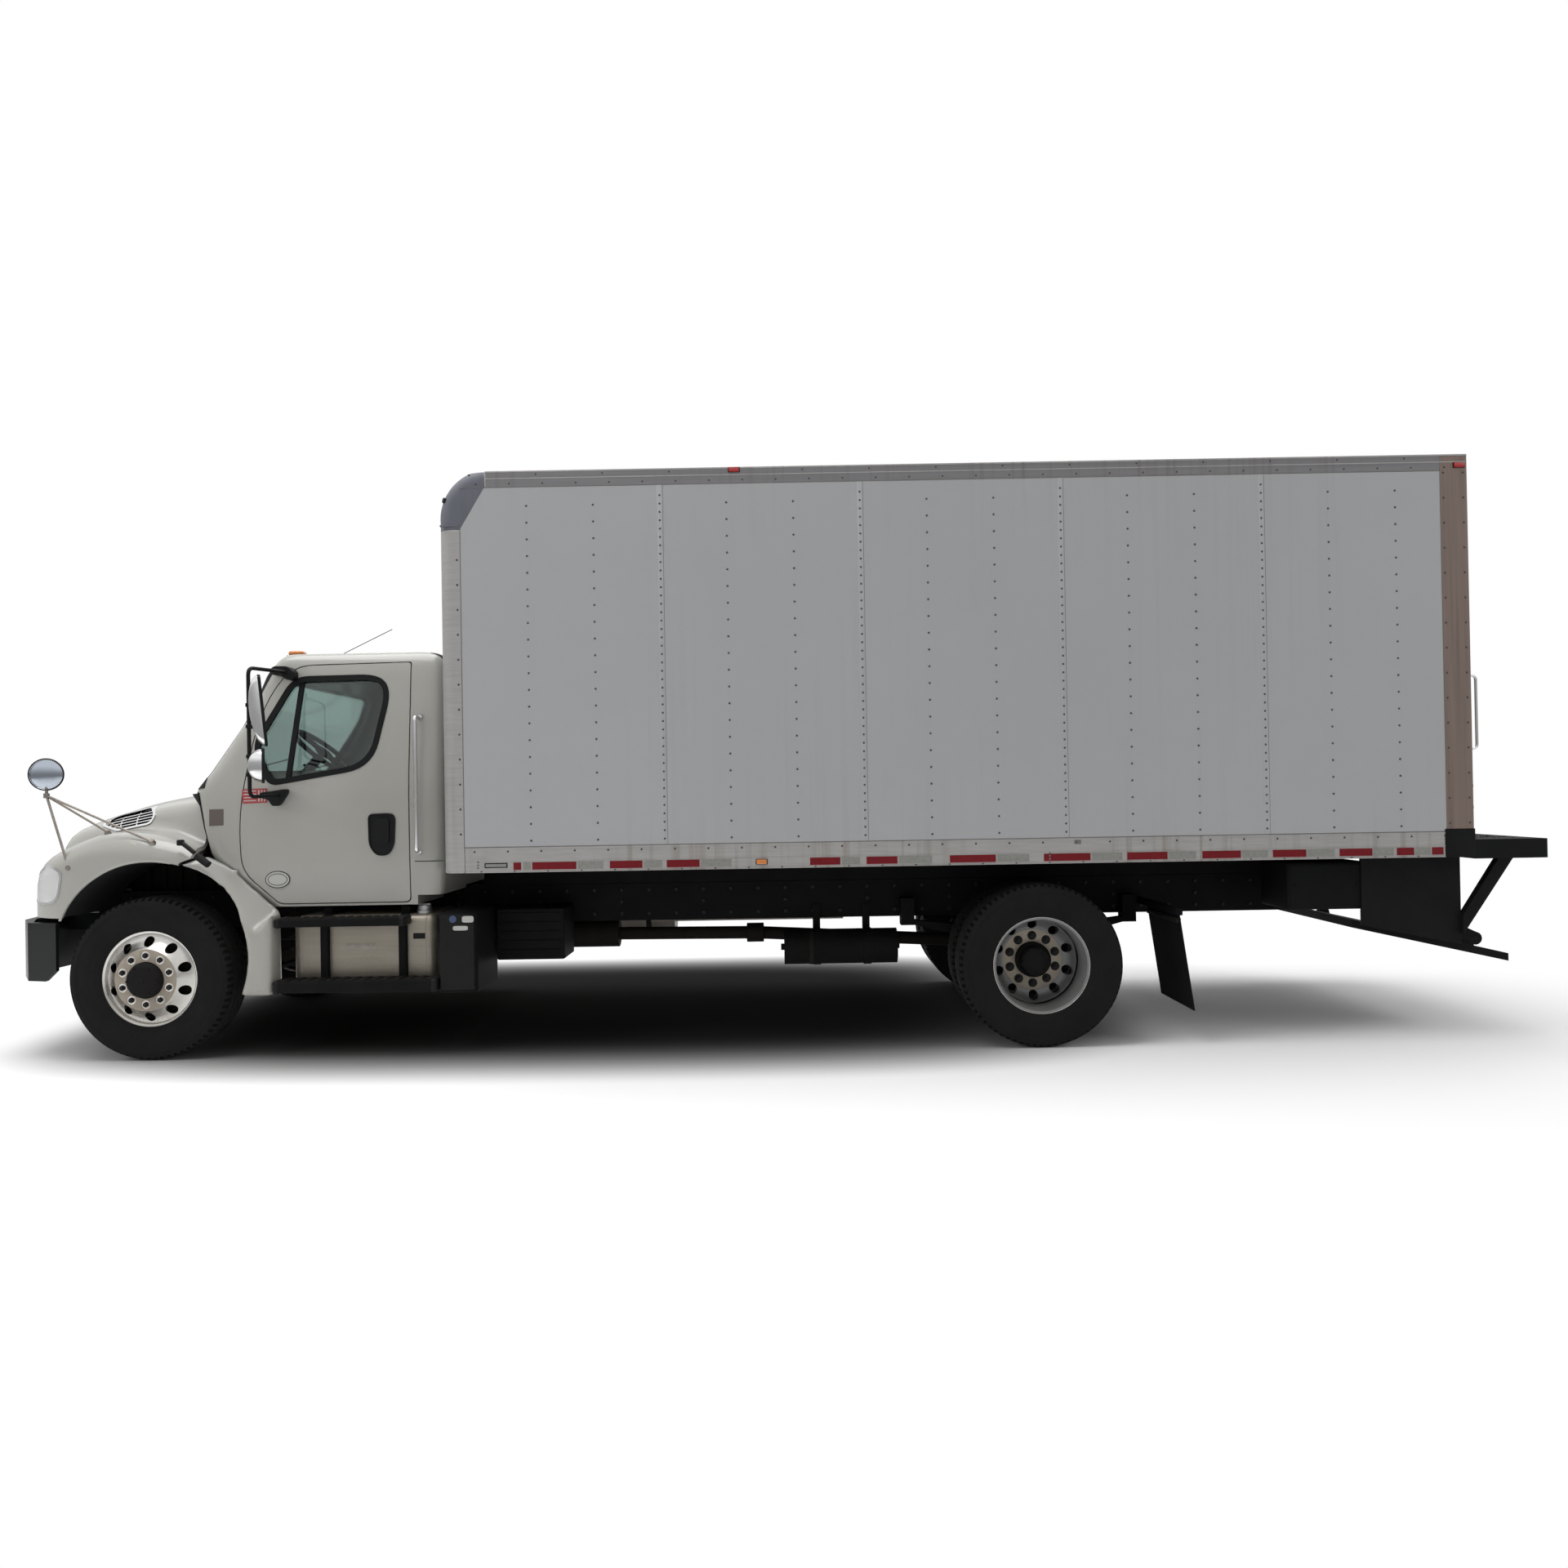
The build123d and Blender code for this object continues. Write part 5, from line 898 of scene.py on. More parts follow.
def slab(outline: list[Pair], low: float, high: float, axis: int = 1) -> BMesh:
    """Make a closed prism in a mesh of its own.

    Args:
        outline: points on the two other axes.
        low: where it starts along the axis.
        high: where it ends.
        axis: 0, 1 or 2.

    Returns:
        The prism's mesh.
    """
    bm = bmesh.new()
    prism(bm, outline, low, high, axis)
    return bm


def brick(low: Triple, high: Triple) -> BMesh:
    """Make a closed box in a mesh of its own.

    Args:
        low: one corner.
        high: the opposite corner.

    Returns:
        The box's mesh.
    """
    bm = bmesh.new()
    block(bm, low, high)
    return bm


def roller(centre: Triple, radius: float, length: float, sides: int = 128) -> BMesh:
    """Make a closed cylinder across the truck, in a mesh of its own.

    Args:
        centre: the middle of its end with the lowest Y.
        radius: its radius.
        length: its length.
        sides: faces round it.

    Returns:
        The cylinder's mesh.
    """
    bm = bmesh.new()
    disc(bm, centre, (0.0, 1.0, 0.0), radius, length, sides)
    return bm


def rounding(made: bpy.types.Object, width: float, segments: int = 2,
             angle: float = 35.0) -> bpy.types.Object:
    """Round a piece's hard edges.

    Args:
        made: the piece.
        width: how wide the rounding is.
        segments: faces across the rounding.
        angle: edges sharper than this, in degrees, are rounded.

    Returns:
        The piece.
    """
    modifier = made.modifiers.new("rounding", "BEVEL")
    modifier.width = width
    modifier.segments = segments
    modifier.limit_method = "ANGLE"
    modifier.angle_limit = math.radians(angle)
    return made


# ---------------------------------------------------------------- cab
@dataclass
class CabForm:
    """The cab's skin, as plan sections from foot to roof. Places are from the front axle."""

    belt: float = 1.65
    brow: float = 2.16
    wall: float = 0.052
    front_x: float = -0.075
    rear_x: float = -1.770
    screen_rake: float = 0.8182
    header_rake: float = 0.5
    eaves: float = 2.42
    eaves_half: float = 0.915
    side_lean: float = 0.1104
    bow_power: float = 2.4
    low_rows: tuple = ((0.915, -0.650, -1.750, 0.990, 0.0), (1.180, -0.320, -1.765, 1.000, 0.0),
                       (1.260, -0.275, -1.767, 1.000, 0.010), (1.420, -0.215, -1.770, 1.000, 0.030),
                       (1.530, -0.160, -1.770, 1.000, 0.068), (1.620, -0.105, -1.770, 0.9985, 0.110),
                       (1.650, -0.075, -1.770, 0.9967, 0.135))
    roof_rows: tuple = ((2.375, 0.0), (2.412, 0.004), (2.443, 0.012), (2.468, 0.024), (2.488, 0.039),
                        (2.505, 0.060), (2.516, 0.084), (2.522, 0.115), (2.525, 0.155))

    def row(self, z: float, drawn: float = 0.0) -> tuple[float, float, float, float]:
        """Work out one section of the cab above its belt.

        Args:
            z: the section's height.
            drawn: how far the roof's rounding draws it in.

        Returns:
            Front, rear, half width and the corners' sweep.
        """
        screen, header = min(z, self.brow) - self.belt, max(0.0, z - self.brow)
        front = self.front_x - self.screen_rake * screen - self.header_rake * header - 0.4 * drawn
        rear = self.rear_x + 0.006 * (z - self.belt) + drawn
        half = self.eaves_half + self.side_lean * (self.eaves - z) - 0.6 * drawn
        sweep = max(0.020, 0.150 - 0.185 * (z - self.belt))
        return front, rear, half, sweep

    def section(self, z: float, row: tuple, inset: float) -> list[Vector]:
        """Draw one plan section, with its front bowed back towards the corners.

        Args:
            z: the section's height.
            row: front, rear, half width and sweep.
            inset: how far inside the outer skin it lies.

        Returns:
            The section's points.
        """
        front, rear, half = XF + row[0] - inset, XF + row[1] + inset, row[2] - inset
        sweep = row[3]
        bow = [(front - sweep * t ** self.bow_power, half * t) for t in (0.88, 0.7, 0.5, 0.25)]
        ahead = [(x, -y) for x, y in bow] + [(front, 0.0)] + bow[::-1]
        shoulder = front - sweep * 1.02
        corners = [(rear, -half), (shoulder, -half)] + ahead + [(shoulder, half), (rear, half)]
        wide = 0.115 if inset < 0.04 else 0.07
        tight = max(0.085 - inset, 0.02)
        reach = [tight, wide] + [0.0] * len(ahead) + [wide, tight]
        points = rounded(corners, reach, 6)
        keep = points[:14] + points[14:14 + 7 * len(ahead):7] + points[14 + 7 * len(ahead):]
        return [Vector((x, y, z)) for x, y in keep]

    def solid(self, inset: float = 0.0, floor: float | None = None, drop: float = 0.0) -> BMesh:
        """Make the closed form.

        Args:
            inset: how far inside the outer skin it lies.
            floor: its lowest height, where that isn't the skin's own foot.
            drop: how far its roof lies under the skin's.

        Returns:
            The form's mesh.
        """
        rows = [(z, tuple(rest)) for z, *rest in self.low_rows]
        if floor is not None:
            foot = rows[0][1] if floor < rows[0][0] else (-0.48, -1.760, 0.995, 0.0)
            rows = [(floor, foot)] + [r for r in rows if r[0] > max(floor, rows[0][0])]
        rows += [(z, self.row(z)) for z in (1.77, 1.90, 2.05, 2.20, 2.31 - drop / 2)]
        rows += [(z - drop, self.row(z - drop, drawn)) for z, drawn in self.roof_rows]
        bm = bmesh.new()
        loft(bm, [self.section(z, row, inset) for z, row in rows])
        return bm

    def shell(self, near: float, far: float) -> tuple[BMesh, BMesh]:
        """Two closed forms, `near` and `far` under the skin, that bound a thin shell."""
        return self.solid(near), self.solid(far)


@dataclass
class Cab:
    """Cab shell, roof, glass, interior lining and what is fixed to them."""

    form: CabForm
    door: tuple = ((-0.501, 1.142), (-0.485, 1.487), (-0.600, 2.145), (-0.790, 2.436), (-1.548, 2.448),
                   (-1.552, 0.935), (-0.731, 0.935))
    door_round: tuple = (0.10, 0.25, 0.25, 0.14, 0.02, 0.035, 0.035)
    window: tuple = ((-0.575, 1.932), (-0.815, 2.350), (-1.339, 2.356), (-1.410, 2.265), (-1.307, 1.795),
                     (-0.680, 1.693))
    window_round: tuple = (0.09, 0.09, 0.11, 0.11, 0.16, 0.06)
    gap: float = 0.007
    door_reach: Pair = (0.70, 1.20)
    clear: float = 0.1
    heel: Pair = (1.184, 1.189)
    bar: tuple = ((-0.842, 2.345), (-0.872, 2.345), (-0.800, 1.700), (-0.768, 1.695))
    card: tuple = ((-0.56, 1.20), (-0.56, 1.66), (-0.68, 1.66), (-1.30, 1.76), (-1.50, 1.76), (-1.50, 1.00),
                   (-0.75, 1.00))
    screen_x: Pair = (XF - 0.95, XF - 0.02)
    rear_x: Pair = (XF - 1.80, XF - 1.66)
    rear_window: tuple = ((-0.52, 1.72), (0.52, 1.72), (0.52, 2.18), (-0.52, 2.18))
    screen: tuple = ((-0.890, 1.700), (0.890, 1.700), (0.800, 2.372), (-0.800, 2.372))

    def door_outline(self, grow: float = 0.0) -> list[Pair]:
        """The door's outline in side view."""
        return rounded(grown(from_axle(self.door), grow), list(self.door_round), 6)

    def window_outline(self, grow: float = 0.0) -> list[Pair]:
        """The side window's outline in side view."""
        return rounded(grown(from_axle(self.window), grow), [r + grow * 0.5 for r in self.window_round], 7)

    def lining(self) -> BMesh:
        """The cab's inside, down past the doors' feet."""
        return self.form.solid(self.form.wall, 0.80, 0.05)

    def shell(self) -> None:
        """Cut the hollow shell for its doors, windscreen, rear window and tunnel."""
        openings = [self.form.solid(self.form.wall, 1.05, 0.05)]
        for side in Side:
            doorway = slab(self.door_outline(self.gap), *side.span(*self.door_reach))
            openings.append(cut(doorway, [(self.lining(), "DIFFERENCE")]))
        openings += [slab(rounded(list(self.screen), 0.07), *self.screen_x, 0),
                     slab(rounded(list(self.rear_window), 0.08), *self.rear_x, 0),
                     brick((XF - 1.80, -0.48, 0.90), (XF, 0.48, 0.995)),
                     brick((XF - 1.80, -1.20, 0.90), (XF - 1.60, 1.20, 0.975))]
        shell = cut(self.form.solid(), [(opening, "DIFFERENCE") for opening in openings])
        rounding(piece("cab_skin", shell, Skin.cab_paint, replaces=("cab_shell",), angle=CRISP), 0.004)

    def guards(self) -> None:
        """Mudguards behind the front wheels, and the doors' hinge eyes, taken from the CAD's shell."""
        for side in Side:
            low, high = side.span(1.0015, 1.30)
            source = bmesh.new()
            source.from_mesh(frame["nodes"]["cab_shell"].data)
            bmesh.ops.remove_doubles(source, verts=source.verts[:], dist=WELD)
            made = cut(source, [(brick((XF - 0.9, low, 0.3), (XF, high, 1.7)), "INTERSECT")])
            bmesh.ops.dissolve_limit(made, angle_limit=math.radians(1.5), verts=made.verts[:],
                                     edges=made.edges[:])
            guard = piece(f"wheel_guard_{side.word}", made, Skin.cab_paint, angle=180.0)
            remesh = guard.modifiers.new("remesh", "REMESH")
            remesh.mode = "VOXEL"
            remesh.voxel_size = 0.010
            remesh.use_smooth_shade = True
            smooth = guard.modifiers.new("smooth", "SMOOTH")
            smooth.factor = 0.5
            smooth.iterations = 60

    def panes(self) -> None:
        """Windscreen and rear window, with their rubber seals."""
        form = self.form
        screen = slab(rounded(grown(list(self.screen), -0.001), 0.07), *self.screen_x, 0)
        outer, inner = form.shell(0.016, 0.022)
        pane = cut(outer, [(inner, "DIFFERENCE"), (screen, "INTERSECT")])
        piece("windscreen", pane, Skin.glass, replaces=("cab_glass",), angle=CRISP)
        rear = rounded(grown(list(self.rear_window), -0.001), 0.08)
        piece("rear_pane", slab(rear, XF - 1.75, XF - 1.744, 0), Skin.glass)
        for name, outline, (low, high), wide in (("screen_seal", self.screen, self.screen_x, 0.022),
                                                 ("rear_seal", self.rear_window, self.rear_x, 0.018)):
            outer, inner = form.shell(-0.004, 0.014)
            rim = slab(rounded(grown(list(outline), wide), 0.08), low, high, 0)
            hole = slab(rounded(grown(list(outline), -0.012), 0.06), low - self.clear, high + self.clear, 0)
            ring = cut(outer, [(inner, "DIFFERENCE"), (rim, "INTERSECT"), (hole, "DIFFERENCE")])
            piece(name, ring, Skin.trim_black, angle=CRISP)

    def doors(self) -> None:
        """Doors with their glass, window rubber, division bar, handle and inner card."""
        form = self.form
        for side in Side:
            low, high = side.span(*self.door_reach)
            beyond = (low - self.clear, high + self.clear)
            body = f"{side.word}_door"
            panel = sheet(slab(self.door_outline(), low, high), form.solid(), self.lining(),
                          slab(self.window_outline(), *beyond))
            rounding(piece(f"door_panel_{side.word}", panel, Skin.cab_paint, body, (f"door_{side.word}",),
                           CRISP), 0.004)
            pane = sheet(slab(self.window_outline(-0.0005), low, high), *form.shell(0.018, 0.024))
            piece(f"door_pane_{side.word}", pane, Skin.glass, body, (f"door_glass_{side.word}",), CRISP)
            seal = sheet(slab(self.window_outline(0.020), low, high), *form.shell(-0.003, 0.016),
                         slab(self.window_outline(-0.016), *beyond))
            piece(f"window_rubber_{side.word}", seal, Skin.trim_black, body, angle=CRISP)
            bar = sheet(slab(from_axle(self.bar), low, high), *form.shell(0.010, 0.030))
            piece(f"division_bar_{side.word}", bar, Skin.trim_black, body, angle=CRISP)
            card = sheet(slab(rounded(from_axle(self.card), 0.05), low, high),
                         *form.shell(form.wall + 0.001, form.wall + 0.014))
            piece(f"door_card_{side.word}", card, Skin.dash, body, angle=CRISP)
            self.handle(side, body)

    def handle(self, side: Side, body: str) -> None:
        """Make the flush pull handle: a raised black bezel, a dark recess and the flap.

        Args:
            side: the door's side.
            body: the door's body.
        """
        line = from_axle([(-1.296, 1.488), (-1.440, 1.492), (-1.470, 1.470), (-1.462, 1.290),
                          (-1.425, 1.225), (-1.345, 1.225), (-1.300, 1.290)])
        bm = bmesh.new()
        face = side.value * 1.0005
        prism(bm, rounded(line, 0.035), face, face + side.value * 0.007)
        top = [f for f in bm.faces if all(abs(abs(v.co.y) - 1.0075) < 1e-4 for v in f.verts)]
        bmesh.ops.inset_region(bm, faces=top, thickness=0.009, depth=0.0)
        bmesh.ops.inset_region(bm, faces=top, thickness=0.003, depth=-0.005)
        piece(f"handle_bezel_{side.word}", bm, Skin.trim_black, body, angle=SOFT)
        flap = bmesh.new()
        line = from_axle([(-1.335, 1.462), (-1.430, 1.462), (-1.428, 1.30), (-1.34, 1.30)])
        prism(flap, rounded(line, 0.03), face + side.value * 0.002, face + side.value * 0.011)
        piece(f"handle_flap_{side.word}", flap, Skin.trim_black, body, angle=SOFT)

    def marks(self) -> None:
        """Plain stickers and seams on the left side, and the seam above the cab's heel on both."""
        def mark(name: str, outline: list[Pair], finish: Finish, body: str, proud: float = 0.0012) -> None:
            """Stick one flat mark on the left side.

            Args:
                name: the piece's name.
                outline: the mark's corners, as (from the front axle, height).
                finish: its finish.
                body: the body that carries it.
                proud: how far it stands off the side.
            """
            bm = bmesh.new()
            prism(bm, from_axle(outline), 0.9995, 1.0 + proud)
            piece(name, bm, finish, body)

        mark("brown_square", [(-0.296, 1.430), (-0.386, 1.432), (-0.388, 1.535), (-0.298, 1.533)],
             Skin.brown_mark, "chassis")
        mark("decal_red", [(-0.508, 1.566), (-0.664, 1.570), (-0.662, 1.660), (-0.506, 1.656)],
             Skin.red_mark, "left_door", 0.0012)
        for index in range(4):
            low = 1.580 + 0.020 * index
            mark(f"decal_stripe_{index}", [(-0.516, low), (-0.594, low + 0.002), (-0.594, low + 0.008),
                                           (-0.516, low + 0.006)], Skin.white_mark, "left_door", 0.0018)
        for index in range(3):
            start = -0.608 - 0.018 * index
            mark(f"decal_bar_{index}", [(start, 1.578), (start - 0.008, 1.578), (start - 0.008, 1.650),
                                        (start, 1.650)], Skin.white_mark, "left_door", 0.0018)
        for name, grow, finish, proud in (("oval_edge", 0.0, Skin.trim_black, 0.0010),
                                          ("oval_face", -0.005, Skin.white_mark, 0.0014),
                                          ("oval_line", -0.016, Skin.trim_black, 0.0016),
                                          ("oval_core", -0.020, Skin.white_mark, 0.0020)):
            oval = [(-0.722 + (0.078 + grow) * math.cos(a), 1.086 + (0.054 + grow) * math.sin(a))
                    for a in (math.tau * k / 40 for k in range(40))]
            mark(name, oval, finish, "left_door", proud)
        for side in Side:
            bm = bmesh.new()
            axle_block(bm, (-1.768, -1.586), side.span(0.9992, 1.0006), self.heel)
            axle_block(bm, (-1.770, -1.7695), side.span(0.0, 0.93), self.heel)
            piece(f"heel_seam_{side.word}", bm, Skin.trim_black)

    def roof(self) -> None:
        """Rear roof moulding, marker lamps and aerial."""
        form = self.form
        strip = from_axle([(-1.590, 2.56), (-1.80, 2.56), (-1.80, 2.395), (-1.742, 2.395), (-1.715, 2.470),
                           (-1.660, 2.512)])
        outer, inner = form.shell(-0.007, 0.006)
        band = sheet(slab(strip, -0.84, 0.84), outer, inner)
        piece("roof_moulding", band, Skin.trim_black, angle=CRISP)
        for index, y in enumerate((-0.72, -0.30, 0.0, 0.30, 0.72)):
            base, lens = bmesh.new(), bmesh.new()
            axle_block(base, (-0.800, -0.690), (y - 0.045, y + 0.045), (2.495, 2.526), 0.005)
            piece(f"roof_lamp_base_{index}", base, Skin.trim_black)
            axle_block(lens, (-0.792, -0.697), (y - 0.038, y + 0.038), (2.524, 2.556), 0.014, 4)
            piece(f"roof_lamp_{index}", lens, Skin.amber)
        mast = bmesh.new()
        disc(mast, (XF - 0.840, 0.42, 2.520), UP, 0.018, 0.02, 20, 0.012)
        tube(mast, [(XF - 0.840, 0.42, 2.534), (XF - 1.26, 0.42, 2.735)], 0.0026, 6)
        piece("aerial", mast, Skin.trim_black)

    def build(self) -> None:
        """Build the cab."""
        self.shell()
        self.guards()
        self.panes()
        self.doors()
        self.marks()
        self.roof()


# ---------------------------------------------------------------- hood
@dataclass
class HoodForm:
    """The hood and fenders' skin, as end-view sections along the truck.

    Each row holds its place from the front axle, then the crown, the shoulder's height and half
    width, the fender crest's height and the fender's half width.
    """

    rows: tuple = ((-0.300, 1.668, 1.600, 0.905, 1.268, 1.120), (-0.020, 1.655, 1.580, 0.838, 1.372, 1.178),
                   (0.300, 1.615, 1.530, 0.770, 1.392, 1.178), (0.560, 1.550, 1.452, 0.760, 1.310, 1.160),
                   (0.760, 1.470, 1.380, 0.740, 1.215, 1.040), (0.935, 1.270, 1.200, 0.560, 1.060, 0.760))
    places: tuple = (-0.300, -0.230, -0.160, -0.090, -0.020, 0.060, 0.140, 0.220, 0.300, 0.370, 0.430,
                     0.500, 0.560, 0.620, 0.670, 0.720, 0.760, 0.800, 0.835, 0.865, 0.890, 0.910, 0.925,
                     0.935)
    foot: float = 0.880

    def section(self, place: float, inset: float, foot: float) -> list[Vector]:
        """Draw one end-view section.

        Args:
            place: its place from the front axle.
            inset: how far inside the outer skin it lies.
            foot: the height at which it ends.

        Returns:
            The section's points.
        """
        crown, shoulder_z, shoulder, crest, half = eased(list(self.rows), place)
        lean = inset * 0.55
        corners = [(half - inset, foot), (half - inset, crest - 0.075 - lean),
                   (half - 0.085 - lean, crest - inset), (shoulder + 0.035 - lean, crest + 0.012 - inset),
                   (shoulder - 0.010 - inset, shoulder_z - 0.025 - lean),
                   (shoulder - 0.120 - lean, shoulder_z + 0.018 - inset)]
        top = crown - inset
        rise = top - corners[-1][1]
        span = corners[-1][0]
        dome = [(span * (1 - t), corners[-1][1] + rise * (1 - (1 - t) ** 2)) for t in (0.33, 0.66)]
        side = rounded(corners + dome + [(0.0, top)], [0.0, 0.07, 0.07, 0.07, 0.07, 0.09, 0.04, 0.04, 0.0],
                       5)
        side = side[5:-5]
        outline = side + [(-y, z) for y, z in reversed(side[:-1])]
        return [Vector((XF + place, y, z)) for y, z in outline]

    def solid(self, inset: float = 0.0, foot: float | None = None) -> BMesh:
        """Make the closed form.

        Args:
            inset: how far inside the outer skin it lies.
            foot: its lowest height, where that isn't the skin's own foot.

        Returns:
            The form's mesh.
        """
        low = self.foot if foot is None else foot
        bm = bmesh.new()
        nose = self.places[-1] - inset
        places = [p for p in self.places if p < nose - 0.004] + [nose]
        if inset:
            places[0] = places[0] - 0.01
        loft(bm, [self.section(place, inset, low) for place in places])
        return bm

    def edge_y(self, place: float) -> float:
        """The fender's half width."""
        return eased(list(self.rows), place)[4]


@dataclass
class Hood:
    """The tilting hood with its fenders, lamps, vents, grille, mirrors and latches."""

    form: HoodForm
    hinge: Triple = (XF + 0.925, 0.0, 0.866)
    sweep: float = 1.250
    arch: Triple = (XF, 0.0, 0.620)
    arch_radius: float = 0.600
    seam: tuple = ((-0.180, 0.840), (-0.180, 1.208), (-0.300, 1.260), (-0.900, 1.260), (-0.900, 0.840))
    rear_line: tuple = ((-0.236, 1.200), (-0.236, 1.320), (-0.222, 1.480), (-0.196, 1.640), (-0.190, 1.800),
                        (-0.900, 1.800), (-0.900, 1.200))
    lamp: tuple = ((0.525, 1.172), (0.650, 1.208), (0.850, 1.110), (0.865, 0.980), (0.650, 0.962),
                   (0.560, 0.992))
    lamp_round: tuple = (0.05, 0.03, 0.05, 0.05, 0.06, 0.06)
    lamp_reach: Pair = (0.80, 1.18)
    vent_reach: Pair = (0.60, 0.95)
    vent: tuple = ((0.541, 1.444), (0.487, 1.502), (0.221, 1.560), (0.158, 1.507), (0.180, 1.449),
                   (0.408, 1.406))

    def lamp_outline(self, grow: float = 0.0) -> list[Pair]:
        """The headlamp's outline in side view."""
        return rounded(grown(from_axle(self.lamp), grow), list(self.lamp_round), 6)

    def vent_outline(self, grow: float = 0.0) -> list[Pair]:
        """The vent's outline in side view."""
        return rounded(grown(from_axle(self.vent), grow), 0.028, 5)

    def drum(self, side: Side, near: float, far: float, radius: float, sides: int = 128) -> BMesh:
        """Make a cylinder about the wheel arch's middle on one side.

        Args:
            side: the arch's side.
            near: where it starts, outwards from the middle.
            far: where it ends.
            radius: its radius.
            sides: faces round it.

        Returns:
            The cylinder's mesh.
        """
        low, high = side.span(near, far)
        return roller((self.arch[0], low, self.arch[2]), radius, high - low, sides)

    def skin(self) -> None:
        """Hollow the form and cut its arches, seams, lamp and vent openings and grille mouth."""
        form = self.form
        openings = [form.solid(0.026, 0.80)]
        openings += [self.drum(side, 0.639, 1.30, self.arch_radius) for side in Side]
        openings.append(slab(from_axle(self.seam), -1.3, 1.3))
        openings += [slab(from_axle(self.rear_line), *side.span(0.70, 1.30)) for side in Side]
        sweep = roller((self.hinge[0], -0.8, self.hinge[2]), self.sweep, 1.6, 360)
        openings.append(cut(brick((XF - 0.5, -0.70, 0.5), (XF + 0.3, 0.70, 2.0)), [(sweep, "DIFFERENCE")]))
        openings.append(CabForm().solid(-0.013))
        for side in Side:
            openings.append(slab(self.lamp_outline(0.002), *side.span(*self.lamp_reach)))
            openings.append(slab(self.vent_outline(-0.006), *side.span(*self.vent_reach)))
            low, high = side.span(0.272, 0.388)
            openings.append(roller((self.hinge[0], low, self.hinge[2]), 0.033, high - low, 48))
        mouth = rounded([(-0.520, 0.935), (0.520, 0.935), (0.500, 1.165), (-0.500, 1.165)], 0.05)
        openings.append(slab(mouth, XF + 0.86, XF + 1.0, 0))
        skin = cut(form.solid(), [(opening, "DIFFERENCE") for opening in openings])
        rounding(piece("hood_skin", skin, Skin.cab_paint, "hood", ("hood",), CRISP), 0.004)

    def liners(self) -> None:
        """Wheelhouse liners, arch lips and the hinge eyes."""
        form = self.form
        for side in Side:
            low, high = side.span(0.640, 1.30)
            inner = roller((self.arch[0], low - 0.1, self.arch[2]), self.arch_radius + 0.0005,
                           high - low + 0.2)
            ring = cut(self.drum(side, 0.640, 1.30, self.arch_radius + 0.012),
                       [(form.solid(0.003, 0.886), "INTERSECT"), (inner, "DIFFERENCE"),
                        (slab(from_axle(self.seam), -1.3, 1.3), "DIFFERENCE")])
            piece(f"arch_liner_{side.word}", ring, Skin.trim_black, "hood")
            path = []
            for step in range(49):
                angle = math.radians(24.0 + 79.0 * step / 48)
                place = self.arch_radius * math.cos(angle)
                if -0.17 < place < 0.56:
                    path.append((XF + place, side.value * (form.edge_y(place) - 0.006),
                                 self.arch[2] + 0.604 * math.sin(angle)))
            bead = bmesh.new()
            tube(bead, path, 0.008, 10)
            piece(f"arch_lip_{side.word}", bead, Skin.cab_paint, "hood")
            eye = bmesh.new()
            axle_block(eye, (0.912, 0.934), side.span(0.30, 0.36), (0.866, 0.915), 0.002)
            disc(eye, (self.hinge[0], side.value * 0.33 - 0.03, self.hinge[2]), ACROSS, 0.015, 0.06, 32)
            piece(f"hood_hinge_eye_{side.word}", eye, Skin.chassis, "hood")

    def lamps(self) -> None:
        """Headlamps: milky lens, reflector bowls, bulbs and chrome lower rim; and turn lamps."""
        form = self.form
        for side in Side:
            low, high = side.span(*self.lamp_reach)
            lens = sheet(slab(self.lamp_outline(-0.0015), low, high), form.solid(0.001),
                         form.solid(0.007, 0.82))
            piece(f"headlamp_lens_{side.word}", lens, Skin.lens, "hood",
                  ("headlamps",) if side is Side.LEFT else ())
            back = sheet(slab(self.lamp_outline(-0.004), low, high), form.solid(0.040),
                         form.solid(0.046, 0.82))
            piece(f"headlamp_bowl_{side.word}", back, Skin.dull_chrome, "hood")
            rim = sheet(slab(self.lamp_outline(0.006), low, high), form.solid(-0.004),
                        form.solid(0.012, 0.82), slab(self.lamp_outline(-0.008), low - 0.1, high + 0.1))
            piece(f"headlamp_rim_{side.word}", rim, Skin.chrome, "hood")
            bulb = bmesh.new()
            for place, height in ((0.745, 1.085), (0.790, 0.985)):
                y = side.value * (form.edge_y(place) - 0.115)
                disc(bulb, (XF + place, y, height), (0.75, side.value * 0.66, 0.0), 0.03, 0.045, 28, 0.052)
            piece(f"headlamp_bulbs_{side.word}", bulb, Skin.chrome, "hood")
            turn = bmesh.new()
            disc(turn, (0.0, 0.0, 0.0), UP, 0.052, 0.016, 32, 0.040, 0.005)
            bmesh.ops.scale(turn, verts=turn.verts[:], vec=(1.0, 0.48, 1.0))
            tilt = Matrix.Rotation(math.radians(-side.value * 66.0), 4, "X")
            spot = Matrix.Translation((XF + 0.111, side.value * 1.148, 1.316))
            bmesh.ops.transform(turn, matrix=spot @ tilt, verts=turn.verts[:])
            piece(f"turn_lamp_{side.word}", turn, Skin.cream_lens, "hood")

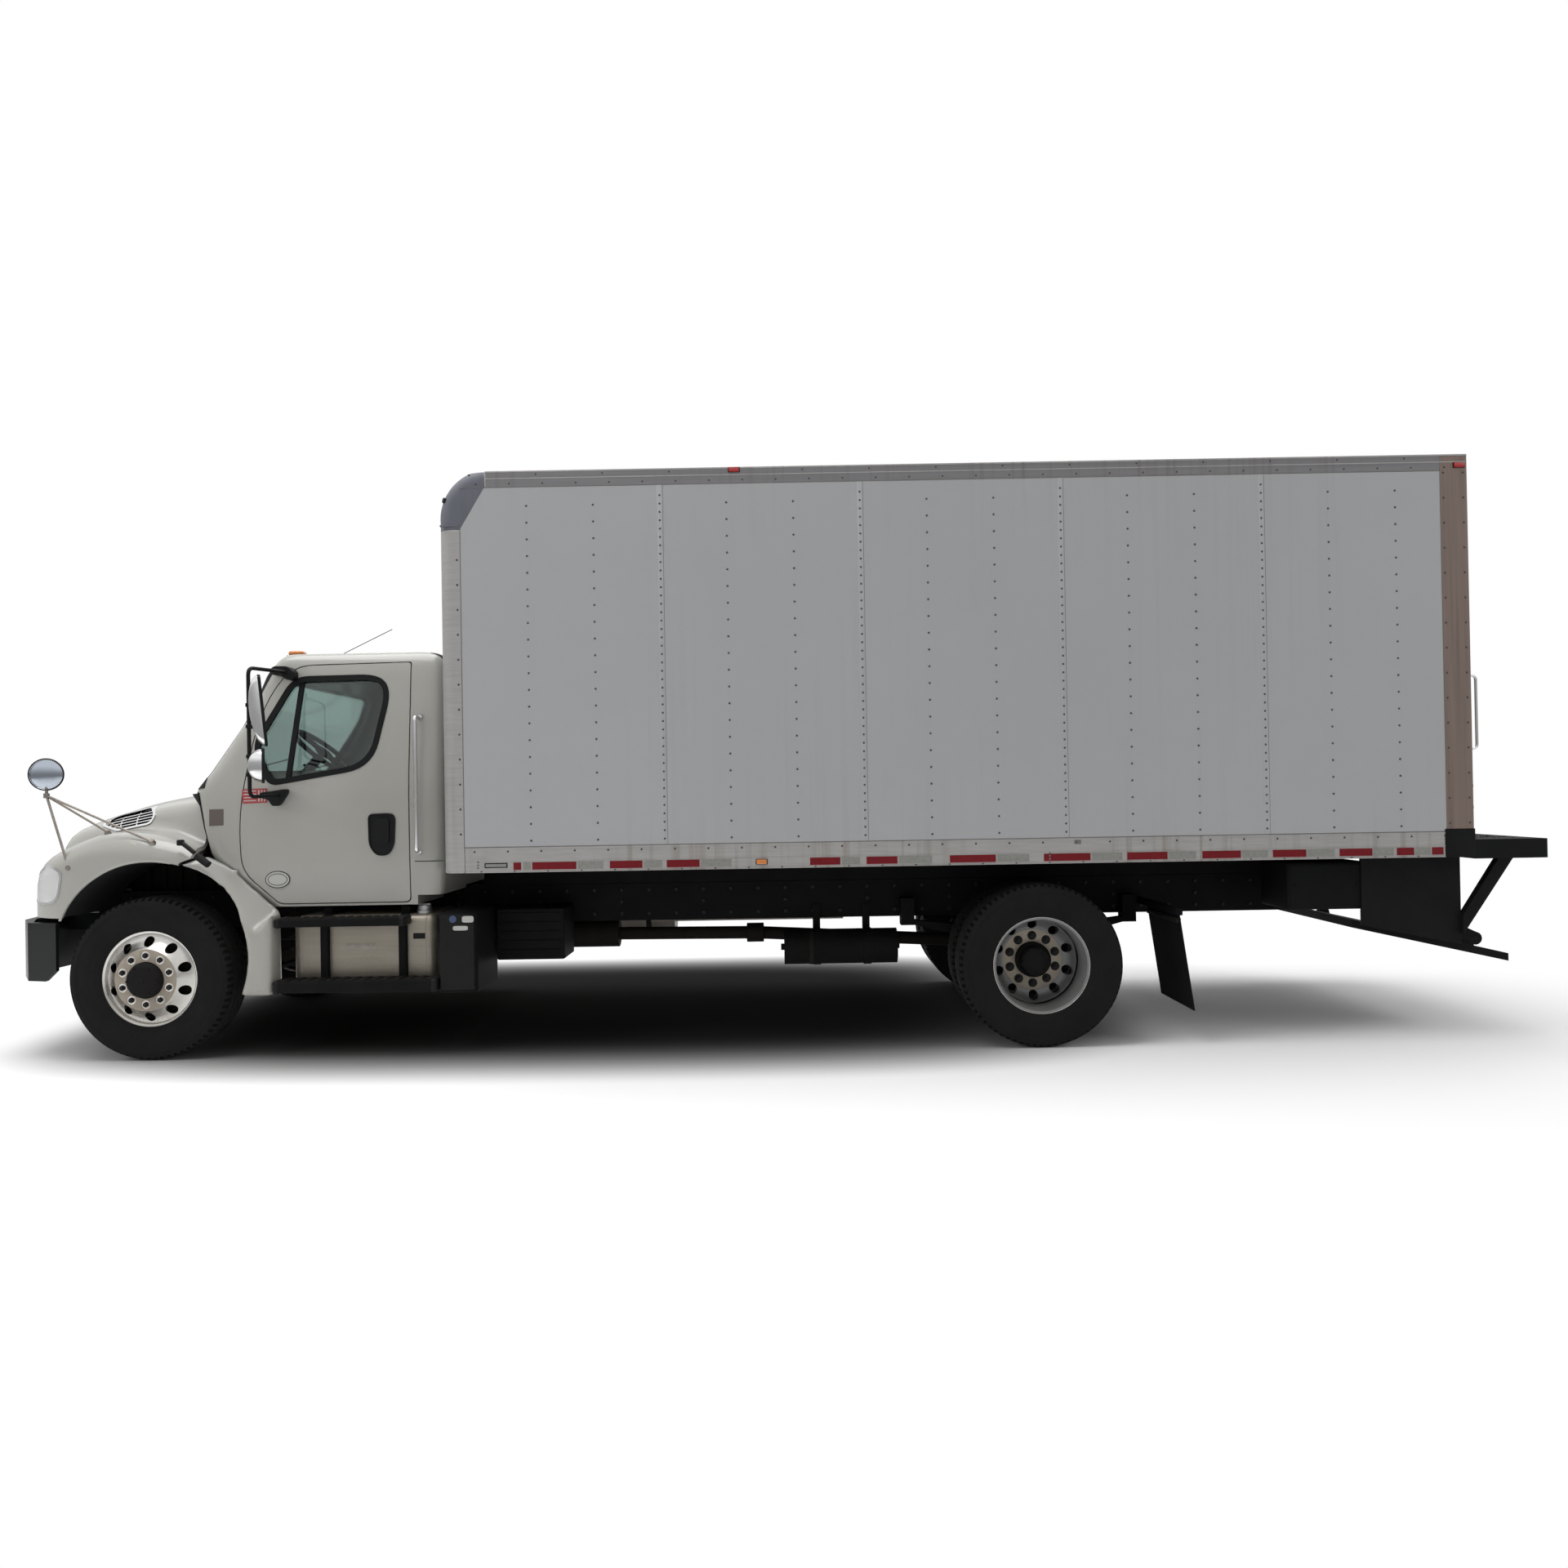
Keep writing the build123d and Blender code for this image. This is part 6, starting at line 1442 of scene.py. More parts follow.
    def vents(self) -> None:
        """Side vents: chrome frame, dark back and bright slats."""
        form = self.form
        slat_lines = []
        for index in range(6):
            front, rear = 1.4775 - 0.0185 * index, 1.5580 - 0.0185 * index
            slat_lines.append((0.001, [(0.56, front), (0.14, rear), (0.14, rear - 0.0055),
                                       (0.56, front - 0.0055)]))
        for x in (0.285, 0.400):
            slat_lines.append((0.004, [(x, 1.38), (x - 0.008, 1.38), (x + 0.012, 1.60), (x + 0.020, 1.60)]))
        for side in Side:
            low, high = side.span(*self.vent_reach)
            beyond = (low - 0.1, high + 0.1)
            ring = sheet(slab(self.vent_outline(0.005), low, high), form.solid(-0.006),
                         form.solid(0.008, 0.82), slab(self.vent_outline(-0.008), *beyond))
            piece(f"vent_frame_{side.word}", ring, Skin.chrome, "hood")
            back = sheet(slab(self.vent_outline(-0.004), low, high), form.solid(0.018),
                         form.solid(0.024, 0.82))
            piece(f"vent_back_{side.word}", back, Skin.trim_black, "hood")
            slats = bmesh.new()
            for depth, line in slat_lines:
                clips = [(form.solid(depth), "INTERSECT"), (form.solid(0.012, 0.82), "DIFFERENCE"),
                         (slab(self.vent_outline(-0.007), *beyond), "INTERSECT")]
                absorb(slats, cut(slab(from_axle(line), low, high), clips))
            piece(f"vent_slats_{side.word}", slats, Skin.chrome, "hood")

    def nose(self) -> None:
        """Grille surround, bars and mesh behind them."""
        bm = bmesh.new()
        outline = rounded([(-0.518, 0.937), (0.518, 0.937), (0.498, 1.163), (-0.498, 1.163)], 0.05)
        prism(bm, outline, XF + 0.911, XF + 0.9345, 0)
        mouth = rounded([(-0.494, 0.959), (0.494, 0.959), (0.478, 1.141), (-0.478, 1.141)], 0.04)
        ring = cut(bm, [(slab(mouth, XF + 0.90, XF + 0.95, 0), "DIFFERENCE")])
        rounding(piece("grille_surround", ring, Skin.chrome, "hood", ("grille",)), 0.004, 3)
        bars, back = bmesh.new(), bmesh.new()
        for index in range(6):
            z = 0.982 + 0.0272 * index
            axle_block(bars, (0.914, 0.930), (-0.487, 0.487), (z - 0.006, z + 0.006), 0.003)
        for y in (-0.32, -0.16, 0.0, 0.16, 0.32):
            axle_block(bars, (0.912, 0.924), (y - 0.004, y + 0.004), (0.955, 1.145), 0.001)
        piece("grille_bars", bars, Skin.chrome, "hood")
        axle_block(back, (0.892, 0.900), (-0.515, 0.515), (0.93, 1.17), 0.002)
        piece("grille_back", back, Skin.trim_black, "hood")

    def latches(self) -> None:
        """Rubber straps that hold the hood down, and the black seams beside them."""
        for side in Side:
            sign = side.value
            bm = bmesh.new()
            tube(bm, [(XF - 0.200, sign * 1.150, 1.335), (XF - 0.240, sign * 1.168, 1.312),
                      (XF - 0.292, sign * 1.170, 1.270)], 0.013, 10, 0.03)
            axle_block(bm, (-0.214, -0.180), side.span(1.130, 1.172), (1.315, 1.352), 0.008)
            piece(f"hood_latch_{side.word}", bm, Skin.trim_black, "hood")
            keep = bmesh.new()
            tube(keep, [(XF - 0.295, sign * 1.150, 1.250), (XF - 0.375, sign * 1.165, 1.196)], 0.022, 10)
            piece(f"latch_keeper_{side.word}", keep, Skin.trim_black)

    def mirrors(self) -> None:
        """Round convex mirrors on bright tripods at the fenders' front corners."""
        for side in Side:
            sign = side.value
            apex = (XF + 0.659, sign * 1.100, 1.636)
            bm = bmesh.new()
            for foot, out in (((XF + 0.485, sign * 1.166, 1.190), (0.0, sign, 0.15)),
                              ((XF - 0.015, sign * 1.142, 1.342), (0.0, sign * 0.6, 0.8)),
                              ((XF + 0.343, sign * 1.000, 1.402), (0.0, sign * 0.2, 1.0))):
                tube(bm, [foot, apex], 0.0075, 10)
                base = Vector(foot) - Vector(out) * 0.012
                disc(bm, tuple(base), out, 0.022, 0.024, 20, 0.015)
            tube(bm, [apex, (XF + 0.659, sign * 1.100, 1.700)], 0.009, 12)
            disc(bm, (apex[0], apex[1], apex[2] - 0.015), UP, 0.017, 0.03, 16)
            piece(f"hood_mirror_arm_{side.word}", bm, Skin.dull_chrome, "hood",
                  ("hood_mirrors",) if side is Side.LEFT else ())
            facing = Vector((-0.26, 0.96 * sign, 0.0)).normalized()
            turn = Vector(ACROSS).rotation_difference(facing).to_matrix().to_4x4()
            place = Matrix.Translation((XF + 0.671, sign * 1.057, 1.768)) @ turn
            case = [(0.0, 0.0), (0.004, 0.045), (0.018, 0.078), (0.036, 0.094), (0.046, 0.098),
                    (0.052, 0.096), (0.049, 0.092), (0.044, 0.091), (0.044, 0.0)]
            glass = [(0.042, 0.0), (0.042, 0.0915), (0.046, 0.0915), (0.0535, 0.076), (0.0595, 0.052),
                     (0.0632, 0.026), (0.0645, 0.0)]
            rim = [(0.043, 0.097), (0.048, 0.101), (0.054, 0.097), (0.050, 0.0925)]
            # the glass takes the mirror finish with painted shade
            for name, profile, finish in (("case", case, Skin.chrome), ("glass", glass, Skin.dark_mirror),
                                          ("rim", rim, Skin.trim_black)):
                head = bmesh.new()
                lathe(head, profile, (0.0, 0.0, 0.0), 48, name == "rim")
                if name != "rim":
                    bmesh.ops.remove_doubles(head, verts=head.verts[:], dist=WELD)
                bmesh.ops.transform(head, matrix=place, verts=head.verts[:])
                piece(f"hood_mirror_{name}_{side.word}", head, finish, "hood")

    def build(self) -> None:
        """Build the hood."""
        self.skin()
        self.liners()
        self.lamps()
        self.vents()
        self.nose()
        self.latches()
        self.mirrors()


# ---------------------------------------------------------------- wheels
@dataclass
class Tyre:
    """A tyre centred on its own middle plane, with ribs, shoulder notches and sidewall rings."""

    radius: float = 0.500
    half: float = 0.140
    bead: float = 0.290
    notches: int = 72

    def profile(self) -> list[Pair]:
        """Draw half the outline, from the middle groove over the shoulder to the bead.

        Returns:
            Points of (distance from the middle plane, radius).
        """
        r, h = self.radius, self.half
        deep = r - 0.012
        return [(0.0, r), (0.0215, r), (0.0235, deep), (0.0315, deep), (0.0335, r - 0.0005),
                (0.073, r - 0.002), (0.075, deep - 0.001), (0.084, deep - 0.001), (0.086, r - 0.003),
                (0.110, r - 0.005), (0.121, r - 0.010), (0.128, r - 0.020), (0.134, r - 0.045),
                (0.1355, r - 0.048), (0.1345, r - 0.051), (0.138, r - 0.075), (h - 0.0005, r - 0.098),
                (h, r - 0.108), (h - 0.001, r - 0.118), (0.1365, r - 0.145), (0.133, r - 0.158),
                (0.1335, r - 0.161), (0.1325, r - 0.164), (0.127, r - 0.185), (0.1235, self.bead + 0.014),
                (0.1205, self.bead + 0.011), (0.119, self.bead + 0.004), (0.114, self.bead),
                (0.104, self.bead - 0.004)]

    def build(self, name: str, centres: list[Triple], body: str, node: str) -> None:
        """Lathe the tyres and press the shoulder notches.

        Args:
            name: the piece's name.
            centres: the tyres' middles.
            body: the body that they turn with.
            node: the CAD node that they replace.
        """
        whole = bmesh.new()
        for centre in centres:
            bm = bmesh.new()
            side = self.profile()
            outline = [(-y, r) for y, r in reversed(side[1:])] + side
            lathe(bm, outline, centre, self.notches * 2)
            hub = Vector(centre)
            picked = []
            for face in bm.faces:
                spot = face.calc_center_median() - hub
                out = math.hypot(spot.x, spot.z)
                turn = int(math.floor((math.atan2(spot.z, spot.x) / math.tau) * self.notches * 2 + 0.01))
                ahead = turn % 2 == (0 if spot.y > 0 else 1)
                if ahead and out > self.radius - 0.016 and 0.087 < abs(spot.y) < 0.125:
                    picked.append(face)
            bmesh.ops.inset_individual(bm, faces=picked, thickness=0.0012, depth=-0.009)
            absorb(whole, bm)
        piece(name, whole, Skin.tyre, body, (node,), 28.0)


@dataclass
class WheelSet:
    """Rims, discs, nuts and hubs. Lengths along Y run outwards from the truck's middle."""

    holes: int = 10
    studs: float = 0.1495
    lip: float = 0.302
    half: float = 0.118
    front_y: float = 1.04
    rear_y: Pair = (1.08, 0.76)

    def turned(self, bm: BMesh, profile: list[Pair], centre: Triple, sign: float, steps: int = 80) -> None:
        """Lathe a closed profile about an axle.

        Args:
            bm: the mesh that the shape joins.
            profile: points of (outward Y, radius).
            centre: a point on the axle line.
            sign: the side's sign.
            steps: faces round the shape.
        """
        fresh = bmesh.new()
        lathe(fresh, [(sign * y - centre[1], r) for y, r in profile], centre, steps)
        bmesh.ops.recalc_face_normals(fresh, faces=fresh.faces[:])
        absorb(bm, fresh)

    def holed(self, bm: BMesh, centre: Triple, sign: float, y: float, circle: float, size: float,
              count: int, phase: float) -> BMesh:
        """Bore a ring of holes through a disc.

        Args:
            bm: the disc, which is freed.
            centre: the wheel's middle.
            sign: the side's sign.
            y: where the disc lies, outwards from the middle.
            circle: radius of the circle of holes.
            size: a hole's radius.
            count: how many holes there are.
            phase: the first hole's angle.

        Returns:
            The bored disc.
        """
        low = min(sign * (y - 0.08), sign * (y + 0.08))
        tool = bmesh.new()
        for k in range(count):
            angle = phase + math.tau * k / count
            disc(tool, (centre[0] + circle * math.cos(angle), low, centre[2] + circle * math.sin(angle)),
                 (0.0, 1.0, 0.0), size, 0.16, 24)
        return cut(bm, [(tool, "DIFFERENCE")])

    def rim(self, bm: BMesh, centre: Triple, sign: float, middle: float) -> None:
        """Add a drop-centre rim between its two lips.

        Args:
            bm: the mesh that the rim joins.
            centre: the wheel's middle.
            sign: the side's sign.
            middle: the rim's middle plane, outwards from the truck's middle.
        """
        h, lip = self.half, self.lip
        well = [(0.03, 0.264), (h - 0.030, 0.272), (h - 0.006, lip - 0.022), (h, lip - 0.007)]
        seat = [(h, lip), (h - 0.004, lip + 0.003), (h - 0.012, lip - 0.001), (h - 0.014, lip - 0.016),
                (h - 0.045, 0.286)]
        outline = well + seat + [(-y, r) for y, r in reversed(well + seat)]
        self.turned(bm, [(middle + y, r) for y, r in outline], centre, sign, 96)

    def nuts(self, centre: Triple, sign: float, face: float, name: str, body: str) -> None:
        """Make ten wheel nuts with their washers and studs.

        Args:
            centre: the wheel's middle.
            sign: the side's sign.
            face: where they sit, outwards from the middle.
            name: the piece's name.
            body: the wheel's body.
        """
        bm = bmesh.new()
        for k in range(10):
            angle = math.tau * (k + 0.5) / 10
            x, z = centre[0] + self.studs * math.cos(angle), centre[2] + self.studs * math.sin(angle)
            axis = (0.0, sign, 0.0)
            disc(bm, (x, sign * (face - 0.001), z), axis, 0.0285, 0.005, 24)
            disc(bm, (x, sign * (face + 0.003), z), axis, 0.0178, 0.016, 6, 0.0172)
            disc(bm, (x, sign * (face + 0.014), z), axis, 0.0105, 0.016, 12)
        piece(name, bm, Skin.nut, body, angle=CRISP)

    def turned_piece(self, name: str, profile: list[Pair], centre: Triple, sign: float, steps: int,
                     finish: Finish, body: str) -> None:
        """Lathe a profile about an axle and make a piece of it.

        Args:
            name: the piece's name.
            profile: points of (outward Y, radius).
            centre: a point on the axle line.
            sign: the side's sign.
            steps: faces round the shape.
            finish: its finish.
            body: the wheel's body.
        """
        bm = bmesh.new()
        self.turned(bm, profile, centre, sign, steps)
        piece(name, bm, finish, body)

    def stud_plate(self, name: str, profile: list[Pair], centre: Triple, sign: float, bore: Pair,
                   finish: Finish, body: str) -> None:
        """Make the flat ring under the nuts, with its stud holes.

        Args:
            name: the piece's name.
            profile: points of (outward Y, radius).
            centre: the wheel's middle.
            sign: the side's sign.
            bore: where the holes lie, and their radius.
            finish: its finish.
            body: the wheel's body.
        """
        flat = bmesh.new()
        self.turned(flat, profile, centre, sign, 96)
        flat = self.holed(flat, centre, sign, bore[0], self.studs, bore[1], 10, math.tau / 20)
        piece(name, flat, finish, body)

    def hub(self, name: str, profile: list[Pair], centre: Triple, sign: float, bolts: tuple,
            body: str) -> None:
        """Make a hub cap with a ring of bolts.

        Args:
            name: the piece's name.
            profile: points of (outward Y, radius).
            centre: the wheel's middle.
            sign: the side's sign.
            bolts: their count, circle, place, radius and length.
            body: the wheel's body.
        """
        count, circle, y, size, depth = bolts
        cap = bmesh.new()
        self.turned(cap, profile, centre, sign, 72)
        bmesh.ops.remove_doubles(cap, verts=cap.verts[:], dist=WELD)
        for k in range(count):
            angle = math.tau * k / count
            spot = (centre[0] + circle * math.cos(angle), sign * y, centre[2] + circle * math.sin(angle))
            disc(cap, spot, (0.0, sign, 0.0), size, depth, 6)
        piece(name, cap, Skin.hub_black, body)

    def front(self, side: Side) -> None:
        """Make a polished front wheel with a stud face that stands proud, and a flat black cap.

        Args:
            side: the wheel's side.
        """
        sign = float(side.value)
        centre = (XF, sign * self.front_y, AXLE_Z)
        body = f"front_{side.word}_wheel"
        bm = bmesh.new()
        self.rim(bm, centre, sign, self.front_y)
        bowl = [(1.126, 0.281), (1.138, 0.274), (1.140, 0.262), (1.144, 0.248), (1.152, 0.236),
                (1.162, 0.224), (1.176, 0.209), (1.189, 0.196), (1.197, 0.190), (1.200, 0.186),
                (1.200, 0.112), (1.176, 0.112), (1.176, 0.182), (1.166, 0.194), (1.146, 0.214),
                (1.128, 0.236), (1.120, 0.256), (1.112, 0.270), (1.110, 0.276)]
        plate = bmesh.new()
        self.turned(plate, bowl, centre, sign, 120)
        absorb(bm, self.holed(plate, centre, sign, 1.158, 0.2305, 0.0305, self.holes, math.pi / 10))
        rounding(piece(f"front_rim_{side.word}", bm, Skin.polished, body, (f"wheel_front_{side.word}",),
                       26.0), 0.0022, 2, 50.0)
        flat = [(1.1995, 0.1125), (1.2015, 0.1125), (1.2022, 0.1135), (1.2022, 0.187), (1.2015, 0.1885),
                (1.1985, 0.1885)]
        drum = [(0.930, 0.120), (1.086, 0.120), (1.092, 0.130), (1.092, 0.235), (1.086, 0.246),
                (0.930, 0.250)]
        cap = [(1.190, 0.0), (1.258, 0.0), (1.258, 0.018), (1.255, 0.021), (1.252, 0.046), (1.249, 0.080),
               (1.243, 0.094), (1.232, 0.102), (1.206, 0.107), (1.203, 0.112), (1.190, 0.112)]
        word = side.word
        self.stud_plate(f"front_stud_face_{word}", flat, centre, sign, (1.20, 0.0272), Skin.stud_face, body)
        self.turned_piece(f"front_drum_{word}", drum, centre, sign, 72, Skin.iron, body)
        self.nuts(centre, sign, 1.188, f"front_nuts_{word}", body)
        self.hub(f"front_hub_{word}", cap, centre, sign, (6, 0.088, 1.244, 0.008, 0.008), body)

    def rear(self, side: Side) -> None:
        """Make twin rear wheels back to back: a deep grey dish, a cream stud face painted lighter against
        the dish's shade, a dark hub.

        Args:
            side: the wheels' side.
        """
        sign = float(side.value)
        body = f"rear_{side.word}_wheels"
        centre = (XR, sign * self.rear_y[0], AXLE_Z)
        bm = bmesh.new()
        for middle in self.rear_y:
            self.rim(bm, centre, sign, middle)
        for face, way in ((0.920, 1.0), (0.918, -1.0)):
            depths = ((0.050, 0.268), (0.062, 0.2655), (0.074, 0.262), (0.068, 0.256), (0.046, 0.246),
                      (0.026, 0.228), (0.014, 0.206), (0.010, 0.192), (0.010, 0.110), (0.0, 0.110),
                      (0.0, 0.194), (0.006, 0.214), (0.018, 0.236), (0.034, 0.254))
            plate = bmesh.new()
            self.turned(plate, [(face + way * depth, radius) for depth, radius in depths], centre, sign,
                        120)
            absorb(bm, self.holed(plate, centre, sign, face, 0.2240, 0.0300, self.holes, math.pi / 10))
        rounding(piece(f"rear_rims_{side.word}", bm, Skin.grey_rim, body, (f"wheels_rear_{side.word}",),
                       26.0), 0.002, 2, 50.0)
        lip = [(1.1975, 0.291), (1.1990, 0.292), (1.1992, 0.2985), (1.1978, 0.3035), (1.1945, 0.3045),
               (1.1950, 0.300)]
        flat = [(0.9295, 0.1105), (0.9325, 0.1105), (0.9330, 0.1115), (0.9330, 0.189), (0.9322, 0.1905),
                (0.9295, 0.1905)]
        drum = [(0.600, 0.120), (0.826, 0.120), (0.832, 0.130), (0.832, 0.232), (0.826, 0.242),
                (0.600, 0.246)]
        cap = [(0.915, 0.0), (1.052, 0.0), (1.052, 0.030), (1.049, 0.060), (1.042, 0.084), (1.030, 0.092),
               (0.985, 0.096), (0.980, 0.108), (0.936, 0.109), (0.930, 0.1095), (0.915, 0.1095)]
        word = side.word
        self.turned_piece(f"rear_lip_{word}", lip, centre, sign, 96, Skin.polished, body)
        # the rear stud face takes the copy with painted light
        self.stud_plate(f"rear_stud_face_{word}", flat, centre, sign, (0.931, 0.0262), Skin.stud_face_deep,
                        body)
        self.turned_piece(f"rear_drum_{word}", drum, centre, sign, 72, Skin.iron, body)
        self.nuts(centre, sign, 0.930, f"rear_nuts_{word}", body)
        self.hub(f"rear_hub_{word}", cap, centre, sign, (8, 0.074, 1.043, 0.0085, 0.012), body)

    def build(self) -> None:
        """Build every wheel and tyre."""
        tyre = Tyre()
        for side in Side:
            sign, word = float(side.value), side.word
            self.front(side)
            self.rear(side)
            tyre.build(f"front_tyre_{word}", [(XF, sign * self.front_y, AXLE_Z)], f"front_{word}_wheel",
                       f"tyre_front_{word}")
            tyre.build(f"rear_tyres_{word}", [(XR, sign * y, AXLE_Z) for y in self.rear_y],
                       f"rear_{word}_wheels", f"tyres_rear_{word}")


# ---------------------------------------------------------------- van body
@dataclass
class VanBody:
    """Rivets, seams, tape, lamps and rails of the van body. Places are from the front axle."""

    half: float = 1.220
    front: float = -1.825
    rear: float = -8.095
    first_post: float = -2.371
    pitch: float = 0.4064
    posts: int = 14
    sparse: float = 0.1020
    dense: float = 0.0510
    climb: float = 0.152
    rail_top: float = 1.277
    top_rail: float = 3.467
    corner: float = 0.166
    nose: float = 0.30
    slat_pitch: float = 0.2225
    lift_pivot: Pair = (-7.620, 0.860)

    def strip(self, bm: BMesh, side: Side, along: Pair, up: Pair, sunk: float, proud: float,
              edge: float = 0.0, segments: int = 2) -> None:
        """Lay a flat block on a side wall.

        Args:
            bm: the mesh that the block joins.
            side: the wall's side.
            along: the block's X limits.
            up: its lowest and highest points.
            sunk: how deep it reaches under the sheet's face.
            proud: how far it stands off the sheet's face.
            edge: the rounding of its edges.
            segments: faces across the rounding.
        """
        axle_block(bm, along, side.span(self.half - sunk, self.half + proud), up, edge, segments)

    def stud(self, bm: BMesh, side: Side, x: float, z: float, size: float) -> None:
        """Set a rivet head on a side wall.

        Args:
            bm: the mesh that it joins.
            side: the wall's side.
            x: its place from the front axle.
            z: its height.
            size: its radius.
        """
        disc(bm, (XF + x, side.value * (self.half - 0.001), z), (0.0, side.value, 0.0), size, 0.0042, 8,
             size * 0.6)

    def rivets(self) -> None:
        """Rivet columns over the posts, dense ones at the sheet joints, and rows along the rails."""
        tall = self.top_rail - self.rail_top - 0.06
        long = self.front - self.rear - 0.30
        for side in Side:
            panel, metal = bmesh.new(), bmesh.new()
            for index in range(self.posts):
                gap = self.dense if index % 3 == 2 else self.sparse
                for step in range(int(tall / gap) + 1):
                    self.stud(panel, side, self.first_post - self.pitch * index,
                              self.rail_top + 0.035 + gap * step, 0.0078)
            for shift, gap, height in ((0.0, 0.2032, self.rail_top - 0.028), (0.04, 0.2032, 1.128),
                                       (0.0, 0.4064, 3.545), (0.04, 0.2032, self.top_rail + 0.022)):
                for step in range(int(long / gap) + 1):
                    self.stud(metal, side, self.front - 0.20 - gap * step - shift, height, 0.0072)
            for step in range(12):
                self.stud(metal, side, self.front - 0.118, self.rail_top + 0.08 + self.climb * step, 0.0075)
            for step in range(15):
                for inset in (0.025, 0.145):
                    self.stud(metal, side, self.rear + inset, self.rail_top + 0.05 + self.climb * step,
                              0.0075)
            piece(f"panel_rivets_{side.word}", panel, Skin.rivet, angle=60.0)
            piece(f"rail_rivets_{side.word}", metal, Skin.rivet_bright, angle=60.0)

    def seams(self) -> None:
        """Lapped sheet joints, raised a little, and the dark lines at posts and rails."""
        wall = (self.rail_top, self.top_rail)
        for side in Side:
            laps, lines = bmesh.new(), bmesh.new()
            for index in range(2, self.posts, 3):
                x = self.first_post - self.pitch * index
                self.strip(laps, side, (x - 0.018, x + 0.018), wall, 0.002, 0.0006, 0.0005)
                self.strip(lines, side, (x - 0.0195, x - 0.0180), wall, 0.001, 0.0010)
            self.strip(lines, side, (self.front - 0.1415, self.front - 0.1385), (self.rail_top, 3.215),
                       0.002, 0.0008)
            self.strip(lines, side, (self.rear + 0.1645, self.rear + 0.1675), wall, 0.002, 0.0008)
            for height in wall:
                self.strip(lines, side, (self.rear + self.corner, self.front - 0.14),
                           (height - 0.0015, height + 0.0015), 0.002, 0.0008)
            piece(f"sheet_laps_{side.word}", laps, Skin.box_skin)
            piece(f"body_seams_{side.word}", lines, Skin.seam)

    def rails(self) -> None:
        """Raised beads along the top and bottom rails."""
        beads, faces, feet = bmesh.new(), bmesh.new(), bmesh.new()
        for side in Side:
            for height, tall in ((3.562, 0.010), (3.520, 0.006), (1.268, 0.007), (1.190, 0.004),
                                 (1.134, 0.004), (1.1235, 0.005)):
                end = self.front - (self.nose if height > 3.0 else 0.142)
                self.strip(beads, side, (self.rear + 0.002, end), (height - tall / 2, height + tall / 2),
                           0.002, 0.0028, 0.001)
            self.strip(faces, side, (self.rear + self.corner, self.front - self.nose), (3.4715, 3.5665),
                       0.003, 0.0012, 0.001, 1)
            self.strip(feet, side, (self.rear - 0.004, self.rear + 0.178), (1.118, 1.292), 0.070, 0.004,
                       0.003)
        piece("rail_beads", beads, Skin.bright)
        piece("top_rail_faces", faces, Skin.top_rail)
        piece("post_feet", feet, Skin.deck)

    def tape(self) -> None:
        """Red and silver reflective tape along both bottom rails."""
        red = [(-2.261, -2.307), (-2.375, -2.643), (-2.847, -3.045), (-3.193, -3.392), (-4.064, -4.248),
               (-4.407, -4.595), (-4.913, -5.192), (-5.484, -5.766), (-5.989, -6.233), (-6.445, -6.678),
               (-6.872, -7.074), (-7.276, -7.474), (-7.623, -7.727), (-7.836, -7.905)]
        silver = [(-2.321, -2.365), (-2.653, -2.807), (-3.055, -3.164), (-3.402, -3.586), (-4.258, -4.367),
                  (-4.605, -4.805), (-5.202, -5.394), (-5.776, -5.959), (-6.243, -6.406), (-6.688, -6.842),
                  (-7.084, -7.246), (-7.484, -7.603), (-7.737, -7.826)]
        for side in Side:
            for name, spans, finish in (("red", red, Skin.red), ("silver", silver, Skin.silver)):
                bm = bmesh.new()
                for start, stop in spans:
                    self.strip(bm, side, (stop, start), (1.131, 1.181), 0.001, 0.0018)
                piece(f"tape_{name}_{side.word}", bm, finish)

    def lamps(self) -> None:
        """Side and roof marker lamps, in dark rims."""
        rims, amber, red = bmesh.new(), bmesh.new(), bmesh.new()
        for side in Side:
            for x, z, lens in ((-3.770, 1.161, amber), (-3.640, 3.5505, red),
                               (self.rear + 0.05, 3.500, red)):
                for bm, wide, proud in ((rims, 0.036, 0.004), (lens, 0.031, 0.012)):
                    tall = wide * 0.46
                    self.strip(bm, side, (x - wide, x + wide), (z - tall, z + tall), 0.001, proud, 0.003)
        piece("marker_rims", rims, Skin.trim_black)
        piece("side_markers_amber", amber, Skin.amber)
        piece("side_markers_red", red, Skin.red_lens)
        front = bmesh.new()
        for y in (-1.08, -0.22, 0.0, 0.22, 1.08):
            axle_block(front, (self.front - 0.175, self.front - 0.125), (y - 0.05, y + 0.05),
                       (3.515, 3.545), 0.008)
        piece("nose_markers", front, Skin.amber)

    def plates(self) -> None:
        """Blank outlined plate and small labels on the left bottom rail, with none of their text."""
        edge, face, small = bmesh.new(), bmesh.new(), bmesh.new()
        self.strip(edge, Side.LEFT, (-2.225, -2.085), (1.150, 1.180), 0.001, 0.0020, 0.003)
        self.strip(face, Side.LEFT, (-2.219, -2.091), (1.1555, 1.1745), 0.001, 0.0026, 0.002)
        piece("rail_plate_edge", edge, Skin.trim_black)
        piece("rail_plate_face", face, Skin.silver)
        for x in (-2.045, -5.520):
            for row in range(3):
                disc(small, (XF + x, self.half - 0.001, 1.150 + 0.018 * row), ACROSS, 0.006, 0.004, 12)
        self.strip(small, Side.LEFT, (-5.71, -5.67), (1.236, 1.262), 0.001, 0.002, 0.001)
        piece("rail_labels", small, Skin.seam)

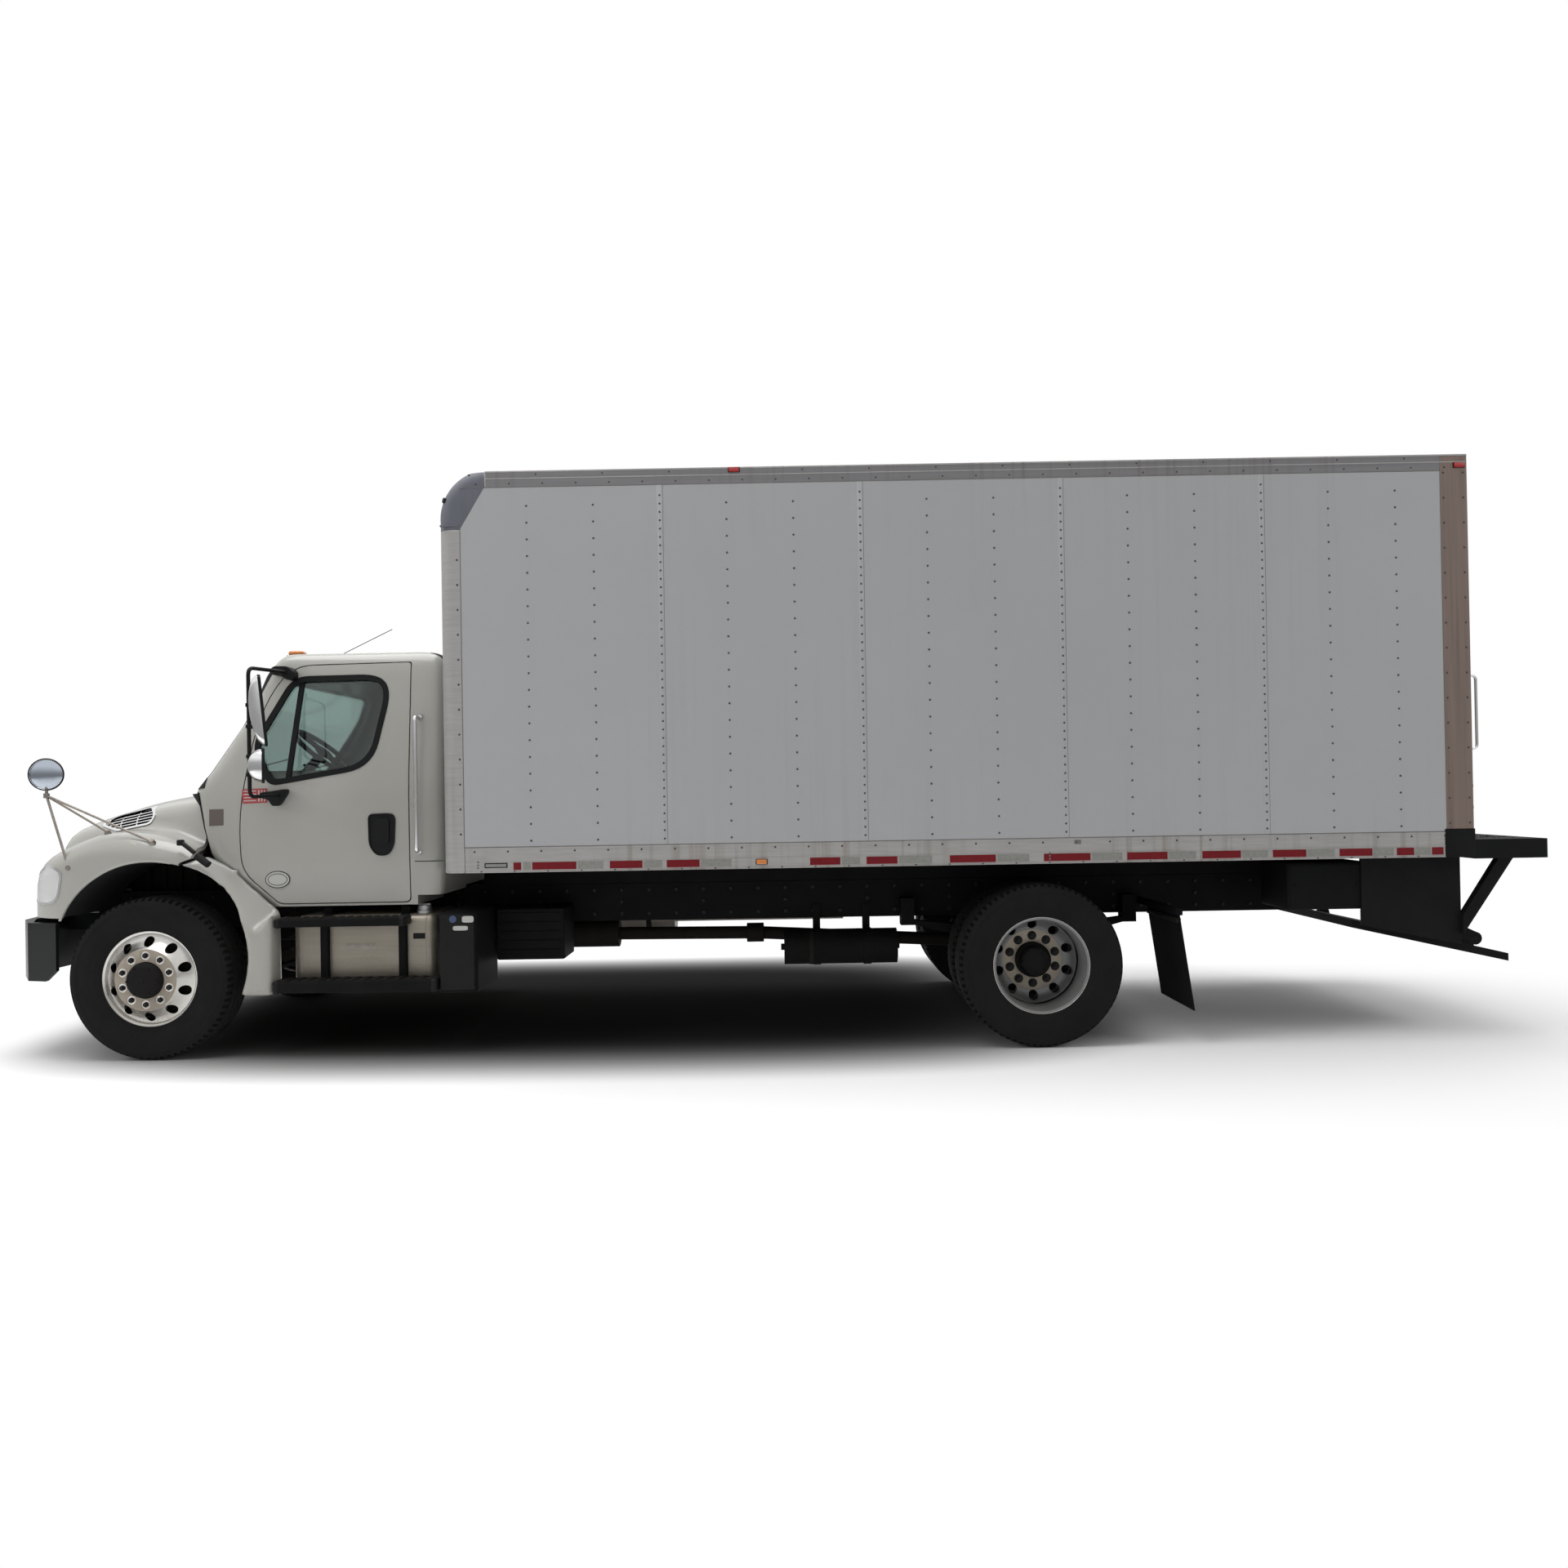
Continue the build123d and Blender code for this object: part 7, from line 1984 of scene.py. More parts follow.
    def caps(self) -> None:
        """Rounded corner castings with their ribs and lamp pocket."""
        softened("corner_caps", Skin.cap, 0.012, 3, 40.0)
        ribs, lamps = bmesh.new(), bmesh.new()
        for side in Side:
            self.strip(ribs, side, (-1.962, -1.842), (3.232, 3.244), 0.012, 0.004, 0.003)
            disc(lamps, (XF - 1.876, side.value * 1.172, 3.400), (0.75, side.value * 0.66, 0.1), 0.020,
                 0.026, 24, 0.017)
        piece("cap_ribs", ribs, Skin.cap)
        piece("cap_lamps", lamps, Skin.trim_black, angle=SOFT)

    def frame_ends(self) -> None:
        """The rear frame, door and deck, with the deck's cross tube drawn in where the lift's eyes turn."""
        softened("rear_frame", Skin.post, 0.006)
        softened("roll_up_door", Skin.door_white, 0.004)
        deck = softened("rear_deck", Skin.deck, 0.006)
        axis = Vector((XF + self.lift_pivot[0], 0.0, self.lift_pivot[1]))
        tube_radius, drawn = 0.0565, 0.0018
        for vertex in deck.data.vertices:
            out = Vector((vertex.co.x - axis.x, 0.0, vertex.co.z - axis.z))
            if out.length < tube_radius:
                vertex.co -= out.normalized() * drawn

    def roll_door(self) -> None:
        """Make the roll-up door's panels, hinges, latch and seal."""
        x = self.rear + 0.060
        panels, hinges, latch, seal = bmesh.new(), bmesh.new(), bmesh.new(), bmesh.new()
        for index in range(9):
            z = 1.2800 + self.slat_pitch * index
            axle_block(panels, (x - 0.004, x + 0.001), (-1.085, 1.085), (z + 0.005, z + 0.2175), 0.002)
        for index in range(1, 9):
            z = 1.2800 + self.slat_pitch * index
            for y in (-0.95, -0.475, 0.0, 0.475, 0.95):
                axle_block(hinges, (x - 0.010, x - 0.003), (y - 0.03, y + 0.03), (z - 0.035, z + 0.035),
                           0.002)
                disc(hinges, (XF + x - 0.011, y - 0.03, z), ACROSS, 0.006, 0.06, 12)
        piece("roll_door_panels", panels, Skin.door_white)
        piece("roll_door_hinges", hinges, Skin.galvanised)
        axle_block(latch, (x - 0.018, x - 0.003), (-0.09, 0.09), (1.335, 1.455), 0.004)
        axle_block(latch, (x - 0.034, x - 0.014), (-0.02, 0.02), (1.350, 1.500), 0.006)
        grip = ((0.012, -0.45), (0.030, -0.43), (0.030, -0.27), (0.012, -0.25))
        tube(latch, [(XF + x - out, y, 1.32) for out, y in grip], 0.008, 10, 0.015)
        piece("roll_door_latch", latch, Skin.galvanised)
        for side in Side:
            axle_block(seal, (x - 0.030, x - 0.006), side.span(1.083, 1.100), (1.28, 3.29), 0.004)
        axle_block(seal, (x - 0.030, x - 0.006), (-1.10, 1.10), (3.272, 3.290), 0.004)
        piece("roll_door_seal", seal, Skin.rubber)

    def tail_lamps(self) -> None:
        """Red lamps along the frame's head and down its posts, and the reversing lamps."""
        red, white = bmesh.new(), bmesh.new()
        for y in (-1.06, -0.12, 0.0, 0.12, 1.06):
            axle_block(red, (self.rear - 0.014, self.rear + 0.001), (y - 0.042, y + 0.042), (3.435, 3.470),
                       0.004)
        for side in Side:
            for bm, z, radius, depth in ((red, 1.42, 0.040, 0.016), (red, 1.55, 0.040, 0.016),
                                         (white, 1.30, 0.034, 0.014)):
                disc(bm, (XF + self.rear + 0.001, side.value * 1.16, z), (-1.0, 0.0, 0.0), radius, depth,
                     28, radius - 0.003, 0.003)
        piece("tail_lamps_red", red, Skin.red_lens)
        piece("reversing_lamps", white, Skin.cream_lens)

    def deck(self) -> None:
        """Reflective tape and a raised tread on the rear deck."""
        tapes = (bmesh.new(), bmesh.new())
        for index in range(10):
            low = -1.05 + 0.21 * index
            axle_block(tapes[index % 2], (self.rear - 0.4409, self.rear - 0.4395), (low, low + 0.205),
                       (1.150, 1.195), 0.0004)
        piece("deck_tape_red", tapes[1], Skin.red)
        piece("deck_tape_silver", tapes[0], Skin.silver)
        tread = bmesh.new()
        for row in range(7):
            for k in range(24):
                spot = (XF + self.rear - 0.06 - 0.055 * row, -1.06 + 0.09 * k + 0.045 * (row % 2), 1.2252)
                made = block(tread, (spot[0] - 0.016, spot[1] - 0.004, 1.2245),
                             (spot[0] + 0.016, spot[1] + 0.004, 1.2275))
                turn = Matrix.Rotation(math.radians(45 if k % 2 else -45), 3, "Z")
                bmesh.ops.rotate(tread, verts=made, cent=spot, matrix=turn)
        piece("deck_tread", tread, Skin.deck)

    def inside(self) -> None:
        """Liner strips, roof bows and floor boards of the load space."""
        boards, bows, slats = bmesh.new(), bmesh.new(), bmesh.new()
        for index in range(14):
            low = -1.155 + 0.165 * index
            axle_block(boards, (self.rear + 0.17, self.front - 0.045), (low + 0.001, low + 0.164),
                       (1.272, 1.2785), 0.001)
        piece("floor_boards", boards, Skin.planks)
        for index in range(9):
            place = self.front - 0.55 - 0.61 * index
            axle_block(bows, (place - 0.02, place + 0.02), (-1.18, 1.18), (3.512, 3.5485), 0.003)
        piece("roof_bows", bows, Skin.galvanised)
        for side in Side:
            for height in (1.55, 2.05, 2.55, 3.05):
                axle_block(slats, (self.rear + 0.18, self.front - 0.06), side.span(1.1815, 1.164),
                           (height - 0.05, height + 0.05), 0.003)
        piece("wall_slats", slats, Skin.planks)

    def build(self) -> None:
        """Build the body's dressing."""
        for node in ("box_front_wall", "box_side_left", "box_side_right"):
            dress(node, Skin.box_skin)
        dress("box_roof", Skin.roof)
        dress("box_floor", Skin.chassis)
        softened("box_rails", Skin.bright, 0.005, 2, 40.0)
        for step in (self.rivets, self.seams, self.rails, self.tape, self.lamps, self.plates, self.caps,
                     self.frame_ends, self.roll_door, self.tail_lamps, self.deck, self.inside):
            step()


# ---------------------------------------------------------------- mirrors and outside fittings
@dataclass
class SideMirrors:
    """The doors' tubular mirrors: a tall flat head over a round convex one, placed from the front axle."""

    tube_x: float = -0.700
    reach: float = 1.300
    low: float = 1.606
    high: float = 2.385
    upper: Pair = (1.915, 2.335)
    lower: Pair = (1.692, 1.895)
    half: float = 0.084
    rim_x: float = -0.785
    turn: float = 0.46
    top_foot: tuple = ((-0.675, 2.405), (-0.705, 2.432), (-0.790, 2.430), (-0.835, 2.395), (-0.835, 2.345),
                       (-0.790, 2.340), (-0.745, 2.372), (-0.690, 2.376))
    low_foot: tuple = ((-0.627, 1.602), (-0.640, 1.634), (-0.700, 1.640), (-0.800, 1.655), (-0.802, 1.628),
                       (-0.752, 1.552), (-0.715, 1.546), (-0.690, 1.590))

    def head(self, side: Side, name: str, span: Pair, corner: float, depth: float, lean: float) -> None:
        """Make one head: a bowed chrome back, a black rim and the mirror in it.

        Args:
            side: the mirror's side.
            name: the head's name.
            span: its lowest and highest points.
            corner: how far its corners are rounded.
            depth: how deep its back is.
            lean: how far it leans forward for each unit of height.
        """
        body = f"{side.word}_door"
        middle, tall = (span[0] + span[1]) / 2, (span[1] - span[0]) / 2
        centre = side.value * self.reach

        away = Vector((math.cos(self.turn), side.value * math.sin(self.turn), 0.0))
        across = Vector((-away.y, away.x, 0.0))

        def ring(place: float, scale: float, grow: float = 0.0) -> list[Vector]:
            """Draw one section of the head, across its axis.

            Args:
                place: how far along the axis it lies.
                scale: its size, as a share of the rim's.
                grow: how far it is grown on all sides.

            Returns:
                The section's points.
            """
            wide, high = self.half * scale + grow, tall * scale + grow
            outline = rounded([(-wide, -high), (wide, -high), (wide, high), (-wide, high)], corner * scale,
                              6)
            origin = Vector((XF + self.rim_x, centre, middle)) + away * place
            return [origin + across * w + Vector((lean * z, 0.0, z)) for w, z in outline]

        back = bmesh.new()
        steps = (0.02, 0.25, 0.5, 0.7, 0.85, 0.95, 0.995)
        loft(back, [ring(0.006 + depth * t, math.sqrt(1.0 - t * t)) for t in steps])
        piece(f"mirror_{name}_back_{side.word}", back, Skin.chrome, body, angle=SOFT)
        rim = bmesh.new()
        loft(rim, [ring(0.012, 0.99, 0.001), ring(0.009, 1.0, 0.004), ring(-0.004, 1.0, 0.004),
                   ring(-0.006, 1.0, -0.002), ring(-0.001, 1.0, -0.006)])
        piece(f"mirror_{name}_rim_{side.word}", rim, Skin.trim_black, body, angle=SOFT)
        glass = bmesh.new()
        bulge = 0.010 if name == "round" else 0.0
        loft(glass, [ring(-0.0005, 1.0, -0.007), ring(-0.0020, 1.0, -0.008),
                     ring(-0.0022 - bulge * 0.3, 0.75), ring(-0.0024 - bulge * 0.45, 0.4),
                     ring(-0.0025 - bulge * 0.5, 0.1)])
        piece(f"mirror_{name}_glass_{side.word}", glass, Skin.mirror, body, angle=SOFT)

    def build(self) -> None:
        """Build both sides' mirrors."""
        for side in Side:
            body = f"{side.word}_door"
            s = side.value
            bar = bmesh.new()
            x, y = XF + self.tube_x, s * self.reach
            tube(bar, [(XF - 0.812, s * 0.905, 2.386), (XF - 0.765, s * 1.02, 2.392), (x, y, self.high),
                       (x, y, self.low), (XF - 0.765, s * 1.02, self.low + 0.010)], 0.0115, 14, 0.045)
            for height in (2.16, 2.03, 1.85, 1.74):
                block(bar, (x - 0.030, y - 0.016, height - 0.012), (x + 0.014, y + 0.016, height + 0.012),
                      0.004)
                disc(bar, (x - 0.024, y - 0.020, height), ACROSS, 0.007, 0.040, 12)
            piece(f"mirror_tube_{side.word}", bar, Skin.trim_black, body, (f"side_mirror_{side.word}",),
                  SOFT)
            for name, outline, span in (("top", self.top_foot, (0.895, 0.985)),
                                        ("low", self.low_foot, (0.985, 1.050))):
                foot = slab(rounded(from_axle(outline), 0.016, 3), *side.span(*span))
                foot = piece(f"mirror_foot_{name}_{side.word}", foot, Skin.trim_black, body, angle=SOFT)
                rounding(foot, 0.008, 3)
            self.head(side, "tall", self.upper, 0.040, 0.070, 0.10)
            self.head(side, "round", self.lower, 0.078, 0.082, 0.0)


@dataclass
class Cowl:
    """Black cowl under the windscreen, its wipers and the A-pillars' trims, placed from the front axle."""

    form: CabForm
    pivots: tuple = (0.42, -0.34)

    def face_x(self, y: float, z: float) -> float:
        """The cab front's place at a height and a distance from the middle."""
        front, _, half, sweep = self.form.row(z)
        return XF + front - sweep * min(1.0, abs(y) / half) ** self.form.bow_power

    def build(self) -> None:
        """Build the cowl and the wipers."""
        outer, inner = self.form.shell(-0.005, 0.006)
        strip = from_axle([(0.05, 1.636), (0.05, 1.690), (-0.26, 1.735), (-0.26, 1.668)])
        band = cut(outer, [(inner, "DIFFERENCE"), (slab(strip, -1.1, 1.1), "INTERSECT")])
        piece("cowl_strip", band, Skin.trim_black, angle=SOFT)
        outer, inner = self.form.shell(-0.003, 0.006)
        column = from_axle([(-0.180, 1.700), (-0.238, 1.700), (-0.538, 2.160), (-0.690, 2.440),
                            (-0.600, 2.440), (-0.480, 2.160)])
        for side in Side:
            low, high = side.span(0.80, 1.05)
            made = cut(outer.copy(), [(inner.copy(), "DIFFERENCE"), (slab(column, low, high), "INTERSECT")])
            piece(f"pillar_seal_{side.word}", made, Skin.trim_black, angle=SOFT)
        edge = from_axle([(-0.120, 1.652), (-0.222, 1.640), (-0.246, 1.480), (-0.264, 1.300),
                          (-0.272, 1.212), (-0.180, 1.212)])
        for side in Side:
            low, high = side.span(0.78, 1.05)
            made = cut(outer.copy(), [(inner.copy(), "DIFFERENCE"), (slab(edge, low, high), "INTERSECT")])
            piece(f"hood_seal_{side.word}", made, Skin.rubber, angle=SOFT)
        outer.free()
        inner.free()
        for index, pivot in enumerate(self.pivots):
            bm = bmesh.new()
            foot = (self.face_x(pivot, 1.690) + 0.012, pivot, 1.690)
            elbow = (self.face_x(pivot - 0.16, 1.760) + 0.034, pivot - 0.16, 1.760)
            tip = (self.face_x(pivot - 0.36, 1.835) + 0.020, pivot - 0.36, 1.835)
            disc(bm, (foot[0] - 0.012, pivot, 1.688), (0.80, 0.0, 0.60), 0.020, 0.030, 20, 0.014)
            tube(bm, [foot, elbow, tip], 0.006, 8, 0.03)
            blade = ((pivot - 0.08, 1.775), (pivot - 0.36, 1.838), (pivot - 0.62, 1.885))
            tube(bm, [(self.face_x(y, z) + 0.010, y, z) for y, z in blade], 0.005, 8, 0.05)
            piece(f"wiper_{index}", bm, Skin.trim_black, angle=SOFT)


@dataclass
class Fittings:
    """Bumper, steps, tanks and boxes along the frame. Places are from the front axle."""

    tank_x: Pair = (-1.708, -0.811)
    tank_y: Pair = (0.472, 1.000)
    tank_z: Pair = (0.384, 0.854)
    straps: Pair = (-1.022, -1.511)
    strap_top: float = 0.905
    filler: Pair = (-1.611, 0.900)
    treads: int = 14

    def bumper(self) -> None:
        """Bumper with rounded edges, tow pins, slots and bolts."""
        softened("front_bumper", Skin.bumper, 0.016, 3)
        bm = bmesh.new()
        for side in Side:
            for place, x in ((0.30, 0.993), (0.62, 0.963)):
                for height in (0.615, 0.725):
                    disc(bm, (XF + x, side.value * place, height), (1.0, 0.0, 0.06), 0.013, 0.006, 6, 0.012)
        piece("bumper_bolts", bm, Skin.nut)

    def tank_ring(self, side: Side, near: float, far: float, tall: float, radius: float) -> list[Pair]:
        """Draw the tank's section, grown on all sides.

        Args:
            side: the tank's side.
            near: how far it grows inwards.
            far: how far it grows outwards.
            tall: how far it grows up and down.
            radius: how far its corners are rounded.

        Returns:
            The section's points.
        """
        low, high = side.span(self.tank_y[0] - near, self.tank_y[1] + far)
        floor, top = self.tank_z[0] - tall, self.tank_z[1] + tall
        return rounded([(low, floor), (high, floor), (high, top), (low, top)], radius, 5)

    def tanks(self) -> None:
        """Rectangular tanks with rounded edges, straps and filler caps, one on each side."""
        for side in Side:
            node = "fuel_tank" if side is Side.LEFT else "tool_box"
            skin, bands, cap, seams = bmesh.new(), bmesh.new(), bmesh.new(), bmesh.new()
            axle_block(skin, self.tank_x, side.span(*self.tank_y), self.tank_z, 0.052, 5)
            piece(f"{node}_skin", skin, Skin.tank, replaces=(node,), angle=SOFT)
            for x in self.straps:
                prism(bands, self.tank_ring(side, 0.030, 0.007, 0.008, 0.06), XF + x - 0.024,
                      XF + x + 0.024, 0)
                y = side.value * self.tank_y[1]
                axle_block(bands, (x - 0.026, x + 0.026), (y - 0.06, y - 0.035),
                           (self.strap_top - 0.045, self.strap_top), 0.004)
            piece(f"{node}_straps", bands, Skin.chassis, angle=SOFT)
            x, y, top = XF + self.filler[0], side.value * self.filler[1], self.tank_z[1]
            disc(cap, (x, y, top - 0.004), UP, 0.052, 0.020, 32, 0.048)
            disc(cap, (x, y, top + 0.016), UP, 0.046, 0.034, 32, 0.042, 0.004)
            block(cap, (x - 0.039, y - 0.008, top + 0.046), (x + 0.039, y + 0.008, top + 0.058), 0.004)
            piece(f"{node}_cap", cap, Skin.galvanised, angle=SOFT)
            for x in (self.tank_x[0] + 0.055, self.tank_x[1] - 0.062):
                prism(seams, self.tank_ring(side, 0.0015, 0.0015, 0.0015, 0.053), XF + x, XF + x + 0.007, 0)
            piece(f"{node}_seams", seams, Skin.dull_chrome, angle=SOFT)
        plate, label = bmesh.new(), bmesh.new()
        axle_block(plate, (-1.335, -1.150), (0.9995, 1.0020), (0.640, 0.676), 0.001)
        piece("tank_plate", plate, Skin.dull_chrome)
        axle_block(label, (-1.645, -1.570), (0.9995, 1.0015), (0.700, 0.736))
        piece("tank_label", label, Skin.trim_black)

    def steps(self) -> None:
        """Cab steps with rounded edges and raised treads."""
        softened("cab_steps", Skin.chassis, 0.007, 2)
        for side in Side:
            tread, ends = bmesh.new(), bmesh.new()
            for low, high, top, far in ((-1.550, -0.776, 0.850, 1.150), (-1.750, -0.780, 0.470, 1.180)):
                for index in range(self.treads):
                    x = low + (high - low) * (index + 0.5) / self.treads
                    axle_block(tread, (x - 0.018, x + 0.018), side.span(1.018, far - 0.014),
                               (top - 0.001, top + 0.004), 0.002, 1)
            piece(f"step_tread_{side.word}", tread, Skin.iron)
            for low, high, floor, top, far in (
                    (-0.798, -0.762, 0.795, 0.855, 1.152), (-1.564, -1.530, 0.795, 0.855, 1.152),
                    (-0.800, -0.762, 0.395, 0.475, 1.182), (-1.768, -1.730, 0.395, 0.475, 1.182)):
                axle_block(ends, (low, high), side.span(1.004, far), (floor, top), 0.012, 3)
            piece(f"step_ends_{side.word}", ends, Skin.trim_black, angle=SOFT)

    def boxes(self) -> None:
        """Side boxes and battery box, with their lids and ribs."""
        softened("side_box", Skin.chassis, 0.012, 3)
        softened("battery_box", Skin.chassis, 0.010, 2)
        for side in Side:
            lid, ribs = bmesh.new(), bmesh.new()
            axle_block(lid, (-1.994, -1.784), side.span(1.148, 1.1525), (0.402, 0.860), 0.002, 1)
            piece(f"side_box_lid_{side.word}", lid, Skin.trim_black)
            for index in range(5):
                z = 0.570 + 0.060 * index
                axle_block(ribs, (-2.440, -2.060), side.span(0.758, 0.768), (z, z + 0.018), 0.003, 1)
            piece(f"battery_ribs_{side.word}", ribs, Skin.chassis)

    def stickers(self) -> None:
        """Plain stickers on the left side box: a round one, and two with squarer outlines."""
        for name, centre, size, power, finish in (
                ("blue", (-1.866, 0.836), (0.022, 0.022), 1.0, Skin.blue_mark),
                ("white", (-1.958, 0.834), (0.036, 0.020), 0.45, Skin.white_mark),
                ("curved", (-1.912, 0.780), (0.046, 0.014), 0.45, Skin.white_mark)):
            outline = []
            for k in range(32):
                c, s = math.cos(math.tau * k / 32), math.sin(math.tau * k / 32)
                outline.append((centre[0] + size[0] * math.copysign(abs(c) ** power, c),
                                centre[1] + size[1] * math.copysign(abs(s) ** power, s)))
            bm = bmesh.new()
            prism(bm, from_axle(outline), 1.1522, 1.1542)
            piece(f"box_sticker_{name}", bm, finish)

    def handles(self) -> None:
        """Feet and grips for the grab handles."""
        bm = bmesh.new()
        for side in Side:
            s = side.value
            x, out = XF - 1.615, s * 1.048
            tube(bm, [(x, s * 0.995, 1.250), (x, out, 1.250), (x, out, 2.090), (x, s * 0.945, 2.090)],
                 0.013, 16, 0.022)
            front, rear, y = XF - 8.094, XF - 8.152, s * 1.170
            tube(bm, [(front, y, 1.775), (rear, y, 1.775), (rear, y, 2.225), (front, y, 2.225)],
                 0.0085, 14, 0.030)
            for foot, height in ((1.000, 1.245), (0.955, 2.095)):
                disc(bm, (x, s * foot, height), (0.0, s, 0.0), 0.021, 0.012, 24, 0.017)
        piece("grab_handle_bars", bm, Skin.chrome, replaces=("grab_handles",), angle=SOFT)

    def build(self) -> None:
        """Build all the fittings."""
        self.bumper()
        self.tanks()
        self.steps()
        self.boxes()
        self.stickers()
        self.handles()


# ---------------------------------------------------------------- running gear
@dataclass
class RunningGear:
    """Frame, springs, axles, driveline, brakes, exhaust and air tanks."""

    rail_y: Pair = (0.356, 0.432)
    spring_y: float = 0.394
    bolt_pitch: float = 0.185
    chamber: float = 0.19

    def frame_bolts(self) -> None:
        """Bolt heads and brackets along the rails."""
        softened("frame_rails", Skin.chassis, 0.005, 2)
        bm = bmesh.new()
        for side in Side:
            for index in range(46):
                for height in ((0.775, 0.935) if index % 3 else (0.775, 0.855, 0.935)):
                    disc(bm, (4.30 - index * self.bolt_pitch, side.value * self.rail_y[1], height),
                         (0.0, side.value, 0.0), 0.0125, 0.010, 6, 0.0115)
        piece("frame_bolts", bm, Skin.nut)

    def springs(self) -> None:
        """Leaf springs, U-bolts and spring plates."""
        softened("leaf_springs", Skin.chassis, 0.003, 1)
        half = 0.043
        for name, centre, top, base in (("front", XF, 0.740, 0.425), ("rear", XR, 0.760, 0.385)):
            bm = bmesh.new()
            for side in Side:
                y = side.value * self.spring_y
                block(bm, (centre - 0.115, y - 0.055, base), (centre + 0.115, y + 0.055, base + 0.026),
                      0.006)
                for x in (centre - 0.085, centre + 0.085):
                    tube(bm, [(x, y - half, base - 0.030), (x, y - half, top - 0.10),
                              (x, y + half, top - 0.10), (x, y + half, base - 0.030)], 0.009, 8, 0.025)
                    for across in (-half, half):
                        disc(bm, (x, y + across, base - 0.022), UP, 0.016, 0.020, 6)
            piece(f"spring_bolts_{name}", bm, Skin.iron, angle=SOFT)

    def brakes(self) -> None:
        """Air chambers by both axles, and the hoses that feed them."""
        softened("rear_axle", Skin.iron, 0.008, 2)
        softened("front_axle", Skin.iron, 0.008, 2)
        for side in Side:
            s = side.value
            bm = bmesh.new()
            for x, z, reach in ((XR + self.chamber, 0.545, 0.45), (XF - self.chamber, 0.560, 0.55)):
                for back, radius, depth, top, edge in ((0.10, 0.072, 0.080, None, 0.012),
                                                       (0.02, 0.080, 0.018, None, 0.004),
                                                       (0.002, 0.070, 0.050, 0.045, 0.008)):
                    disc(bm, (x, s * (reach - back), z), (0.0, s, 0.0), radius, depth, 28, top, edge)
            piece(f"brake_chambers_{side.word}", bm, Skin.iron, angle=SOFT)
        hoses = bmesh.new()
        for side in Side:
            s = side.value
            for axle, way, path in ((XR, 1.0, ((0.35, 0.60), (0.36, 0.72), (0.350, 0.80))),
                                    (XF, -1.0, ((0.45, 0.62), (0.40, 0.71), (0.345, 0.78)))):
                run = zip((self.chamber, 0.22, 0.40), path)
                tube(hoses, [(axle + way * reach, s * y, z) for reach, (y, z) in run], 0.010, 8, 0.05)
            for line in (0.0, 0.022):
                tube(hoses, [(XF - 0.40, s * 0.348, 0.80 + line), (XR + 0.40, s * 0.348, 0.80 + line)],
                     0.008, 8)
        piece("brake_hoses", hoses, Skin.rubber, angle=SOFT)

    def engine(self) -> None:
        """Rocker cover, ribs, injector caps, pulleys, sump and manifolds."""
        softened("engine_block", Skin.iron, 0.012, 3)
        softened("radiator", Skin.trim_black, 0.008, 2)
        engine, manifold = bmesh.new(), bmesh.new()
        axle_block(engine, (-0.120, 0.560), (-0.150, 0.150), (1.330, 1.395), 0.022, 3)
        for index in range(6):
            x = -0.070 + 0.108 * index
            for side in Side:
                axle_block(engine, (x - 0.018, x + 0.018), side.span(0.318, 0.352), (0.700, 1.220), 0.006)
            disc(engine, (XF + x, 0.0, 1.392), UP, 0.022, 0.016, 16, 0.018)
        for y, z, radius in ((0.0, 0.820, 0.115), (-0.190, 1.020, 0.065), (0.170, 1.080, 0.080)):
            disc(engine, (XF + 0.598, y, z), AHEAD, radius, 0.030, 40, edge=0.006)
        axle_block(engine, (0.050, 0.500), (-0.230, 0.230), (0.560, 0.640), 0.030, 3)
        piece("engine_fittings", engine, Skin.iron, angle=SOFT)
        tube(manifold, [(XF - 0.06, -0.385, 1.20), (XF + 0.50, -0.385, 1.20)], 0.030, 14)
        tube(manifold, [(XF + 0.05, 0.380, 1.22), (XF + 0.45, 0.380, 1.22), (XF + 0.56, 0.350, 1.27)],
             0.040, 14, 0.05)
        for index in range(4):
            x = XF + 0.02 + 0.14 * index
            tube(manifold, [(x, -0.325, 1.18), (x, -0.385, 1.20)], 0.020, 12)
        piece("engine_manifolds", manifold, Skin.steel, angle=SOFT)

    def driveline(self) -> None:
        """Shafts, engine, radiator fins and steering parts."""
        softened("driveline", Skin.iron, 0.006, 2)
        self.engine()
        core = bmesh.new()
        for index in range(26):
            y = -0.375 + 0.030 * index
            for face in (0.746, 0.674):
                axle_block(core, (face, face + 0.010), (y - 0.003, y + 0.003), (1.000, 1.315), 0.001, 1)
        disc(core, (XF + 0.715, 0.25, 1.340), UP, 0.028, 0.024, 24, 0.026)
        piece("radiator_fins", core, Skin.iron)
        dress("tie_rod", Skin.chassis)
        for side in Side:
            dress(f"knuckle_{side.word}", Skin.iron)

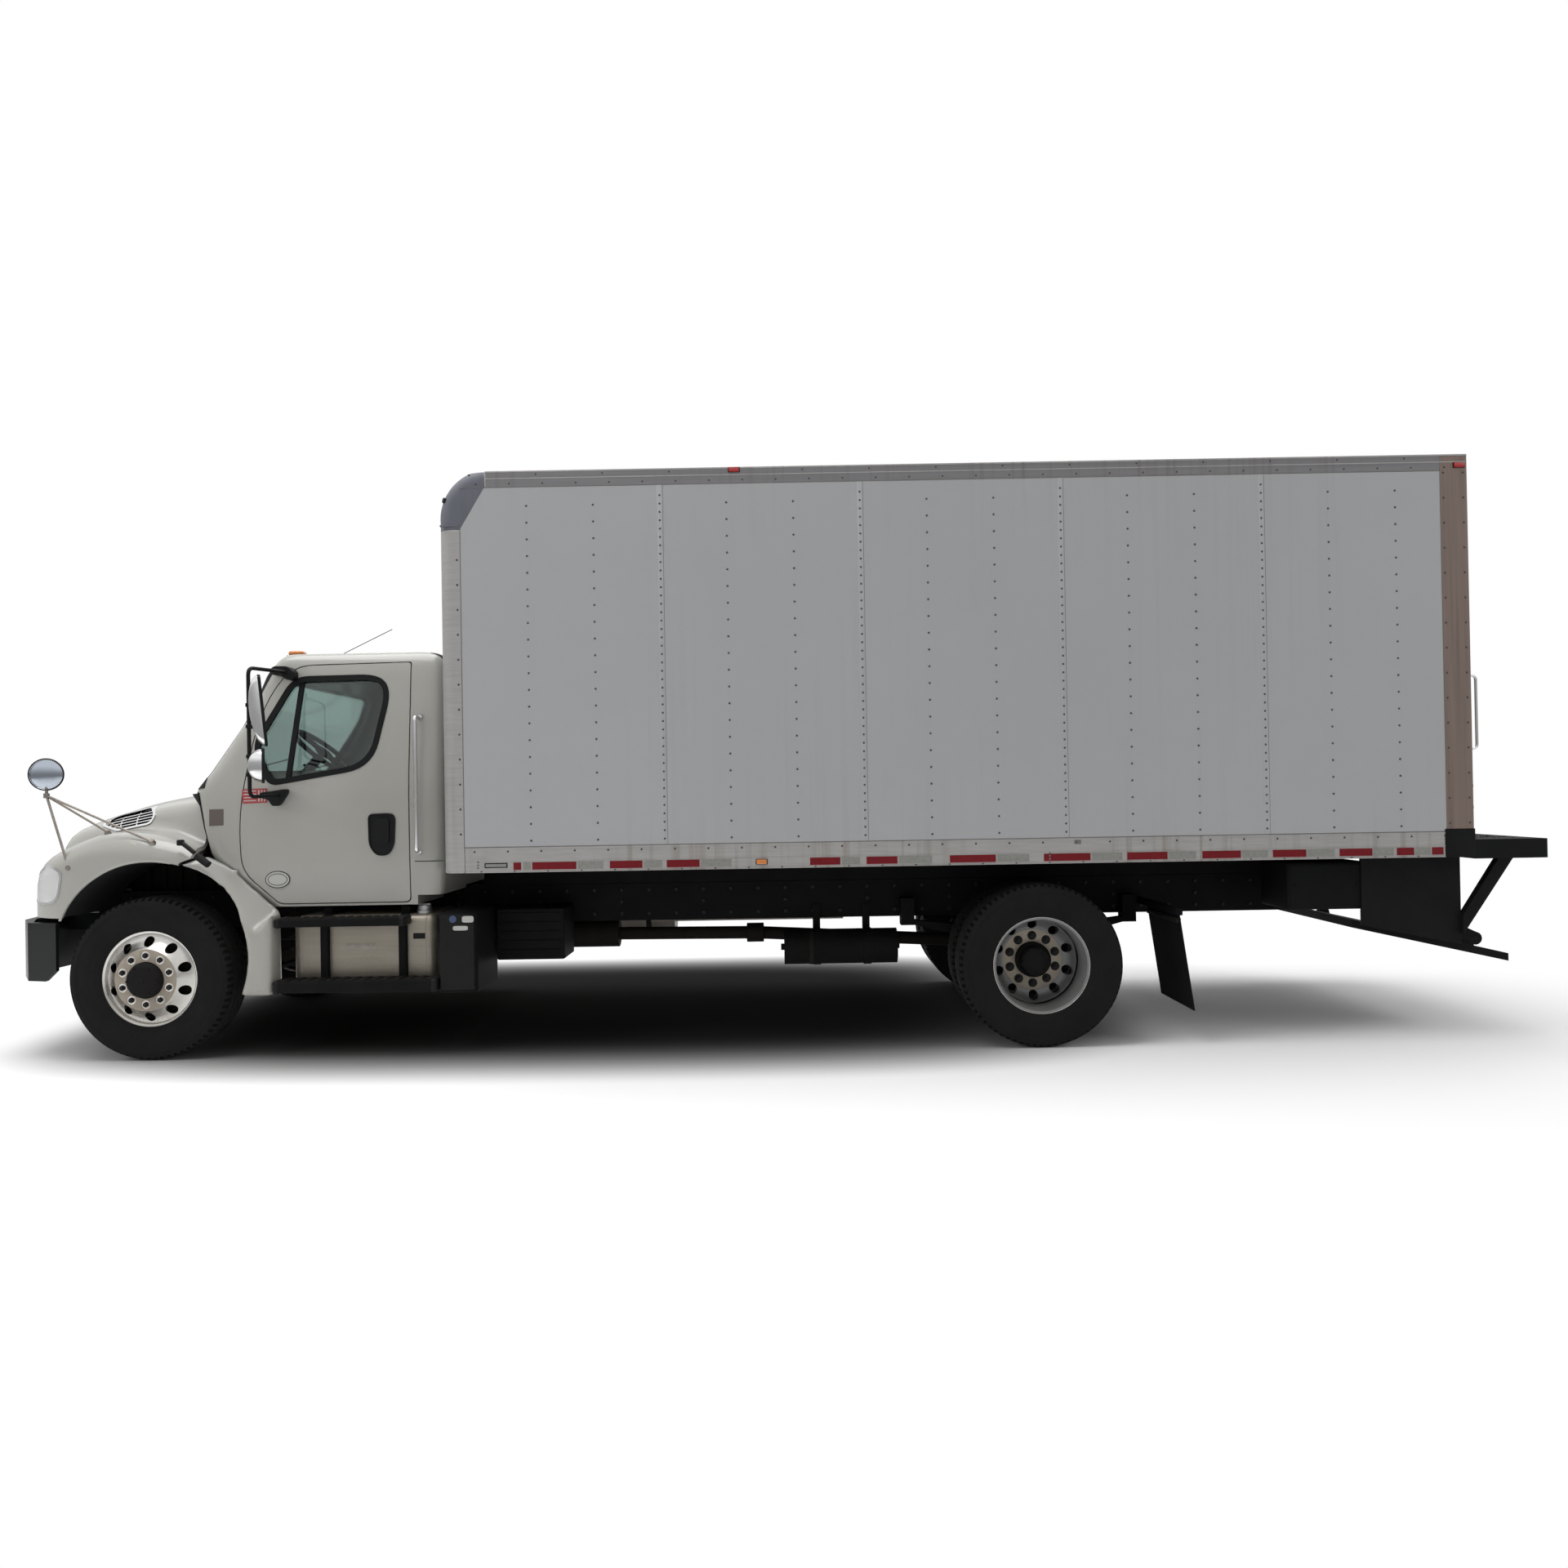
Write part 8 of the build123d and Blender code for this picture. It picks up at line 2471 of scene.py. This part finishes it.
    def exhaust(self) -> None:
        """Muffler straps, air-tank straps and mud-flap fixings."""
        dress("exhaust", Skin.steel)
        dress("air_tank", Skin.chassis)
        straps, bands, clamps = bmesh.new(), bmesh.new(), bmesh.new()
        for x in (-2.20, -2.85):
            disc(straps, (XF + x - 0.020, -0.700, 0.640), AHEAD, 0.139, 0.040, 48, edge=0.002)
            axle_block(straps, (x - 0.020, x + 0.020), (-0.715, -0.420), (0.765, 0.785), 0.004)
        piece("muffler_straps", straps, Skin.iron, angle=SOFT)
        for x in (-4.080, -4.460):
            disc(bands, (XF + x - 0.018, 0.505, 0.543), AHEAD, 0.119, 0.036, 48, edge=0.002)
        for x in (-3.885, -4.655):
            disc(bands, (XF + x - 0.012, 0.505, 0.543), AHEAD, 0.022, 0.024, 12)
        piece("air_tank_straps", bands, Skin.iron, angle=SOFT)
        softened("mud_flaps", Skin.rubber, 0.003, 1)
        for side in Side:
            axle_block(clamps, (-6.322, -6.296), side.span(0.610, 1.180), (0.742, 0.772), 0.003)
            for index in range(6):
                y = side.value * (0.650 + 0.098 * index)
                disc(clamps, (XF - 6.297, y, 0.757), (1.0, 0.0, 0.12), 0.010, 0.008, 6)
        piece("flap_clamps", clamps, Skin.iron, angle=SOFT)

    def build(self) -> None:
        """Build the running gear."""
        self.frame_bolts()
        self.springs()
        self.brakes()
        self.driveline()
        self.exhaust()


# ---------------------------------------------------------------- cab interior
@dataclass
class Interior:
    """Dash, steering wheel and seats. Places are from the front axle."""

    wheel: Triple = (XF - 0.772, 0.420, 1.895)

    def seats(self) -> None:
        """Seats with rounded cushions, piping and belts."""
        softened("seats", Skin.fabric, 0.030, 4, 50.0)
        bm = bmesh.new()
        for side in Side:
            s = side.value
            for across in (0.30, 0.56):
                tube(bm, [(XF - 1.385, s * across, 1.62), (XF - 1.425, s * across, 2.02)], 0.006, 6)
            tube(bm, [(XF - 1.50, s * 0.78, 2.10), (XF - 1.40, s * 0.74, 1.80),
                      (XF - 1.36, s * 0.70, 1.50)], 0.012, 8)
        piece("seat_piping", bm, Skin.trim_black)

    def dash(self) -> None:
        """Dash with a rounded top, an instrument binnacle, dials, vents and a column."""
        softened("dashboard", Skin.dash, 0.018, 3)
        dress("steering_wheel", Skin.trim_black)
        crown = cut(slab(from_axle([(-0.10, 1.60), (-0.16, 1.745), (-0.40, 1.752), (-0.56, 1.715),
                                    (-0.625, 1.655), (-0.625, 1.60)]), -0.93, 0.93),
                    [(CabForm().solid(0.058), "INTERSECT")])
        rounding(piece("dash_crown", crown, Skin.dash, angle=SOFT), 0.012, 3)
        hood = bmesh.new()
        axle_block(hood, (-0.640, -0.430), (0.230, 0.610), (1.640, 1.760), 0.035, 4)
        piece("binnacle", hood, Skin.dash, angle=SOFT)
        dials = bmesh.new()
        rims = bmesh.new()
        for y, z, radius in ((0.335, 1.700, 0.042), (0.505, 1.700, 0.042), (0.42, 1.715, 0.020),
                             (0.42, 1.672, 0.020)):
            disc(rims, (XF - 0.6385, y, z), (-1.0, 0.0, 0.0), radius, 0.006, 32, radius * 0.92)
            disc(dials, (XF - 0.6445, y, z), (-1.0, 0.0, 0.0), radius * 0.86, 0.001, 32)
        piece("dial_rims", rims, Skin.chrome)
        piece("dial_faces", dials, Skin.trim_black)
        vents = bmesh.new()
        for y in (0.76, 0.11, -0.11, -0.30, -0.76):
            for index in range(5):
                z = 1.555 + 0.014 * index
                axle_block(vents, (-0.628, -0.612), (y - 0.055, y + 0.055), (z, z + 0.005), 0.001, 1)
        for z in (1.470, 1.445, 1.420):
            axle_block(vents, (-0.627, -0.612), (-0.14, 0.10), (z, z + 0.012), 0.002, 1)
        piece("dash_vents", vents, Skin.trim_black)
        stalk = bmesh.new()
        x, y, z = self.wheel
        tube(stalk, [(x + 0.03, y, z - 0.03), (x + 0.22, y, z - 0.26)], 0.032, 16)
        tube(stalk, [(x + 0.08, y + 0.02, z - 0.10), (x + 0.05, y + 0.17, z - 0.08)], 0.008, 8)
        piece("steering_stalk", stalk, Skin.trim_black, angle=SOFT)

    def build(self) -> None:
        """Build the interior."""
        self.seats()
        self.dash()


# ---------------------------------------------------------------- lift
@dataclass
class Lift:
    """Tail lift's arms and platform, and the closed pump boxes beside them."""

    def build(self) -> None:
        """Build the lift's details."""
        softened("lift_arms", Skin.chassis, 0.004, 2)
        softened("lift_platform", Skin.deck, 0.004, 2)
        for side in Side:
            pump, lid = bmesh.new(), bmesh.new()
            axle_block(pump, (-7.500, -7.010), side.span(0.70, 1.096), (0.800, 1.095), 0.018, 3)
            piece(f"lift_pump_box_{side.word}", pump, Skin.chassis, angle=SOFT)
            axle_block(lid, (-7.480, -7.030), side.span(1.094, 1.099), (0.822, 1.075), 0.002, 1)
            for x in (-7.450, -7.060):
                disc(lid, (XF + x, side.value * 1.098, 0.950), (0.0, side.value, 0.0), 0.012, 0.006, 6)
            piece(f"lift_pump_lid_{side.word}", lid, Skin.chassis)


# ---------------------------------------------------------------- studio
@dataclass
class Studio:
    """Camera, lamps, floor and backdrop."""

    camera_place: Triple = (-0.16655, 7.95917, 1.58683)
    yaw: float = 0.179
    pitch: float = 0.377
    roll: float = 0.966
    lens: float = 25.457
    surround: float = 0.36
    # Painted shadow under the truck: its middle, half sizes and depth.
    shade_middle: Pair = (1.2, -0.5)
    shade_half: Pair = (3.3, 2.05)
    shade_depth: float = 0.975
    pale_reach: Pair = (2.2, 4.6)
    floor_oval: Triple = (0.55, 1.0, 1.0)
    floor_white: float = 0.96

    def camera(self) -> None:
        """Stand the camera at the truck's left side, level with the box's lower third."""
        data = bpy.data.cameras.new("camera")
        data.lens = self.lens
        data.sensor_width = 36.0
        data.clip_end = 200.0
        made = bpy.data.objects.new("camera", data)
        bpy.context.scene.collection.objects.link(made)
        level = Matrix(((-1.0, 0.0, 0.0), (0.0, 0.0, 1.0), (0.0, 1.0, 0.0)))
        turn = (Matrix.Rotation(math.radians(self.yaw), 3, "Z") @ level
                @ Matrix.Rotation(math.radians(self.pitch), 3, "X")
                @ Matrix.Rotation(math.radians(-self.roll), 3, "Z"))
        made.rotation_euler = turn.to_euler()
        made.location = self.camera_place
        bpy.context.scene.camera = made

    def lamp(self, name: str, place: Triple, aim: Triple, size: Pair, power: float,
             glossy: bool = True) -> None:
        """Hang a soft rectangular lamp.

        Args:
            name: its name.
            place: where it hangs.
            aim: the point that it faces.
            size: its width and height.
            power: its power in watts.
            glossy: whether reflections show it.
        """
        data = bpy.data.lights.new(name, "AREA")
        data.shape = "RECTANGLE"
        data.size, data.size_y = size
        data.energy = power
        made = bpy.data.objects.new(name, data)
        made.location = place
        made.visible_glossy = glossy
        made.rotation_euler = (Vector(aim) - Vector(place)).to_track_quat("-Z", "Y").to_euler()
        bpy.context.scene.collection.objects.link(made)

    def floor(self) -> None:
        """Lay a broad pale floor that keeps the truck's shadow, deepened under the truck by a painted
        shadow.
        """
        bm = bmesh.new()
        bmesh.ops.create_grid(bm, x_segments=1, y_segments=1, size=60.0)
        mesh = bpy.data.meshes.new("floor")
        bm.to_mesh(mesh)
        bm.free()
        floor = bpy.data.objects.new("floor", mesh)
        bpy.context.scene.collection.objects.link(floor)
        mesh.materials.append(self.floor_material())

    def floor_material(self) -> bpy.types.Material:
        """A pale floor, with a painted shadow under the truck, that turns into plain white away from the
        truck, as the camera sees it.

        Returns:
            The floor's material.
        """
        material = bpy.data.materials.new("pale_floor")
        material.use_nodes = True
        tree = material.node_tree
        shader = tree.nodes["Principled BSDF"]
        shader.inputs["Roughness"].default_value = 0.95
        shader.inputs["Specular IOR Level"].default_value = 0.0
        white = tree.nodes.new("ShaderNodeEmission")
        place = tree.nodes.new("ShaderNodeTexCoord").outputs["Object"]
        reach = tree.nodes.new("ShaderNodeVectorMath")
        reach.operation = "LENGTH"
        tree.links.new(stretched(tree, place, self.floor_oval), reach.inputs[0])
        away = smooth_range(tree, reach.outputs["Value"],
                            dict(zip(("From Min", "From Max"), self.pale_reach)))
        seen = direct_rays(tree)
        factor = math_node(tree, "MULTIPLY", away, seen)
        # Painted shadow: the floor's colour and glow darken under the truck.
        tone = self.floor_tone(tree, place, seen)
        tree.links.new(math_node(tree, "MULTIPLY", tone, self.floor_white), shader.inputs["Base Color"])
        tree.links.new(tone, white.inputs["Strength"])
        blend = tree.nodes.new("ShaderNodeMixShader")
        tree.links.new(factor, blend.inputs["Fac"])
        tree.links.new(shader.outputs["BSDF"], blend.inputs[1])
        tree.links.new(white.outputs["Emission"], blend.inputs[2])
        tree.links.new(blend.outputs["Shader"], tree.nodes["Material Output"].inputs["Surface"])
        return material

    def floor_tone(self, tree: bpy.types.NodeTree, place: Socket, seen: Socket) -> Socket:
        """Paint a shadow: deepen the floor's tone in a soft oval under the truck, for rays that show it
        directly.

        Args:
            tree: the floor's node tree.
            place: the socket with the floor's coordinates.
            seen: the socket that is 1 for rays that show the floor directly.

        Returns:
            The tone's socket, 1 on the open floor.
        """
        split = tree.nodes.new("ShaderNodeSeparateXYZ")
        tree.links.new(place, split.inputs[0])
        powers = []
        for label, middle, half in zip("XY", self.shade_middle, self.shade_half):
            along = math_node(tree, "DIVIDE", math_node(tree, "SUBTRACT", split.outputs[label], middle),
                              half)
            square = math_node(tree, "MULTIPLY", along, along)
            powers.append(math_node(tree, "MULTIPLY", square, square))
        edge = smooth_range(tree, math_node(tree, "ADD", powers[0], powers[1]),
                            {"From Min": 0.1, "From Max": 1.9, "To Min": self.shade_depth, "To Max": 0.0})
        return math_node(tree, "SUBTRACT", 1.0, math_node(tree, "MULTIPLY", edge, seen))

    def world(self) -> None:
        """A white surround, bright to the camera and in reflections, and softer as light."""
        world = bpy.data.worlds.new("surround")
        bpy.context.scene.world = world
        world.use_nodes = True
        tree = world.node_tree
        background = tree.nodes["Background"]
        ray = tree.nodes.new("ShaderNodeTexCoord").outputs["Generated"]
        split = tree.nodes.new("ShaderNodeSeparateXYZ")
        tree.links.new(ray, split.inputs[0])
        rise = smooth_range(tree, split.outputs["Z"],
                            {"From Min": -0.02, "From Max": 0.45, "To Min": 0.0, "To Max": 0.75})
        path = tree.nodes.new("ShaderNodeLightPath")
        glossy = math_node(tree, "MULTIPLY", path.outputs["Is Glossy Ray"], rise)
        seen = direct_rays(tree)
        extra = math_node(tree, "MAXIMUM", math_node(tree, "MULTIPLY", seen, 1.0 - self.surround), glossy)
        strength = math_node(tree, "ADD", extra, self.surround)
        background.inputs["Color"].default_value = (1.0, 1.0, 1.0, 1.0)
        tree.links.new(strength, background.inputs["Strength"])

    def build(self) -> None:
        """Set up the whole studio."""
        self.camera()
        self.lamp("sky_panel", (0.9, -0.4, 10.0), (0.6, 0.0, 1.0), (14.0, 7.0), 1250.0)
        self.lamp("front_panel", (12.0, 4.5, 6.5), (3.0, 0.0, 1.4), (6.0, 5.0), 520.0, False)
        self.lamp("back_panel", (-12.0, 4.0, 6.0), (-2.0, 0.0, 1.5), (7.0, 5.0), 420.0, False)
        self.lamp("far_panel", (0.0, -11.0, 5.0), (0.0, 0.0, 1.5), (9.0, 5.0), 330.0, False)
        self.floor()
        self.world()
        bpy.context.scene.view_settings.view_transform = "Standard"
        LOG.info("studio ready")


def main() -> None:
    """Build every sub-assembly in order, and log each."""
    logging.basicConfig(level=logging.INFO, format="%(message)s")
    Studio().build()
    Cab(CabForm()).build()
    Hood(HoodForm()).build()
    WheelSet().build()
    VanBody().build()
    SideMirrors().build()
    Cowl(CabForm()).build()
    Fittings().build()
    RunningGear().build()
    Interior().build()
    Lift().build()


if __name__ == "__main__":
    main()
